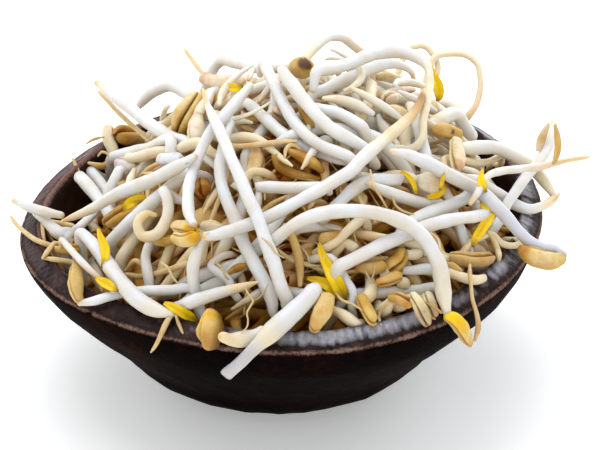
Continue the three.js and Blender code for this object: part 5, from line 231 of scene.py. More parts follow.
f169|-|fill|fill|e|00|0|16|-1814,-2718,5256,150 -1521,-2670,5315,230 -1283,-2572,5213,149 -1043,-2528,5017,149 -750,-2554,4882,149 -498,-2624,4695,149 -294,-2707,4454,149 -74,-2808,4238,149 168,-2900,4046,149 431,-2981,3883,149 695,-3071,3726,149 947,-3166,3553,149 1207,-3231,3378,139 1467,-3299,3204,117 1727,-3369,3031,95 1978,-3433,2843,72 2223,-3507,2651,50
f170|-|fill|fill|e|00|0|21|4613,92,2707,150 4655,151,2794,230 4712,143,2861,230 4785,131,2922,143 4856,119,3002,143 4924,108,3095,143 4974,105,3204,143 5004,102,3316,143 5041,95,3436,143 4970,63,3590,143 4752,-6,3768,143 4490,-78,3940,143 4212,-139,4090,143 3925,-184,4230,143 3626,-227,4344,143 3315,-261,4430,146 3014,-330,4516,128 2753,-478,4635,111 2489,-624,4751,94 2205,-758,4818,76 1916,-885,4873,59 1772,-941,4913,50
f171|-|fill|fill|e|00|0|19|-1831,270,929,150 -1905,-33,999,230 -1900,-348,1002,230 -1897,-669,982,158 -1881,-990,1004,158 -1859,-1309,1049,158 -1839,-1621,1128,158 -1822,-1915,1257,158 -1781,-2198,1406,158 -1741,-2464,1583,158 -1742,-2752,1718,158 -1743,-3064,1802,158 -1721,-3362,1921,158 -1686,-3646,2070,158 -1639,-3889,2258,144 -1633,-4075,2463,125 -1666,-4239,2649,106 -1693,-4391,2838,88 -1716,-4489,2979,69 -1771,-4508,2936,50
f172|-|fill|fill|e|00|0|17|-2813,-2014,1578,150 -2647,-2078,1548,230 -2520,-2209,1528,230 -2380,-2349,1500,149 -2209,-2488,1477,149 -2000,-2632,1440,149 -1723,-2735,1395,149 -1412,-2805,1370,149 -1098,-2865,1337,149 -781,-2899,1296,149 -462,-2926,1274,149 -142,-2945,1265,149 179,-2939,1256,149 499,-2931,1253,134 818,-2948,1268,113 1136,-2974,1299,92 1454,-2991,1338,71 1771,-2986,1379,50
f173|-|fill|fill|e|00|0|19|609,3650,4461,150 591,3339,4529,230 578,3036,4632,230 546,2742,4757,151 523,2447,4880,151 517,2153,5011,151 512,1856,5141,151 539,1543,5212,151 570,1218,5199,151 570,898,5224,151 573,589,5316,151 597,276,5388,151 631,-31,5476,151 656,-316,5626,151 673,-611,5754,144 681,-928,5808,125 686,-1247,5848,106 702,-1566,5879,88 744,-1875,5909,69 870,-2157,5950,50
f174|-|fill|fill|e|00|0|17|-1281,2470,1428,150 -1048,2593,1461,230 -812,2737,1415,155 -560,2897,1400,155 -267,2997,1418,155 45,3065,1416,155 362,3110,1405,155 683,3126,1416,155 1004,3144,1447,155 1321,3142,1497,155 1634,3122,1567,155 1941,3100,1661,155 2241,3087,1775,147 2538,3064,1885,126 2818,3001,1976,104 3054,2903,2064,82 3267,2792,2152,61 3364,2727,2207,50
f175|-|fill|fill|e|00|0|14|1387,811,4754,150 1403,548,4934,230 1418,295,5131,153 1430,34,5316,153 1425,-246,5474,153 1387,-526,5626,153 1306,-768,5820,153 1193,-947,6067,153 1120,-1124,6322,153 1127,-1351,6521,153 1056,-1591,6649,143 905,-1840,6664,116 770,-2114,6599,90 647,-2382,6522,63 574,-2510,6472,50
f176|-|fill|fill|e|00|0|19|5008,562,3308,150 4705,459,3285,230 4404,369,3230,230 4100,319,3144,161 3794,275,3059,161 3496,221,2958,161 3203,174,2839,161 2910,135,2716,161 2627,110,2569,161 2350,96,2410,161 2066,100,2261,161 1787,135,2107,161 1515,189,1945,161 1245,262,1787,161 975,361,1645,137 701,486,1531,118 447,634,1405,98 222,795,1243,79 -22,936,1094,60 -154,1003,1034,50
f177|-|fill|fill|e|00|0|18|-194,3953,2027,150 22,3880,1980,230 270,3917,2006,230 538,3932,1989,160 823,3828,1946,160 1102,3671,1922,160 1370,3494,1928,160 1607,3283,1968,160 1850,3072,2000,160 2076,2845,1976,160 2257,2585,1912,160 2410,2304,1890,160 2554,2016,1885,160 2684,1720,1864,149 2790,1443,1768,129 2757,1192,1524,110 2491,911,1233,90 2049,557,980,70 1575,209,796,50
f178|-|fill|fill|e|00|0|18|-1913,-3926,2427,150 -2090,-3913,2798,230 -2151,-3717,3246,230 -2125,-3427,3670,144 -2041,-3143,3997,144 -1843,-2952,4198,144 -1549,-2842,4297,144 -1280,-2667,4355,144 -1061,-2427,4402,144 -829,-2200,4387,144 -590,-1985,4340,144 -350,-1788,4253,144 -121,-1603,4118,144 92,-1399,3993,149 306,-1171,3924,129 529,-942,3889,110 749,-718,3832,90 965,-497,3749,70 1194,-282,3690,50
f179|-|fill|fill|e|00|0|18|1876,1497,2363,150 2133,1343,2251,230 2390,1173,2163,230 2638,987,2079,139 2868,775,2005,139 3073,533,1950,139 3259,276,1888,139 3421,3,1837,139 3563,-286,1825,139 3715,-567,1863,139 3838,-846,1944,139 3861,-1103,2018,139 3773,-1327,2018,139 3653,-1527,1983,142 3543,-1717,1939,121 3466,-1911,1897,101 3388,-2099,1873,81 3286,-2269,1847,60 3217,-2343,1817,50
f180|-|fill|fill|e|00|0|16|3301,3644,2922,150 3115,3632,2871,230 2954,3677,2743,149 2753,3739,2601,149 2473,3797,2496,149 2167,3855,2419,149 1857,3912,2353,149 1541,3958,2313,149 1220,3975,2287,149 897,3973,2297,149 578,3967,2349,149 259,3976,2390,149 -60,3982,2361,131 -374,3980,2289,108 -680,4005,2199,85 -970,4008,2141,62 -1107,3973,2124,50
f181|-|fill|fill|e|00|0|16|-347,-1585,1070,150 -314,-1988,1070,230 -222,-2193,1068,159 -71,-2093,1025,159 104,-1847,956,159 282,-1580,919,159 469,-1318,920,159 652,-1055,950,159 843,-800,998,159 1026,-546,1078,159 1211,-306,1195,159 1383,-64,1324,159 1502,222,1407,131 1587,530,1462,108 1672,838,1508,85 1772,1139,1552,62 1830,1285,1581,50
f182|-|fill|fill|e|00|0|16|3592,1273,1791,150 3668,981,1894,230 3793,730,2052,141 3870,462,2215,141 3907,153,2311,141 3935,-169,2339,141 3920,-493,2330,141 3869,-813,2354,141 3787,-1124,2392,141 3668,-1415,2456,141 3544,-1695,2558,141 3414,-1966,2672,141 3270,-2213,2816,139 3110,-2437,2983,117 2931,-2645,3149,95 2724,-2836,3301,72 2504,-3025,3437,50
f183|-|fill|fill|e|00|0|18|-2877,-2666,1911,150 -2627,-2858,1969,230 -2393,-3065,2043,230 -2155,-3254,2144,160 -1894,-3397,2269,160 -1620,-3534,2364,160 -1352,-3708,2402,160 -1082,-3882,2439,160 -798,-4022,2497,160 -504,-4130,2573,160 -216,-4223,2685,160 58,-4306,2838,160 325,-4394,2998,160 579,-4546,3111,142 780,-4717,3224,121 905,-4841,3386,101 986,-4940,3565,81 1079,-5002,3726,60 1131,-4998,3807,50
f184|-|fill|fill|e|00|0|14|-2880,2553,3412,150 -2670,2397,3778,230 -2472,2268,4161,148 -2293,2021,4449,148 -2176,1712,4666,148 -2064,1415,4779,148 -1890,1148,4794,148 -1686,899,4842,148 -1486,645,4879,148 -1313,374,4856,148 -1229,62,4858,148 -1165,-256,4902,127 -1079,-564,4946,101 -982,-868,4936,76 -867,-1168,4917,50
f185|-|fill|fill|e|00|0|18|-562,730,3487,150 -249,725,3417,230 68,734,3379,230 385,781,3372,135 701,828,3348,135 1019,852,3313,135 1338,869,3277,135 1657,897,3271,135 1974,936,3304,135 2291,968,3346,135 2610,968,3385,135 2930,946,3426,135 3240,940,3506,135 3538,953,3631,149 3831,987,3765,129 4139,1027,3836,110 4462,1044,3844,90 4780,1066,3883,70 5087,1083,3973,50
f186|-|fill|fill|e|00|0|18|-3072,3303,2882,150 -3028,3235,2746,230 -2887,3203,2609,230 -2639,3146,2460,155 -2363,3032,2346,155 -2074,2923,2253,155 -1774,2858,2149,155 -1466,2797,2064,155 -1153,2711,2060,155 -849,2599,2102,155 -576,2426,2107,155 -327,2216,2112,155 -71,2022,2095,155 190,1841,2047,142 416,1617,2004,121 623,1377,1950,101 813,1141,1843,81 1006,910,1732,60 1106,794,1682,50
f187|-|fill|fill|e|00|0|18|-1024,-1341,5346,150 -1000,-1032,5280,230 -935,-720,5293,230 -843,-410,5321,154 -726,-107,5346,154 -556,166,5352,154 -338,409,5334,154 -116,645,5303,154 80,875,5193,154 244,1120,5054,154 426,1365,4948,154 644,1600,4930,154 840,1857,4938,154 1023,2111,4861,142 1207,2353,4754,121 1399,2583,4637,101 1601,2797,4512,81 1804,3019,4402,60 1904,3135,4351,50
f188|-|fill|fill|e|00|0|15|2787,-2314,1642,150 2476,-2239,1653,230 2179,-2164,1578,157 1895,-2076,1452,157 1602,-1967,1367,157 1307,-1840,1319,157 1011,-1710,1316,157 721,-1590,1399,157 441,-1471,1519,157 191,-1336,1675,157 -29,-1148,1812,157 -237,-924,1912,136 -414,-685,2031,112 -571,-451,2182,87 -732,-241,2362,62 -815,-143,2457,50
f189|-|fill|fill|e|00|0|19|1380,-3523,4289,150 1400,-3227,4176,230 1474,-2920,4179,230 1584,-2617,4198,151 1675,-2309,4175,151 1736,-1998,4126,151 1774,-1681,4083,151 1788,-1361,4056,151 1775,-1040,4030,151 1760,-729,3953,151 1761,-432,3827,151 1744,-132,3714,151 1703,176,3634,151 1653,489,3581,151 1591,801,3545,137 1513,1107,3487,118 1417,1406,3422,98 1302,1704,3402,79 1195,2005,3403,60 1149,2158,3391,50
f190|-|fill|fill|e|00|0|15|-1278,-1173,1622,150 -1155,-878,1614,230 -1018,-591,1591,152 -855,-324,1517,152 -673,-67,1448,152 -480,188,1416,152 -286,444,1433,152 -107,706,1483,152 87,956,1545,152 304,1186,1619,152 531,1409,1668,152 756,1637,1629,145 972,1868,1563,121 1194,2090,1492,98 1431,2292,1418,74 1674,2490,1350,50
f191|-|fill|fill|e|00|0|14|-4108,70,2516,150 -3994,-217,2604,230 -3851,-498,2655,144 -3713,-782,2696,144 -3621,-1088,2722,144 -3522,-1392,2750,144 -3416,-1692,2776,144 -3303,-1991,2783,144 -3167,-2282,2812,144 -3009,-2562,2846,144 -2831,-2820,2918,144 -2690,-3086,3027,127 -2607,-3388,3111,101 -2515,-3650,3265,76 -2391,-3828,3503,50
f192|-|fill|fill|e|00|0|20|3693,2723,2783,150 3622,2816,2704,230 3560,2917,2685,230 3493,3018,2676,138 3422,3120,2670,138 3338,3212,2655,138 3178,3249,2622,138 2902,3245,2578,138 2587,3209,2550,138 2274,3140,2541,138 1963,3055,2547,138 1660,2948,2571,138 1364,2825,2613,138 1076,2690,2673,138 815,2510,2725,138 579,2292,2749,139 346,2077,2802,121 121,1860,2875,104 -104,1645,2947,86 -333,1425,2984,68 -570,1210,2984,50
f193|-|fill|fill|e|00|0|15|1930,-1362,2926,150 1613,-1304,2932,230 1333,-1160,2958,159 1099,-939,2959,159 863,-721,2964,159 601,-536,2983,159 321,-377,2982,159 29,-242,2973,159 -276,-141,2977,159 -588,-59,2987,159 -905,-9,2975,159 -1223,12,2931,136 -1543,11,2918,112 -1861,-23,2937,87 -2177,-73,2958,62 -2336,-93,2970,50
f194|-|fill|fill|e|00|0|21|-2140,559,1791,150 -2011,846,1847,230 -1896,1137,1913,230 -1791,1435,1966,144 -1704,1742,2003,144 -1627,2046,2069,144 -1529,2333,2183,144 -1408,2615,2292,144 -1277,2907,2308,144 -1138,3200,2257,144 -1015,3499,2263,144 -894,3788,2338,144 -759,4060,2433,144 -621,4278,2518,144 -513,4386,2528,144 -416,4422,2499,146 -317,4438,2483,128 -227,4451,2477,111 -147,4461,2479,94 -79,4486,2479,76 -10,4507,2452,59 33,4503,2409,50
f195|-|fill|fill|e|00|0|15|-334,981,4890,150 -162,1247,4901,230 -60,1543,4845,138 -18,1849,4743,138 45,2156,4697,138 135,2462,4756,138 204,2774,4819,138 250,3093,4827,138 288,3410,4778,138 329,3724,4714,138 351,4031,4580,138 339,4335,4320,136 301,4625,3982,112 242,4868,3604,87 142,5002,3313,62 55,5032,3241,50
f196|-|fill|fill|e|00|0|16|1493,-39,3235,150 1279,-279,3245,230 1098,-541,3266,145 946,-823,3257,145 787,-1098,3219,145 622,-1372,3216,145 464,-1651,3231,145 319,-1936,3246,145 197,-2232,3264,145 95,-2535,3277,145 4,-2842,3311,145 -76,-3149,3353,145 -172,-3454,3342,139 -297,-3751,3326,117 -448,-4034,3334,95 -620,-4302,3366,72 -746,-4588,3342,50
f197|-|fill|fill|e|00|0|15|1472,-845,2971,150 1765,-816,2848,230 2064,-768,2747,152 2347,-667,2637,152 2614,-547,2505,152 2878,-431,2364,152 3159,-337,2244,152 3458,-270,2147,152 3741,-220,2066,152 3873,-156,1986,152 3846,-82,1903,152 3794,-17,1835,145 3754,46,1786,121 3732,102,1751,98 3723,144,1727,74 3650,174,1701,50
f198|-|fill|fill|e|00|0|16|-4223,-1864,2709,150 -4127,-1874,2691,230 -3964,-1753,2586,136 -3735,-1575,2465,136 -3492,-1396,2355,136 -3236,-1223,2270,136 -2969,-1050,2227,136 -2708,-874,2168,136 -2449,-706,2078,136 -2185,-547,1986,136 -1919,-388,1905,136 -1654,-210,1876,136 -1386,-32,1863,131 -1113,137,1859,108 -840,305,1863,85 -574,481,1893,62 -445,571,1924,50
f199|-|fill|fill|e|00|0|19|-4277,1125,2529,150 -4338,727,2645,230 -4304,295,2810,230 -4194,-128,3002,156 -4029,-483,3234,156 -3828,-752,3484,156 -3596,-949,3696,156 -3335,-1114,3808,156 -3066,-1296,3808,156 -2812,-1492,3821,156 -2593,-1724,3847,156 -2389,-1970,3882,156 -2194,-2222,3922,156 -2000,-2478,3955,156 -1781,-2714,3979,144 -1561,-2939,4046,125 -1367,-3151,4200,106 -1199,-3368,4378,88 -1093,-3651,4490,69 -953,-3965,4496,50
f200|-|fill|fill|e|00|0|18|2544,-410,1278,150 2386,-136,1230,230 2241,144,1183,230 2093,425,1186,142 1950,711,1177,142 1797,989,1114,142 1612,1252,1074,142 1388,1487,1063,142 1134,1692,1057,142 847,1848,1064,142 542,1953,1094,142 239,1980,1125,142 -4,1815,1045,142 -158,1633,976,142 -284,1523,972,121 -387,1422,944,101 -470,1322,887,81 -543,1213,847,60 -581,1142,853,50
f201|-|fill|fill|e|00|0|18|3622,1780,4326,150 3488,1494,4379,230 3347,1211,4427,230 3217,921,4474,144 3097,626,4513,144 2970,332,4539,144 2809,55,4546,144 2618,-204,4549,144 2425,-463,4548,144 2263,-738,4566,144 2117,-1018,4625,144 1967,-1296,4683,144 1817,-1576,4725,144 1663,-1856,4737,149 1490,-2125,4754,129 1300,-2381,4789,110 1108,-2634,4832,90 930,-2896,4880,70 766,-3170,4901,50
f202|-|fill|fill|e|00|0|17|-2135,4171,2927,150 -2309,3922,3249,230 -2364,3580,3589,230 -2312,3231,3870,135 -2235,2907,4012,135 -2216,2599,3970,135 -2187,2302,3846,135 -2114,2006,3732,135 -1988,1730,3620,135 -1814,1465,3561,135 -1628,1201,3522,135 -1426,953,3471,135 -1196,730,3444,135 -945,530,3427,134 -685,350,3373,113 -430,175,3289,92 -178,-12,3227,71 77,-204,3209,50
f203|-|fill|fill|e|00|0|20|-527,-4480,3137,150 -452,-4533,3116,230 -405,-4553,3164,230 -354,-4573,3226,153 -258,-4584,3298,153 -123,-4455,3297,153 34,-4211,3226,153 251,-3978,3190,153 467,-3739,3207,153 658,-3479,3233,153 818,-3200,3245,153 960,-2914,3286,153 1078,-2624,3362,153 1165,-2329,3455,153 1255,-2042,3570,153 1371,-1764,3685,139 1502,-1485,3780,121 1657,-1205,3791,104 1843,-941,3790,86 2015,-679,3860,68 2154,-410,3968,50
f204|-|fill|fill|e|00|0|20|-1508,2269,4585,150 -1344,2004,4657,230 -1197,1720,4664,230 -1072,1422,4641,139 -907,1148,4602,139 -703,904,4543,139 -490,670,4476,139 -268,450,4395,139 -28,267,4283,139 236,116,4177,139 502,-51,4111,139 756,-235,4042,139 994,-434,3956,139 1212,-636,3833,139 1416,-835,3683,139 1615,-1028,3517,132 1783,-1240,3346,114 1936,-1483,3202,96 2122,-1712,3078,77 2323,-1919,2939,59 2425,-2020,2869,50
f205|-|fill|fill|e|00|0|17|-1823,1169,1054,150 -1890,1424,1254,230 -1686,1429,1379,135 -1393,1310,1422,135 -1112,1150,1450,135 -850,973,1511,135 -613,772,1596,135 -387,568,1706,135 -170,364,1832,135 17,147,1981,135 172,-81,2150,135 301,-333,2304,135 414,-596,2450,147 546,-865,2563,126 683,-1143,2646,104 808,-1427,2729,82 913,-1714,2822,61 958,-1859,2874,50
f206|-|fill|fill|e|00|0|20|1708,-3731,3871,150 1391,-3725,3934,230 1099,-3687,4053,230 841,-3582,4222,152 570,-3479,4374,152 279,-3473,4515,152 -17,-3546,4635,152 -327,-3617,4707,152 -649,-3665,4734,152 -969,-3741,4733,152 -1282,-3829,4676,152 -1590,-3823,4554,152 -1861,-3756,4353,152 -2098,-3660,4117,152 -2338,-3510,3917,152 -2573,-3319,3747,132 -2836,-3120,3648,114 -3102,-2907,3588,96 -3343,-2679,3483,77 -3608,-2491,3360,59 -3743,-2401,3306,50
f207|-|fill|fill|e|00|0|19|4630,-1181,2852,150 4467,-1258,2822,230 4189,-1249,2744,230 3874,-1232,2699,135 3559,-1213,2654,135 3246,-1201,2584,135 2930,-1174,2539,135 2612,-1128,2510,135 2304,-1058,2461,135 2010,-976,2359,135 1720,-890,2252,135 1431,-786,2160,135 1145,-664,2079,135 866,-523,2008,135 582,-378,1977,144 297,-242,1929,125 28,-107,1819,106 -235,45,1715,88 -492,213,1627,69 -735,376,1501,50
f208|-|fill|fill|e|00|0|15|223,2223,3468,150 104,2519,3444,230 -18,2815,3430,161 -181,3091,3431,161 -363,3354,3467,161 -571,3597,3497,161 -801,3823,3496,161 -1028,4051,3476,161 -1246,4279,3427,161 -1416,4474,3352,161 -1465,4565,3277,161 -1430,4581,3180,145 -1368,4585,3072,121 -1293,4591,2951,98 -1203,4580,2823,74 -1137,4519,2666,50
f209|-|fill|fill|e|00|0|20|4102,2213,4717,150 3743,2061,4780,230 3391,1902,4839,230 3087,1723,4832,158 2866,1492,4810,158 2711,1218,4875,158 2538,956,4936,158 2317,724,4937,158 2092,497,4952,158 1865,272,4993,158 1630,52,5002,158 1373,-140,5019,158 1097,-303,5033,158 814,-454,5008,158 526,-598,4990,158 240,-741,4970,139 -53,-852,4895,121 -350,-941,4805,104 -638,-1028,4694,86 -897,-1147,4548,68 -1159,-1274,4413,50
f210|-|fill|fill|e|00|0|15|-1588,673,3541,150 -1463,430,3710,230 -1355,184,3888,154 -1270,-89,4030,154 -1209,-392,4122,154 -1183,-675,4274,154 -1175,-937,4465,154 -1149,-1182,4671,154 -1081,-1397,4904,154 -1007,-1621,5127,154 -1024,-1816,5373,154 -1120,-1957,5628,136 -1231,-2170,5741,112 -1367,-2444,5710,87 -1497,-2733,5642,62 -1555,-2879,5590,50
f211|-|fill|fill|e|00|0|20|-2491,-2555,4891,150 -2355,-2231,4904,230 -2212,-1939,5008,230 -2086,-1692,5223,141 -1984,-1446,5445,141 -2006,-1140,5590,141 -2026,-811,5656,141 -1888,-525,5589,141 -1705,-295,5419,141 -1558,-82,5200,141 -1551,141,4956,141 -1618,399,4751,141 -1633,680,4592,141 -1617,990,4495,141 -1607,1301,4400,141 -1600,1616,4327,132 -1618,1936,4298,114 -1682,2250,4266,96 -1778,2552,4208,77 -1875,2851,4146,59 -1917,3002,4113,50
f212|-|fill|fill|e|00|0|20|196,-3298,4848,150 384,-3112,4670,230 586,-2993,4453,230 807,-2872,4254,146 1021,-2691,4099,146 1241,-2494,3974,146 1482,-2316,3858,146 1688,-2111,3722,146 1857,-1880,3571,146 2005,-1624,3442,146 2118,-1342,3337,146 2191,-1055,3204,146 2235,-763,3073,146 2237,-470,2942,146 2213,-181,2804,146 2167,108,2673,132 2092,387,2537,114 2002,663,2403,96 1911,938,2269,77 1840,1201,2105,59 1819,1332,2016,50
f213|-|fill|fill|e|00|0|17|4158,2075,2844,150 4216,2052,2920,230 4282,2012,2927,230 4347,1946,2926,152 4412,1853,2924,152 4440,1724,2919,152 4340,1533,2902,152 4185,1262,2890,152 4013,991,2831,152 3804,796,2662,152 3624,617,2452,152 3473,386,2293,152 3316,138,2163,152 3179,-94,1993,134 3090,-343,1811,113 3015,-596,1630,92 2963,-848,1438,71 2918,-1097,1244,50
f214|-|fill|fill|e|00|0|16|3948,-1979,2518,150 3922,-2127,2602,230 3884,-2291,2626,152 3827,-2468,2647,152 3751,-2657,2670,152 3654,-2856,2695,152 3497,-3043,2710,152 3239,-3188,2716,152 2947,-3312,2741,152 2651,-3428,2783,152 2362,-3551,2849,152 2068,-3663,2915,152 1765,-3747,2978,131 1460,-3807,3056,108 1155,-3860,3141,85 852,-3934,3209,62 702,-3981,3239,50
f215|-|fill|fill|e|00|0|15|2951,-2054,5523,150 2650,-2180,5659,230 2364,-2225,5850,139 2087,-2227,6059,139 1745,-2237,6150,139 1455,-2382,6152,139 1211,-2600,6116,139 919,-2712,6025,139 630,-2775,5879,139 369,-2845,5694,139 146,-2902,5471,139 -75,-2966,5246,145 -299,-3039,5028,121 -506,-3143,4808,98 -708,-3289,4608,74 -926,-3435,4424,50
f216|-|fill|fill|e|00|0|15|4521,-418,2639,150 4427,-394,2579,230 4401,-306,2523,149 4390,-201,2451,149 4355,-91,2371,149 4288,26,2269,149 4148,164,2109,149 3939,317,1930,149 3700,430,1740,149 3447,504,1550,149 3167,550,1394,149 2870,575,1265,145 2565,582,1155,121 2270,636,1053,98 1999,773,946,74 1718,904,857,50
f217|-|fill|fill|e|00|0|21|-1941,4015,3129,150 -1628,4054,3089,230 -1323,4141,3035,230 -1007,4196,2985,139 -686,4174,2959,139 -370,4093,2968,139 -55,4047,2935,139 253,4031,2833,139 557,4000,2728,139 850,3922,2625,139 1139,3806,2540,139 1422,3693,2436,139 1715,3604,2341,139 2020,3527,2275,139 2332,3476,2227,139 2636,3422,2235,146 2886,3305,2258,128 3085,3139,2278,111 3244,2961,2314,94 3398,2807,2336,76 3534,2656,2364,59 3588,2575,2408,50
f218|-|fill|fill|e|00|0|20|3874,-3449,3697,150 3852,-3387,3636,230 3773,-3369,3679,230 3493,-3330,3825,158 3213,-3190,4002,158 3053,-2943,4147,158 2879,-2697,4255,158 2649,-2484,4321,158 2427,-2256,4378,158 2206,-2027,4419,158 1984,-1795,4430,158 1751,-1574,4427,158 1499,-1378,4457,158 1242,-1194,4512,158 982,-1016,4577,158 712,-856,4647,139 434,-708,4713,121 167,-568,4820,104 -77,-431,4980,86 -304,-249,5114,68 -510,-27,5216,50
f219|-|fill|fill|e|00|0|19|-1394,1081,994,150 -1374,1324,1034,230 -1483,1760,1091,230 -1559,2164,1166,149 -1596,2527,1288,149 -1563,2838,1428,149 -1386,2980,1537,149 -1105,2960,1633,149 -802,2894,1711,149 -488,2829,1758,149 -182,2746,1820,149 109,2620,1892,149 377,2455,1974,149 614,2265,2088,149 835,2089,2247,144 1052,1934,2431,125 1246,1782,2638,106 1420,1633,2863,88 1585,1486,3096,69 1744,1337,3331,50
f220|-|fill|fill|e|00|0|14|2171,46,3596,150 2314,-215,3719,230 2417,-479,3866,154 2501,-736,4041,154 2617,-973,4227,154 2746,-1205,4410,154 2880,-1471,4533,154 2996,-1767,4593,154 3120,-2049,4686,154 3271,-2316,4783,154 3440,-2575,4790,154 3597,-2813,4588,127 3723,-2998,4243,101 3938,-3142,3941,76 4096,-3173,3681,50
f221|-|fill|fill|e|00|0|16|-3653,458,4108,150 -3442,245,3992,230 -3242,17,3888,133 -3048,-234,3826,133 -2834,-477,3811,133 -2609,-707,3826,133 -2371,-923,3865,133 -2127,-1130,3913,133 -1878,-1319,3991,133 -1627,-1488,4102,133 -1385,-1650,4238,133 -1157,-1813,4396,133 -928,-1973,4556,131 -692,-2158,4665,108 -447,-2356,4733,85 -201,-2547,4810,62 -78,-2641,4853,50
f222|-|fill|fill|e|00|0|17|-2850,-3074,3309,150 -2869,-2727,3484,230 -2928,-2412,3667,230 -3004,-2123,3819,135 -3051,-1827,3939,135 -3061,-1521,4041,135 -3070,-1204,4104,135 -3089,-880,4122,135 -3082,-556,4130,135 -3036,-236,4114,135 -2972,78,4061,135 -2991,387,3970,135 -3060,686,3858,135 -3073,993,3788,134 -3032,1307,3827,113 -2963,1617,3899,92 -2882,1921,3993,71 -2845,2226,4111,50
f223|-|fill|fill|e|00|0|17|1996,595,3386,150 2303,588,3294,230 2616,611,3230,230 2932,655,3196,149 3252,679,3220,149 3571,689,3268,149 3892,702,3311,149 4206,714,3391,149 4499,711,3532,149 4766,618,3677,149 4975,468,3769,149 5112,419,3773,149 5160,444,3767,149 5180,496,3771,134 5190,595,3787,113 5181,672,3801,92 5152,697,3809,71 5104,652,3869,50
f224|-|fill|fill|e|00|0|14|1525,-600,3286,150 1802,-719,3391,230 2056,-884,3491,144 2305,-1060,3592,144 2566,-1228,3673,144 2838,-1383,3746,144 3121,-1523,3796,144 3398,-1684,3826,144 3659,-1869,3850,144 3905,-2074,3863,144 4141,-2265,3796,143 4370,-2375,3581,116 4508,-2392,3425,90 4509,-2404,3387,63 4475,-2430,3360,50
f225|-|fill|fill|e|00|0|15|-4175,-42,3380,150 -3883,-63,3232,230 -3618,-142,3052,135 -3326,-197,2901,135 -3010,-181,2831,135 -2703,-66,2833,135 -2405,71,2856,135 -2097,177,2866,135 -1802,290,2803,135 -1522,407,2692,135 -1236,488,2574,135 -951,560,2444,136 -674,615,2289,112 -402,627,2118,87 -132,605,1947,62 5,587,1864,50
f226|-|fill|fill|e|00|0|21|-3564,-2510,2439,150 -3632,-2335,2412,230 -3647,-2164,2350,230 -3672,-1997,2263,157 -3705,-1823,2173,157 -3734,-1640,2093,157 -3781,-1445,2034,157 -3834,-1213,1988,157 -3842,-920,1966,157 -3797,-608,1943,157 -3723,-296,1931,157 -3639,16,1920,157 -3540,323,1936,157 -3415,618,1999,157 -3259,896,2075,157 -3068,1155,2090,146 -2859,1398,2028,128 -2644,1632,1955,111 -2406,1843,1916,94 -2155,2045,1915,76 -1909,2250,1924,59 -1787,2354,1936,50
f227|-|fill|fill|e|00|0|18|-827,4878,3895,150 -849,4906,3973,230 -790,4947,3977,230 -689,5003,3973,146 -585,5058,3978,146 -516,5082,3976,146 -432,5015,3968,146 -300,4743,4071,146 -155,4414,4282,146 -121,4104,4370,146 -143,3795,4302,146 -101,3496,4186,146 9,3219,4063,146 173,2954,3981,149 343,2676,3949,129 525,2410,3906,110 721,2180,3802,90 895,1957,3649,70 1041,1713,3502,50
f228|-|fill|fill|e|00|0|17|836,-424,5356,150 632,-670,5375,230 411,-900,5370,230 204,-1142,5343,160 20,-1403,5321,160 -151,-1676,5312,160 -298,-1965,5317,160 -456,-2243,5305,160 -691,-2461,5277,160 -926,-2677,5246,160 -1155,-2879,5159,160 -1430,-3048,5020,160 -1735,-3248,4868,160 -2020,-3421,4612,134 -2296,-3580,4295,113 -2600,-3713,3957,92 -2910,-3772,3565,71 -3214,-3762,3168,50
f229|-|fill|fill|e|00|0|15|-924,501,3056,150 -784,783,3111,230 -647,1065,3175,137 -533,1357,3236,137 -437,1647,3329,137 -362,1931,3458,137 -311,2226,3574,137 -259,2530,3661,137 -187,2837,3717,137 -90,3143,3733,137 0,3452,3721,137 67,3765,3731,136 111,4076,3793,112 120,4385,3878,87 116,4663,4018,62 122,4782,4123,50
f230|-|fill|fill|e|00|0|19|-1150,2306,2462,150 -1373,2075,2449,230 -1604,1859,2406,230 -1843,1654,2339,138 -2087,1447,2327,138 -2334,1242,2353,138 -2577,1041,2311,138 -2818,840,2239,138 -3059,629,2211,138 -3298,414,2225,138 -3541,203,2236,138 -3771,-24,2227,138 -4008,-241,2239,138 -4253,-416,2332,138 -4410,-577,2451,144 -4449,-698,2503,125 -4445,-801,2508,106 -4439,-891,2508,88 -4440,-968,2508,69 -4388,-1060,2516,50
f231|-|fill|fill|e|00|0|15|1141,2161,1952,150 984,2433,2015,230 787,2668,2104,158 599,2901,2218,158 442,3153,2342,158 256,3394,2443,158 59,3629,2540,158 -99,3893,2634,158 -205,4180,2729,158 -305,4417,2889,158 -404,4565,2981,158 -496,4634,3006,145 -595,4685,3004,121 -693,4733,3005,98 -787,4780,3036,74 -849,4831,3140,50
f232|-|fill|fill|e|00|0|17|-2670,2511,4382,150 -2329,2597,4567,230 -1988,2665,4752,230 -1654,2687,4859,151 -1350,2601,4896,151 -1076,2440,4949,151 -789,2298,4973,151 -485,2189,4974,151 -173,2104,4970,151 132,2021,4918,151 419,1929,4789,151 714,1835,4685,151 1017,1729,4679,151 1322,1625,4714,134 1625,1521,4757,113 1922,1409,4807,92 2216,1304,4881,71 2500,1230,5009,50
f233|-|fill|fill|e|00|0|17|3277,-1886,4107,150 2989,-1753,4152,230 2705,-1622,4220,230 2432,-1464,4277,160 2166,-1286,4309,160 1909,-1097,4351,160 1653,-906,4358,160 1397,-712,4342,160 1154,-503,4346,160 931,-274,4370,160 712,-40,4399,160 489,190,4410,160 259,412,4386,160 6,608,4352,134 -260,789,4326,113 -511,986,4350,92 -728,1212,4427,71 -928,1457,4481,50
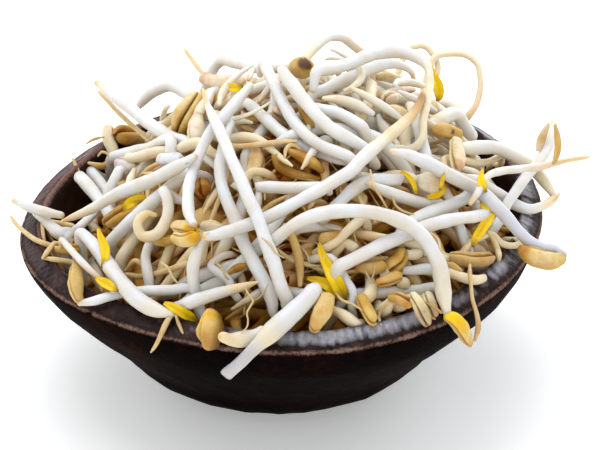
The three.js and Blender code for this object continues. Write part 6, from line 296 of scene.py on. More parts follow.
f234|-|fill|fill|e|00|0|20|518,-3226,2269,150 271,-3061,2144,230 43,-2865,2033,230 -190,-2655,1965,132 -424,-2439,1933,132 -652,-2214,1928,132 -882,-1989,1933,132 -1111,-1763,1924,132 -1325,-1526,1883,132 -1503,-1268,1810,132 -1657,-994,1737,132 -1803,-720,1655,132 -1933,-442,1555,132 -2032,-154,1452,132 -2093,158,1405,132 -2190,460,1374,139 -2304,750,1296,121 -2393,1052,1234,104 -2468,1364,1211,86 -2528,1677,1230,68 -2589,1983,1295,50
f235|-|fill|fill|e|00|0|19|-1406,1640,3759,150 -1140,1465,3715,230 -869,1297,3706,230 -593,1138,3749,146 -313,985,3775,146 -34,827,3783,146 234,657,3824,146 502,491,3881,146 778,340,3943,146 1059,194,3987,146 1340,45,4020,146 1620,-103,4063,146 1905,-237,4122,146 2199,-353,4181,146 2494,-471,4225,144 2780,-612,4245,125 3069,-753,4257,106 3369,-869,4258,88 3674,-957,4210,69 3978,-1038,4141,50
f236|-|fill|fill|e|00|0|19|-1027,4181,4472,150 -1086,3915,4287,230 -1220,3665,4145,230 -1376,3399,4061,136 -1540,3127,4011,136 -1711,2858,3954,136 -1868,2603,3839,136 -1995,2373,3639,136 -2142,2125,3495,136 -2298,1842,3455,136 -2420,1543,3424,136 -2524,1241,3392,136 -2656,949,3372,136 -2800,662,3361,136 -2912,364,3340,137 -3000,58,3288,118 -3090,-246,3226,98 -3269,-499,3148,79 -3496,-712,3047,60 -3609,-812,2986,50
f237|-|fill|fill|e|00|0|17|-1171,-2365,1669,150 -1028,-2121,1512,230 -945,-1881,1319,230 -919,-1619,1126,142 -886,-1335,961,142 -824,-1035,861,142 -689,-740,843,142 -568,-441,811,142 -490,-129,787,142 -426,185,787,142 -344,495,795,142 -225,791,806,142 -73,1074,822,142 79,1359,845,134 185,1660,874,113 222,1951,904,92 200,2038,903,71 91,1908,849,50
f238|-|fill|fill|e|00|0|17|2361,1534,3181,150 2060,1642,3201,230 1771,1774,3239,230 1483,1913,3236,151 1198,2055,3185,151 919,2206,3124,151 649,2365,3044,151 410,2525,2900,151 192,2668,2709,151 -9,2776,2482,151 -183,2918,2255,151 -362,3068,2035,151 -564,3167,1806,151 -801,3236,1610,134 -1020,3160,1438,113 -1112,2808,1257,92 -1145,2198,1057,71 -1191,1438,837,50
f239|-|fill|fill|e|00|0|17|-1362,-759,1967,150 -1287,-1051,2075,230 -1178,-1337,2168,230 -1105,-1642,2236,159 -1064,-1953,2309,159 -1039,-2251,2426,159 -1006,-2531,2580,159 -954,-2807,2736,159 -909,-3087,2885,159 -884,-3372,3028,159 -867,-3628,3220,159 -865,-3870,3432,159 -870,-4127,3620,159 -861,-4382,3718,134 -806,-4633,3556,113 -725,-4821,3258,92 -651,-4866,3047,71 -566,-4854,3012,50
f240|-|fill|fill|e|00|0|15|120,-1999,1779,150 408,-1909,1888,230 699,-1820,1997,144 997,-1732,2075,144 1303,-1636,2071,144 1599,-1509,2054,144 1884,-1360,2080,144 2162,-1204,2133,144 2432,-1043,2206,144 2687,-888,2325,144 2927,-736,2479,144 3133,-561,2653,136 3333,-372,2816,112 3564,-188,2936,87 3811,-18,3047,62 3933,62,3112,50
f241|-|fill|fill|e|00|0|17|-2762,1466,1367,150 -2886,1352,1440,230 -3000,1225,1439,137 -3108,1088,1443,137 -3192,936,1470,137 -3241,775,1528,137 -3263,613,1606,137 -3208,411,1655,137 -3060,163,1606,137 -2886,-80,1476,137 -2647,-279,1389,137 -2364,-440,1346,137 -2071,-578,1305,147 -1772,-670,1230,126 -1481,-725,1096,104 -1192,-736,951,82 -919,-674,794,61 -790,-622,712,50
f242|-|fill|fill|e|00|0|15|-3638,2139,2504,150 -3644,2206,2569,230 -3632,2250,2571,141 -3477,2233,2560,141 -3188,2160,2516,141 -2887,2048,2497,141 -2593,1912,2511,141 -2309,1758,2531,141 -2045,1578,2580,141 -1797,1373,2614,141 -1571,1147,2656,141 -1372,902,2722,136 -1187,644,2776,112 -1018,372,2788,87 -859,92,2766,62 -783,-49,2755,50
f243|-|fill|fill|e|00|0|18|1955,-2787,5734,150 1753,-2510,5729,230 1555,-2240,5713,230 1416,-1949,5730,161 1350,-1659,5714,161 1422,-1380,5640,161 1567,-1108,5554,161 1708,-837,5456,161 1864,-585,5333,161 2043,-362,5188,161 2207,-149,5014,161 2361,44,4810,161 2522,226,4599,161 2705,394,4398,149 2929,546,4225,129 3162,708,4075,110 3385,898,3946,90 3604,1107,3843,70 3846,1299,3761,50
f244|-|fill|fill|e|00|0|15|912,1376,950,150 833,1390,986,230 704,1328,926,161 493,1174,862,161 290,968,835,161 114,708,836,161 -38,434,907,161 -186,172,1033,161 -331,-81,1176,161 -446,-321,1360,161 -542,-549,1570,161 -600,-762,1804,136 -636,-953,2059,112 -722,-1130,2311,87 -825,-1293,2567,62 -871,-1369,2700,50
f245|-|fill|fill|e|00|0|19|1160,-1350,1689,150 1077,-1658,1688,230 969,-1960,1680,230 853,-2260,1684,148 751,-2562,1725,148 656,-2862,1796,148 559,-3157,1885,148 458,-3430,2023,148 386,-3689,2204,148 375,-3972,2357,148 386,-4249,2523,148 388,-4508,2716,148 374,-4729,2944,148 396,-4893,3193,148 470,-5043,3370,144 521,-5114,3486,125 511,-5067,3511,106 500,-5026,3534,88 488,-4993,3567,69 403,-4962,3577,50
f246|-|fill|fill|e|00|0|15|279,-1305,2159,150 442,-1029,2169,230 593,-749,2213,156 726,-462,2265,156 856,-170,2264,156 993,120,2249,156 1136,406,2231,156 1281,690,2210,156 1421,977,2181,156 1551,1267,2137,156 1695,1548,2087,156 1862,1821,2061,136 2025,2098,2065,112 2183,2375,2104,87 2346,2648,2117,62 2426,2786,2104,50
f247|-|fill|fill|e|00|0|18|1810,2057,4380,150 1594,2284,4311,230 1379,2510,4240,230 1166,2741,4178,142 958,2979,4127,142 745,3217,4095,142 514,3439,4075,142 256,3629,4046,142 -6,3813,4008,142 -274,3986,3973,142 -562,4126,3937,142 -863,4237,3901,142 -1180,4305,3831,142 -1523,4311,3636,149 -1782,4316,3311,129 -1855,4317,3026,110 -1890,4249,2857,90 -1933,4156,2722,70 -1976,4022,2611,50
f248|-|fill|fill|e|00|0|16|1563,506,4165,150 1301,599,4324,230 1037,664,4495,136 765,695,4660,136 466,697,4779,136 156,705,4879,136 -146,725,4996,136 -430,810,5118,136 -700,968,5206,136 -951,1123,5328,136 -1208,1196,5474,136 -1461,1230,5536,136 -1657,1374,5452,139 -1812,1566,5304,117 -1976,1745,5166,95 -2139,1962,5140,72 -2296,2192,5132,50
f249|-|fill|fill|e|00|0|17|-3372,2491,2301,150 -3324,2709,2697,230 -3098,2865,3112,133 -2742,2940,3465,133 -2398,2921,3646,133 -2080,2839,3673,133 -1787,2703,3656,133 -1532,2508,3703,133 -1280,2304,3753,133 -1053,2077,3720,133 -849,1838,3638,133 -631,1607,3587,133 -399,1396,3522,147 -155,1217,3413,126 100,1067,3286,104 342,894,3171,82 576,691,3092,61 696,590,3058,50
f250|-|fill|fill|e|00|0|16|-792,1989,3961,150 -599,1742,4020,230 -413,1503,4126,156 -204,1287,4239,156 22,1082,4341,156 263,880,4401,156 505,671,4423,156 734,451,4468,156 964,241,4544,156 1193,30,4617,156 1408,-195,4696,156 1625,-403,4807,156 1835,-613,4930,139 2023,-850,5036,117 2191,-1111,5119,95 2315,-1391,5216,72 2443,-1658,5337,50
f251|-|fill|fill|e|00|0|18|2197,-4419,3191,150 2303,-4423,3240,230 2355,-4453,3325,230 2405,-4487,3419,162 2446,-4488,3513,162 2443,-4364,3661,162 2384,-4146,3875,162 2292,-3930,4092,162 2152,-3740,4313,162 1993,-3561,4531,162 1871,-3335,4729,162 1727,-3083,4878,162 1512,-2886,5027,162 1248,-2752,5159,142 946,-2668,5262,121 703,-2545,5418,101 545,-2417,5589,81 465,-2288,5737,60 446,-2203,5799,50
f252|-|fill|fill|e|00|0|18|1345,666,1198,150 1220,409,1215,230 1102,170,1129,230 959,-46,981,160 750,-263,877,160 493,-454,834,160 217,-626,843,160 -62,-788,882,160 -345,-935,949,160 -626,-1042,1067,160 -928,-1085,1164,160 -1249,-1102,1205,160 -1549,-1111,1315,160 -1824,-1129,1483,149 -2094,-1119,1656,129 -2368,-1065,1811,110 -2660,-1003,1926,90 -2954,-931,2027,70 -3229,-829,2153,50
f253|-|fill|fill|e|00|0|16|1322,-3658,4918,150 1149,-3424,4817,230 1006,-3161,4713,136 876,-2873,4656,136 740,-2590,4596,136 626,-2310,4491,136 527,-2024,4382,136 433,-1730,4297,136 337,-1429,4244,136 212,-1139,4194,136 73,-863,4104,136 -70,-592,4006,136 -213,-311,3951,139 -339,-16,3934,117 -462,280,3917,95 -577,579,3930,72 -682,881,3951,50
f254|-|fill|fill|e|00|0|14|3996,-1025,4396,150 3787,-1269,4425,230 3596,-1489,4531,151 3398,-1634,4724,151 3140,-1726,4856,151 2841,-1824,4855,151 2554,-1960,4799,151 2275,-2115,4753,151 1989,-2255,4708,151 1700,-2386,4658,151 1415,-2505,4577,143 1120,-2585,4480,116 824,-2653,4379,90 525,-2730,4297,63 378,-2782,4265,50
f255|-|fill|fill|e|00|0|17|-1144,-135,3688,150 -1451,-220,3655,230 -1756,-313,3625,151 -2052,-428,3577,151 -2335,-559,3502,151 -2602,-711,3414,151 -2867,-850,3305,151 -3152,-976,3225,151 -3417,-1143,3151,151 -3682,-1289,3005,151 -3970,-1324,2735,151 -4141,-1243,2469,151 -4129,-1248,2410,147 -4088,-1361,2407,126 -4046,-1448,2398,104 -4053,-1468,2348,82 -4105,-1412,2249,61 -4115,-1371,2178,50
f256|-|fill|fill|e|00|0|20|938,-2111,1282,150 623,-2170,1292,230 313,-2238,1334,230 16,-2341,1396,150 -278,-2454,1458,150 -569,-2565,1536,150 -851,-2681,1640,150 -1128,-2789,1764,150 -1394,-2886,1918,150 -1658,-2959,2085,150 -1928,-3007,2251,150 -2195,-3063,2420,150 -2469,-3109,2578,150 -2744,-3134,2738,150 -2989,-3141,2869,150 -3131,-3106,2840,139 -3190,-3049,2696,121 -3224,-2984,2547,104 -3239,-2919,2409,86 -3250,-2862,2286,68 -3228,-2852,2146,50
f257|-|fill|fill|e|00|0|19|-4491,-1293,2726,150 -4288,-1051,2760,230 -4085,-877,2618,230 -3875,-763,2406,159 -3631,-669,2223,159 -3388,-575,2039,159 -3137,-455,1883,159 -2876,-297,1775,159 -2651,-113,1639,159 -2485,58,1417,159 -2315,229,1197,159 -2132,450,1059,159 -1880,656,983,159 -1461,717,938,159 -1200,713,894,144 -1123,755,849,125 -1069,817,832,106 -1032,873,817,88 -1018,919,794,69 -1034,1002,813,50
f258|-|fill|fill|e|00|0|17|3841,-275,2711,150 3605,-432,2563,230 3371,-569,2392,133 3111,-661,2231,133 2829,-725,2090,133 2536,-789,1982,133 2230,-844,1906,133 1922,-875,1825,133 1616,-866,1739,133 1319,-811,1638,133 1036,-766,1497,133 743,-765,1370,133 437,-748,1282,147 147,-657,1185,126 -134,-531,1096,104 -421,-401,1039,82 -699,-268,963,61 -835,-202,909,50
f259|-|fill|fill|e|00|0|19|2022,-1680,2842,150 1812,-1881,2707,230 1661,-2120,2558,230 1562,-2394,2423,137 1444,-2680,2327,137 1292,-2956,2253,137 1114,-3215,2176,137 906,-3452,2099,137 681,-3677,2029,137 438,-3883,2010,137 199,-4010,2038,137 12,-3986,2003,137 -130,-3889,1930,137 -243,-3780,1848,137 -335,-3665,1755,137 -416,-3559,1656,118 -500,-3484,1550,98 -592,-3416,1454,79 -663,-3323,1367,60 -674,-3257,1317,50
f260|-|fill|fill|e|00|0|19|-2743,2857,2562,150 -2624,2583,2444,230 -2546,2295,2326,230 -2501,1994,2225,156 -2456,1681,2164,156 -2410,1369,2096,156 -2360,1053,2072,156 -2301,736,2100,156 -2209,428,2133,156 -2090,130,2127,156 -1976,-168,2139,156 -1865,-460,2222,156 -1735,-743,2306,156 -1583,-1011,2401,156 -1411,-1269,2490,144 -1214,-1519,2537,125 -992,-1753,2547,106 -773,-1988,2548,88 -575,-2237,2582,69 -380,-2484,2639,50
f261|-|fill|fill|e|00|0|18|-1344,-1682,1161,150 -1385,-1853,1141,230 -1390,-2034,1171,230 -1360,-2233,1197,135 -1277,-2438,1217,135 -1088,-2560,1189,135 -793,-2577,1153,135 -476,-2582,1133,135 -157,-2596,1132,135 163,-2602,1119,135 483,-2581,1111,135 802,-2541,1124,135 1118,-2511,1164,135 1431,-2465,1223,149 1740,-2395,1263,129 2035,-2304,1280,110 2254,-2195,1308,90 2372,-2091,1327,70 2441,-1997,1252,50
f262|-|fill|fill|e|00|0|16|3316,-2498,4178,150 3101,-2298,4053,230 2857,-2128,3935,153 2608,-1958,3822,153 2357,-1781,3727,153 2087,-1607,3710,153 1810,-1463,3640,153 1527,-1337,3551,153 1231,-1211,3531,153 929,-1097,3525,153 633,-987,3476,153 343,-882,3387,153 46,-797,3298,131 -257,-727,3222,108 -564,-662,3161,85 -874,-609,3097,62 -1029,-588,3065,50
f263|-|fill|fill|e|00|0|17|102,-148,4242,150 -61,-400,4338,230 -216,-669,4417,136 -389,-933,4477,136 -576,-1184,4548,136 -771,-1416,4655,136 -970,-1636,4776,136 -1215,-1819,4890,136 -1473,-1994,4987,136 -1736,-2174,5045,136 -1979,-2392,5017,136 -2189,-2677,4867,136 -2365,-2980,4581,147 -2542,-3200,4175,126 -2832,-3356,3749,104 -3106,-3451,3276,82 -3260,-3383,2816,61 -3296,-3290,2605,50
f264|-|fill|fill|e|00|0|21|-3198,1135,1801,150 -2961,917,1806,230 -2734,691,1814,230 -2518,458,1764,144 -2286,244,1705,144 -2019,69,1670,144 -1764,-100,1574,144 -1522,-279,1455,144 -1261,-438,1348,144 -986,-592,1289,144 -710,-762,1300,144 -451,-952,1290,144 -235,-1181,1216,144 -1,-1401,1197,144 263,-1589,1209,144 534,-1751,1149,146 815,-1889,1069,128 1102,-2030,1042,111 1379,-2149,1071,94 1558,-2102,1070,76 1606,-1874,1032,59 1614,-1739,1052,50
f265|-|shell|fill|e|00|0|19|-2668,-920,4530,150 -2716,-620,4665,230 -2724,-322,4826,230 -2690,-27,4994,140 -2628,274,5129,140 -2577,580,5243,140 -2512,888,5347,140 -2416,1181,5453,140 -2217,1436,5477,140 -2032,1704,5419,140 -1869,1980,5345,140 -1727,2278,5353,140 -1627,2605,5372,140 -1526,2943,5347,140 -1465,3286,5268,144 -1469,3612,5088,125 -1469,3928,4866,106 -1480,4230,4619,88 -1511,4495,4350,69 -1547,4726,4075,50
f266|-|shell|fill|e|00|0|16|1672,1660,6149,150 1842,1926,6047,230 1992,2227,5964,150 2147,2537,5849,150 2297,2840,5671,150 2449,3125,5441,150 2593,3350,5132,150 2736,3524,4769,150 2868,3671,4396,150 2959,3753,4039,150 2979,3750,3791,150 3011,3715,3689,150 3083,3695,3673,131 3145,3679,3671,108 3202,3669,3664,85 3258,3646,3689,62 3290,3606,3716,50
f267|-|shell|fill|e|00|0|21|1953,4821,4201,150 2020,4694,4215,230 2060,4478,4323,230 2100,4138,4447,150 2126,3771,4596,150 2152,3406,4747,150 2200,3054,4880,150 2298,2735,5022,150 2435,2438,5143,150 2578,2135,5193,150 2737,1847,5191,150 2907,1574,5122,150 3092,1326,5002,150 3334,1120,4996,150 3609,949,5110,150 3845,716,5112,150 4045,453,5003,135 4271,211,4870,118 4541,-24,4766,101 4777,-295,4630,84 4966,-574,4453,67 5126,-830,4257,50
f268|-|shell|fill|e|00|0|17|4322,-1990,4014,150 4137,-1820,4289,230 3965,-1615,4592,145 3728,-1402,4861,145 3417,-1249,5080,145 3066,-1188,5271,145 2774,-1071,5487,145 2581,-825,5698,145 2380,-548,5803,145 2125,-311,5777,145 1912,-52,5770,145 1770,241,5821,145 1679,547,5866,147 1560,822,5972,126 1408,1075,6103,104 1263,1320,6258,82 1154,1546,6461,61 1112,1662,6565,50
f269|-|shell|fill|e|00|0|15|-2682,4139,3598,150 -2374,4025,3818,230 -2045,3811,4025,154 -1702,3580,4224,154 -1359,3387,4411,154 -1020,3244,4583,154 -689,3155,4746,154 -378,3107,4924,154 -88,3102,5108,154 203,3156,5256,154 496,3249,5359,154 801,3337,5408,145 1114,3414,5405,121 1430,3494,5379,98 1742,3587,5335,74 2040,3702,5273,50
f270|-|shell|fill|e|00|0|17|2458,355,6695,150 2574,628,6562,230 2746,887,6453,161 2974,1076,6281,161 3154,1231,6024,161 3152,1453,5737,161 3069,1748,5535,161 2947,2075,5409,161 2844,2405,5264,161 2853,2709,5035,161 2906,2994,4772,161 3017,3261,4497,161 3172,3501,4202,147 3329,3696,3885,126 3442,3819,3556,104 3487,3854,3288,82 3427,3843,3096,61 3366,3854,3015,50
f271|-|shell|fill|e|00|0|21|1601,-1582,5896,150 1739,-1283,5923,230 1797,-970,6000,230 1835,-686,6171,144 1867,-408,6350,144 1869,-117,6501,144 1831,189,6602,144 1793,506,6657,144 1749,828,6649,144 1710,1155,6626,144 1702,1484,6584,144 1646,1798,6472,144 1568,2099,6320,144 1502,2366,6105,144 1460,2582,5817,144 1403,2817,5538,146 1369,3102,5294,128 1370,3423,5071,111 1376,3760,4851,94 1382,4098,4634,76 1387,4416,4428,59 1388,4568,4330,50
f272|-|shell|fill|e|00|0|22|2121,4725,3534,150 2171,4649,3639,230 2226,4541,3693,230 2297,4421,3747,164 2388,4290,3804,164 2478,4141,3869,164 2563,3964,3936,164 2636,3745,3974,164 2753,3511,3994,164 2967,3295,3989,164 3222,3079,3982,164 3464,2846,3981,164 3683,2599,3965,164 3868,2338,3914,164 4004,2053,3835,164 4137,1762,3806,164 4314,1495,3880,141 4504,1238,3990,125 4695,974,4087,108 4875,710,4156,92 5036,479,4163,75 5153,277,4146,58 5183,171,4173,50
f273|-|shell|fill|e|00|0|16|-492,-318,6558,150 -602,-14,6572,230 -721,299,6618,145 -959,532,6573,145 -1219,723,6440,145 -1331,944,6196,145 -1392,1176,5924,145 -1536,1460,5762,145 -1722,1763,5679,145 -1894,2076,5585,145 -2011,2391,5422,145 -2099,2699,5210,145 -2194,2988,4966,139 -2299,3258,4692,117 -2417,3516,4410,95 -2550,3740,4128,72 -2713,3918,3862,50
f274|-|shell|fill|e|00|0|18|4205,1868,4093,150 4069,1753,4413,230 3860,1604,4712,230 3592,1455,4985,165 3317,1255,5194,165 3102,980,5362,165 2944,702,5560,165 2736,488,5755,165 2475,332,5925,165 2211,223,6106,165 1921,125,6231,165 1656,-31,6333,165 1449,-243,6470,165 1262,-450,6628,142 1091,-693,6754,121 915,-955,6850,101 774,-1242,6911,81 695,-1539,6809,60 640,-1670,6709,50
f275|-|shell|fill|e|00|0|21|-3247,1621,1737,150 -3208,1697,1776,230 -3255,1753,1864,230 -3321,1825,2087,160 -3331,1880,2501,160 -3305,1967,3013,160 -3228,2055,3549,160 -3096,2085,4067,160 -2963,2026,4552,160 -2804,1901,4982,160 -2584,1745,5341,160 -2298,1598,5633,160 -1972,1399,5798,160 -1699,1127,5899,160 -1548,810,6060,160 -1404,514,6224,146 -1228,230,6333,128 -1037,-50,6412,111 -828,-314,6444,94 -570,-513,6365,76 -295,-680,6288,59 -156,-766,6288,50
f276|-|shell|fill|e|00|0|18|1383,-1514,6233,150 1475,-1212,6309,230 1593,-940,6428,230 1765,-709,6585,160 1918,-446,6714,160 2037,-150,6792,160 2101,170,6800,160 2130,496,6780,160 2163,821,6735,160 2165,1138,6651,160 2106,1451,6553,160 2024,1776,6490,160 1949,2105,6401,160 1923,2418,6240,142 1967,2714,6026,121 2039,2998,5792,101 2094,3270,5546,81 2101,3520,5291,60 2100,3638,5164,50
f277|-|shell|fill|e|00|0|17|-2156,3352,3175,150 -1956,3526,3416,230 -1777,3739,3667,230 -1567,3963,3891,143 -1333,4170,4079,143 -1080,4369,4200,143 -809,4558,4260,143 -531,4735,4304,143 -249,4890,4262,143 42,4993,4142,143 350,5063,4043,143 653,5100,3932,143 937,5100,3842,143 1183,5042,3788,134 1400,4947,3773,113 1604,4865,3788,92 1788,4781,3827,71 1937,4652,3861,50
f278|-|shell|fill|e|00|0|21|-1089,-345,5939,150 -811,-282,6094,230 -489,-246,6144,230 -163,-202,6181,148 149,-121,6244,148 463,-41,6272,148 787,-30,6275,148 1104,-82,6223,148 1406,-147,6109,148 1725,-176,6044,148 2057,-137,6008,148 2366,-97,5867,148 2655,-94,5660,148 2954,-110,5440,148 3302,-31,5315,148 3687,73,5241,146 4027,9,5017,128 4334,-126,4739,111 4646,-248,4464,94 4935,-356,4214,76 5133,-447,4018,59 5182,-518,3948,50
f279|-|shell|fill|e|00|0|16|2454,-115,6657,150 2679,52,6498,230 2964,157,6364,137 3314,148,6246,137 3573,187,6031,137 3778,335,5793,137 3974,522,5561,137 4147,736,5328,137 4291,988,5100,137 4403,1260,4867,137 4460,1548,4627,137 4478,1818,4359,137 4448,2061,4090,139 4398,2314,3927,117 4366,2548,3888,95 4280,2746,3896,72 4209,2941,3962,50
f280|-|shell|fill|e|00|0|18|-741,3530,5530,150 -562,3238,5544,230 -408,2919,5512,230 -242,2599,5500,161 -48,2304,5525,161 169,2041,5576,161 406,1811,5640,161 667,1611,5681,161 944,1442,5710,161 1238,1313,5738,161 1548,1224,5731,161 1862,1152,5674,161 2154,1071,5541,161 2447,999,5380,142 2759,901,5245,121 3104,825,5206,101 3461,823,5306,81 3807,822,5394,60 3978,825,5421,50
f281|-|shell|fill|e|00|0|17|-1820,1930,4553,150 -1716,1636,4712,230 -1586,1331,4865,144 -1453,1026,5030,144 -1382,732,5227,144 -1354,454,5443,144 -1381,193,5668,144 -1390,-54,5903,144 -1337,-323,6097,144 -1215,-611,6209,144 -1051,-880,6305,144 -848,-1094,6456,144 -609,-1289,6577,147 -341,-1478,6600,126 -116,-1710,6530,104 70,-1982,6495,82 260,-2250,6472,61 358,-2380,6465,50
f282|-|shell|fill|e|00|0|21|-3481,2645,3939,150 -3496,2314,4024,230 -3489,1978,4116,230 -3482,1673,4283,160 -3464,1416,4532,160 -3428,1140,4764,160 -3322,856,4920,160 -3134,625,5084,160 -2949,408,5259,160 -2736,215,5411,160 -2471,52,5523,160 -2225,-119,5657,160 -2114,-364,5835,160 -2034,-622,6016,160 -1801,-790,6182,160 -1597,-1027,6277,146 -1484,-1345,6293,128 -1278,-1602,6315,111 -1059,-1861,6283,94 -856,-2117,6192,76 -666,-2362,6071,59 -582,-2493,6016,50
f283|-|shell|fill|e|00|0|17|1236,430,6525,150 1090,713,6568,230 943,998,6530,230 786,1273,6439,137 615,1558,6410,137 389,1822,6453,137 111,2001,6351,137 -116,2159,6119,137 -330,2309,5864,137 -582,2485,5665,137 -830,2706,5479,137 -1037,2981,5289,137 -1197,3291,5083,137 -1355,3563,4799,134 -1528,3826,4484,113 -1693,4096,4155,92 -1835,4353,3833,71 -1960,4591,3539,50
f284|-|shell|fill|e|00|0|16|3386,419,6231,150 3080,494,6156,230 2752,519,6155,152 2430,597,6218,152 2144,753,6296,152 1903,968,6325,152 1701,1224,6322,152 1491,1470,6381,152 1308,1739,6449,152 1094,1977,6409,152 833,2154,6298,152 577,2309,6150,152 306,2430,5990,139 6,2533,5859,117 -312,2640,5784,95 -638,2737,5768,72 -954,2838,5799,50
f285|-|shell|fill|e|00|0|17|-3214,1035,4034,150 -2866,982,4168,230 -2534,950,4384,230 -2260,934,4690,151 -1996,938,4993,151 -1702,951,5243,151 -1424,936,5489,151 -1180,918,5760,151 -912,888,5988,151 -620,858,6165,151 -375,738,6370,151 -116,540,6473,151 177,372,6492,151 481,267,6538,134 794,275,6629,113 1106,301,6727,92 1420,330,6807,71 1733,369,6874,50
f286|-|shell|fill|e|00|0|17|2949,-2836,5063,150 2852,-2506,5056,230 2765,-2166,5097,230 2674,-1827,5163,136 2582,-1497,5239,136 2518,-1166,5308,136 2567,-848,5387,136 2720,-575,5521,136 2911,-320,5648,136 3064,-23,5704,136 3186,278,5596,136 3341,506,5371,136 3490,691,5095,136 3682,912,4878,134 3934,1164,4737,113 4213,1363,4546,92 4498,1526,4348,71 4774,1697,4183,50
f287|-|shell|fill|e|00|0|21|-1307,1482,5471,150 -1055,1639,5566,230 -894,1869,5724,230 -731,2110,5883,145 -538,2345,6014,145 -284,2543,6067,145 8,2697,6065,145 304,2832,6015,145 608,2946,5976,145 921,3018,5913,145 1223,3064,5791,145 1507,3083,5620,145 1779,3063,5423,145 2084,3043,5277,145 2420,3025,5180,145 2774,3052,5133,145 3132,3064,5062,135 3491,3025,4943,118 3845,2964,4799,101 4156,2845,4614,84 4402,2690,4421,67 4579,2493,4315,50
f288|-|shell|fill|e|00|0|20|-2426,-441,5089,150 -2148,-230,5138,230 -1880,24,5152,230 -1576,262,5165,136 -1260,475,5206,136 -1081,743,5381,136 -1003,1013,5633,136 -851,1166,5907,136 -580,1208,6118,136 -291,1250,6289,136 -9,1311,6459,136 297,1392,6572,136 624,1500,6600,136 910,1625,6461,136 1155,1759,6243,136 1389,1957,6081,132 1580,2205,5924,114 1746,2486,5781,96 1866,2796,5655,77 1937,3115,5536,59 1959,3270,5470,50
f289|-|shell|fill|e|00|0|22|274,14,5677,150 543,127,5826,230 805,243,5974,230 1098,314,6084,162 1417,381,6129,162 1739,453,6126,162 2043,539,6026,162 2342,669,5927,162 2664,806,5899,162 2925,985,5765,162 3116,1239,5574,162 3362,1500,5447,162 3559,1806,5329,162 3688,2150,5180,162 3771,2469,4948,162 3796,2763,4666,162 3774,3081,4428,141 3686,3352,4220,125 3593,3505,4030,108 3579,3535,3841,92 3586,3497,3655,75 3619,3463,3470,58 3661,3462,3375,50
f290|-|shell|fill|e|00|0|22|3689,1967,5628,150 3505,1750,5794,230 3238,1599,5939,230 2967,1376,5922,155 2747,1135,5760,155 2631,856,5599,155 2604,537,5477,155 2611,205,5364,155 2698,-119,5260,155 2907,-400,5240,155 3195,-626,5256,155 3484,-858,5249,155 3721,-1147,5205,155 3858,-1507,5134,155 3951,-1888,5017,155 4055,-2267,4876,155 4166,-2598,4679,141 4275,-2820,4450,125 4298,-2934,4268,108 4265,-2980,4136,92 4221,-3008,4035,75 4164,-3011,3946,58 4138,-2980,3892,50
f291|-|shell|fill|e|00|0|16|-2751,-3568,2643,150 -2763,-3603,2761,230 -2745,-3726,2840,162 -2663,-3880,2994,162 -2470,-4008,3273,162 -2194,-4072,3637,162 -1880,-4068,4017,162 -1515,-4062,4334,162 -1134,-4085,4590,162 -815,-3997,4855,162 -520,-3821,5070,162 -268,-3643,5298,162 -56,-3443,5522,139 135,-3220,5724,117 292,-2976,5909,95 445,-2705,6020,72 641,-2447,6073,50
f292|-|shell|fill|e|00|0|21|5045,-805,3831,150 4964,-909,3742,230 4915,-1052,3701,230 4864,-1209,3674,155 4812,-1376,3673,155 4753,-1555,3690,155 4722,-1752,3706,155 4693,-1961,3733,155 4638,-2180,3781,155 4542,-2402,3858,155 4343,-2582,4008,155 4108,-2759,4194,155 3910,-3015,4329,155 3744,-3320,4388,155 3536,-3564,4512,155 3276,-3749,4672,155 2984,-3879,4724,135 2654,-3907,4729,118 2325,-3921,4756,101 2018,-3994,4815,84 1704,-4054,4798,67 1385,-4081,4759,50
f293|-|shell|fill|e|00|0|21|-1773,-4278,3177,150 -1666,-4077,3510,230 -1555,-3865,3884,230 -1432,-3688,4296,161 -1272,-3529,4698,161 -1085,-3350,5052,161 -892,-3097,5322,161 -760,-2789,5542,161 -684,-2456,5719,161 -644,-2119,5866,161 -652,-1789,6008,161 -655,-1473,6154,161 -571,-1169,6272,161 -423,-893,6390,161 -267,-615,6467,161 -154,-316,6517,161 -74,-17,6609,135 -63,292,6695,118 -58,602,6785,101 36,907,6844,84 161,1208,6869,67 285,1509,6880,50
f294|-|shell|fill|e|00|0|21|4553,-2331,4215,150 4507,-2353,4318,230 4336,-2322,4400,230 4050,-2190,4553,148 3737,-2027,4775,148 3454,-1884,5060,148 3204,-1777,5374,148 3001,-1651,5692,148 2805,-1513,5993,148 2566,-1393,6256,148 2313,-1223,6457,148 1995,-1151,6576,148 1658,-1200,6672,148 1336,-1249,6779,148 1017,-1297,6810,148 692,-1366,6762,148 363,-1506,6739,135 87,-1541,6583,118 -153,-1418,6363,101 -405,-1333,6143,84 -685,-1256,5987,67 -990,-1170,5889,50
f295|-|shell|fill|e|00|0|15|-2382,3658,2575,150 -2404,3593,2546,230 -2439,3607,2541,157 -2543,3623,2598,157 -2717,3589,2796,157 -2896,3463,3151,157 -3009,3281,3596,157 -3046,3085,4054,157 -2997,2807,4429,157 -2878,2516,4738,157 -2700,2263,5006,157 -2462,2005,5168,145 -2254,1705,5218,121 -2032,1440,5243,98 -1752,1264,5278,74 -1441,1166,5324,50
f296|-|shell|fill|e|00|0|19|-1814,-474,5947,150 -1815,-200,6100,230 -1808,119,6172,230 -1796,446,6220,139 -1714,752,6278,139 -1584,1052,6313,139 -1551,1379,6290,139 -1414,1670,6205,139 -1212,1908,6055,139 -1143,2206,5945,139 -1132,2517,5809,139 -1094,2825,5663,139 -982,3114,5509,139 -849,3363,5286,139 -706,3622,5062,144 -552,3910,4864,125 -389,4227,4688,106 -218,4564,4538,88 -53,4897,4409,69 82,5195,4238,50
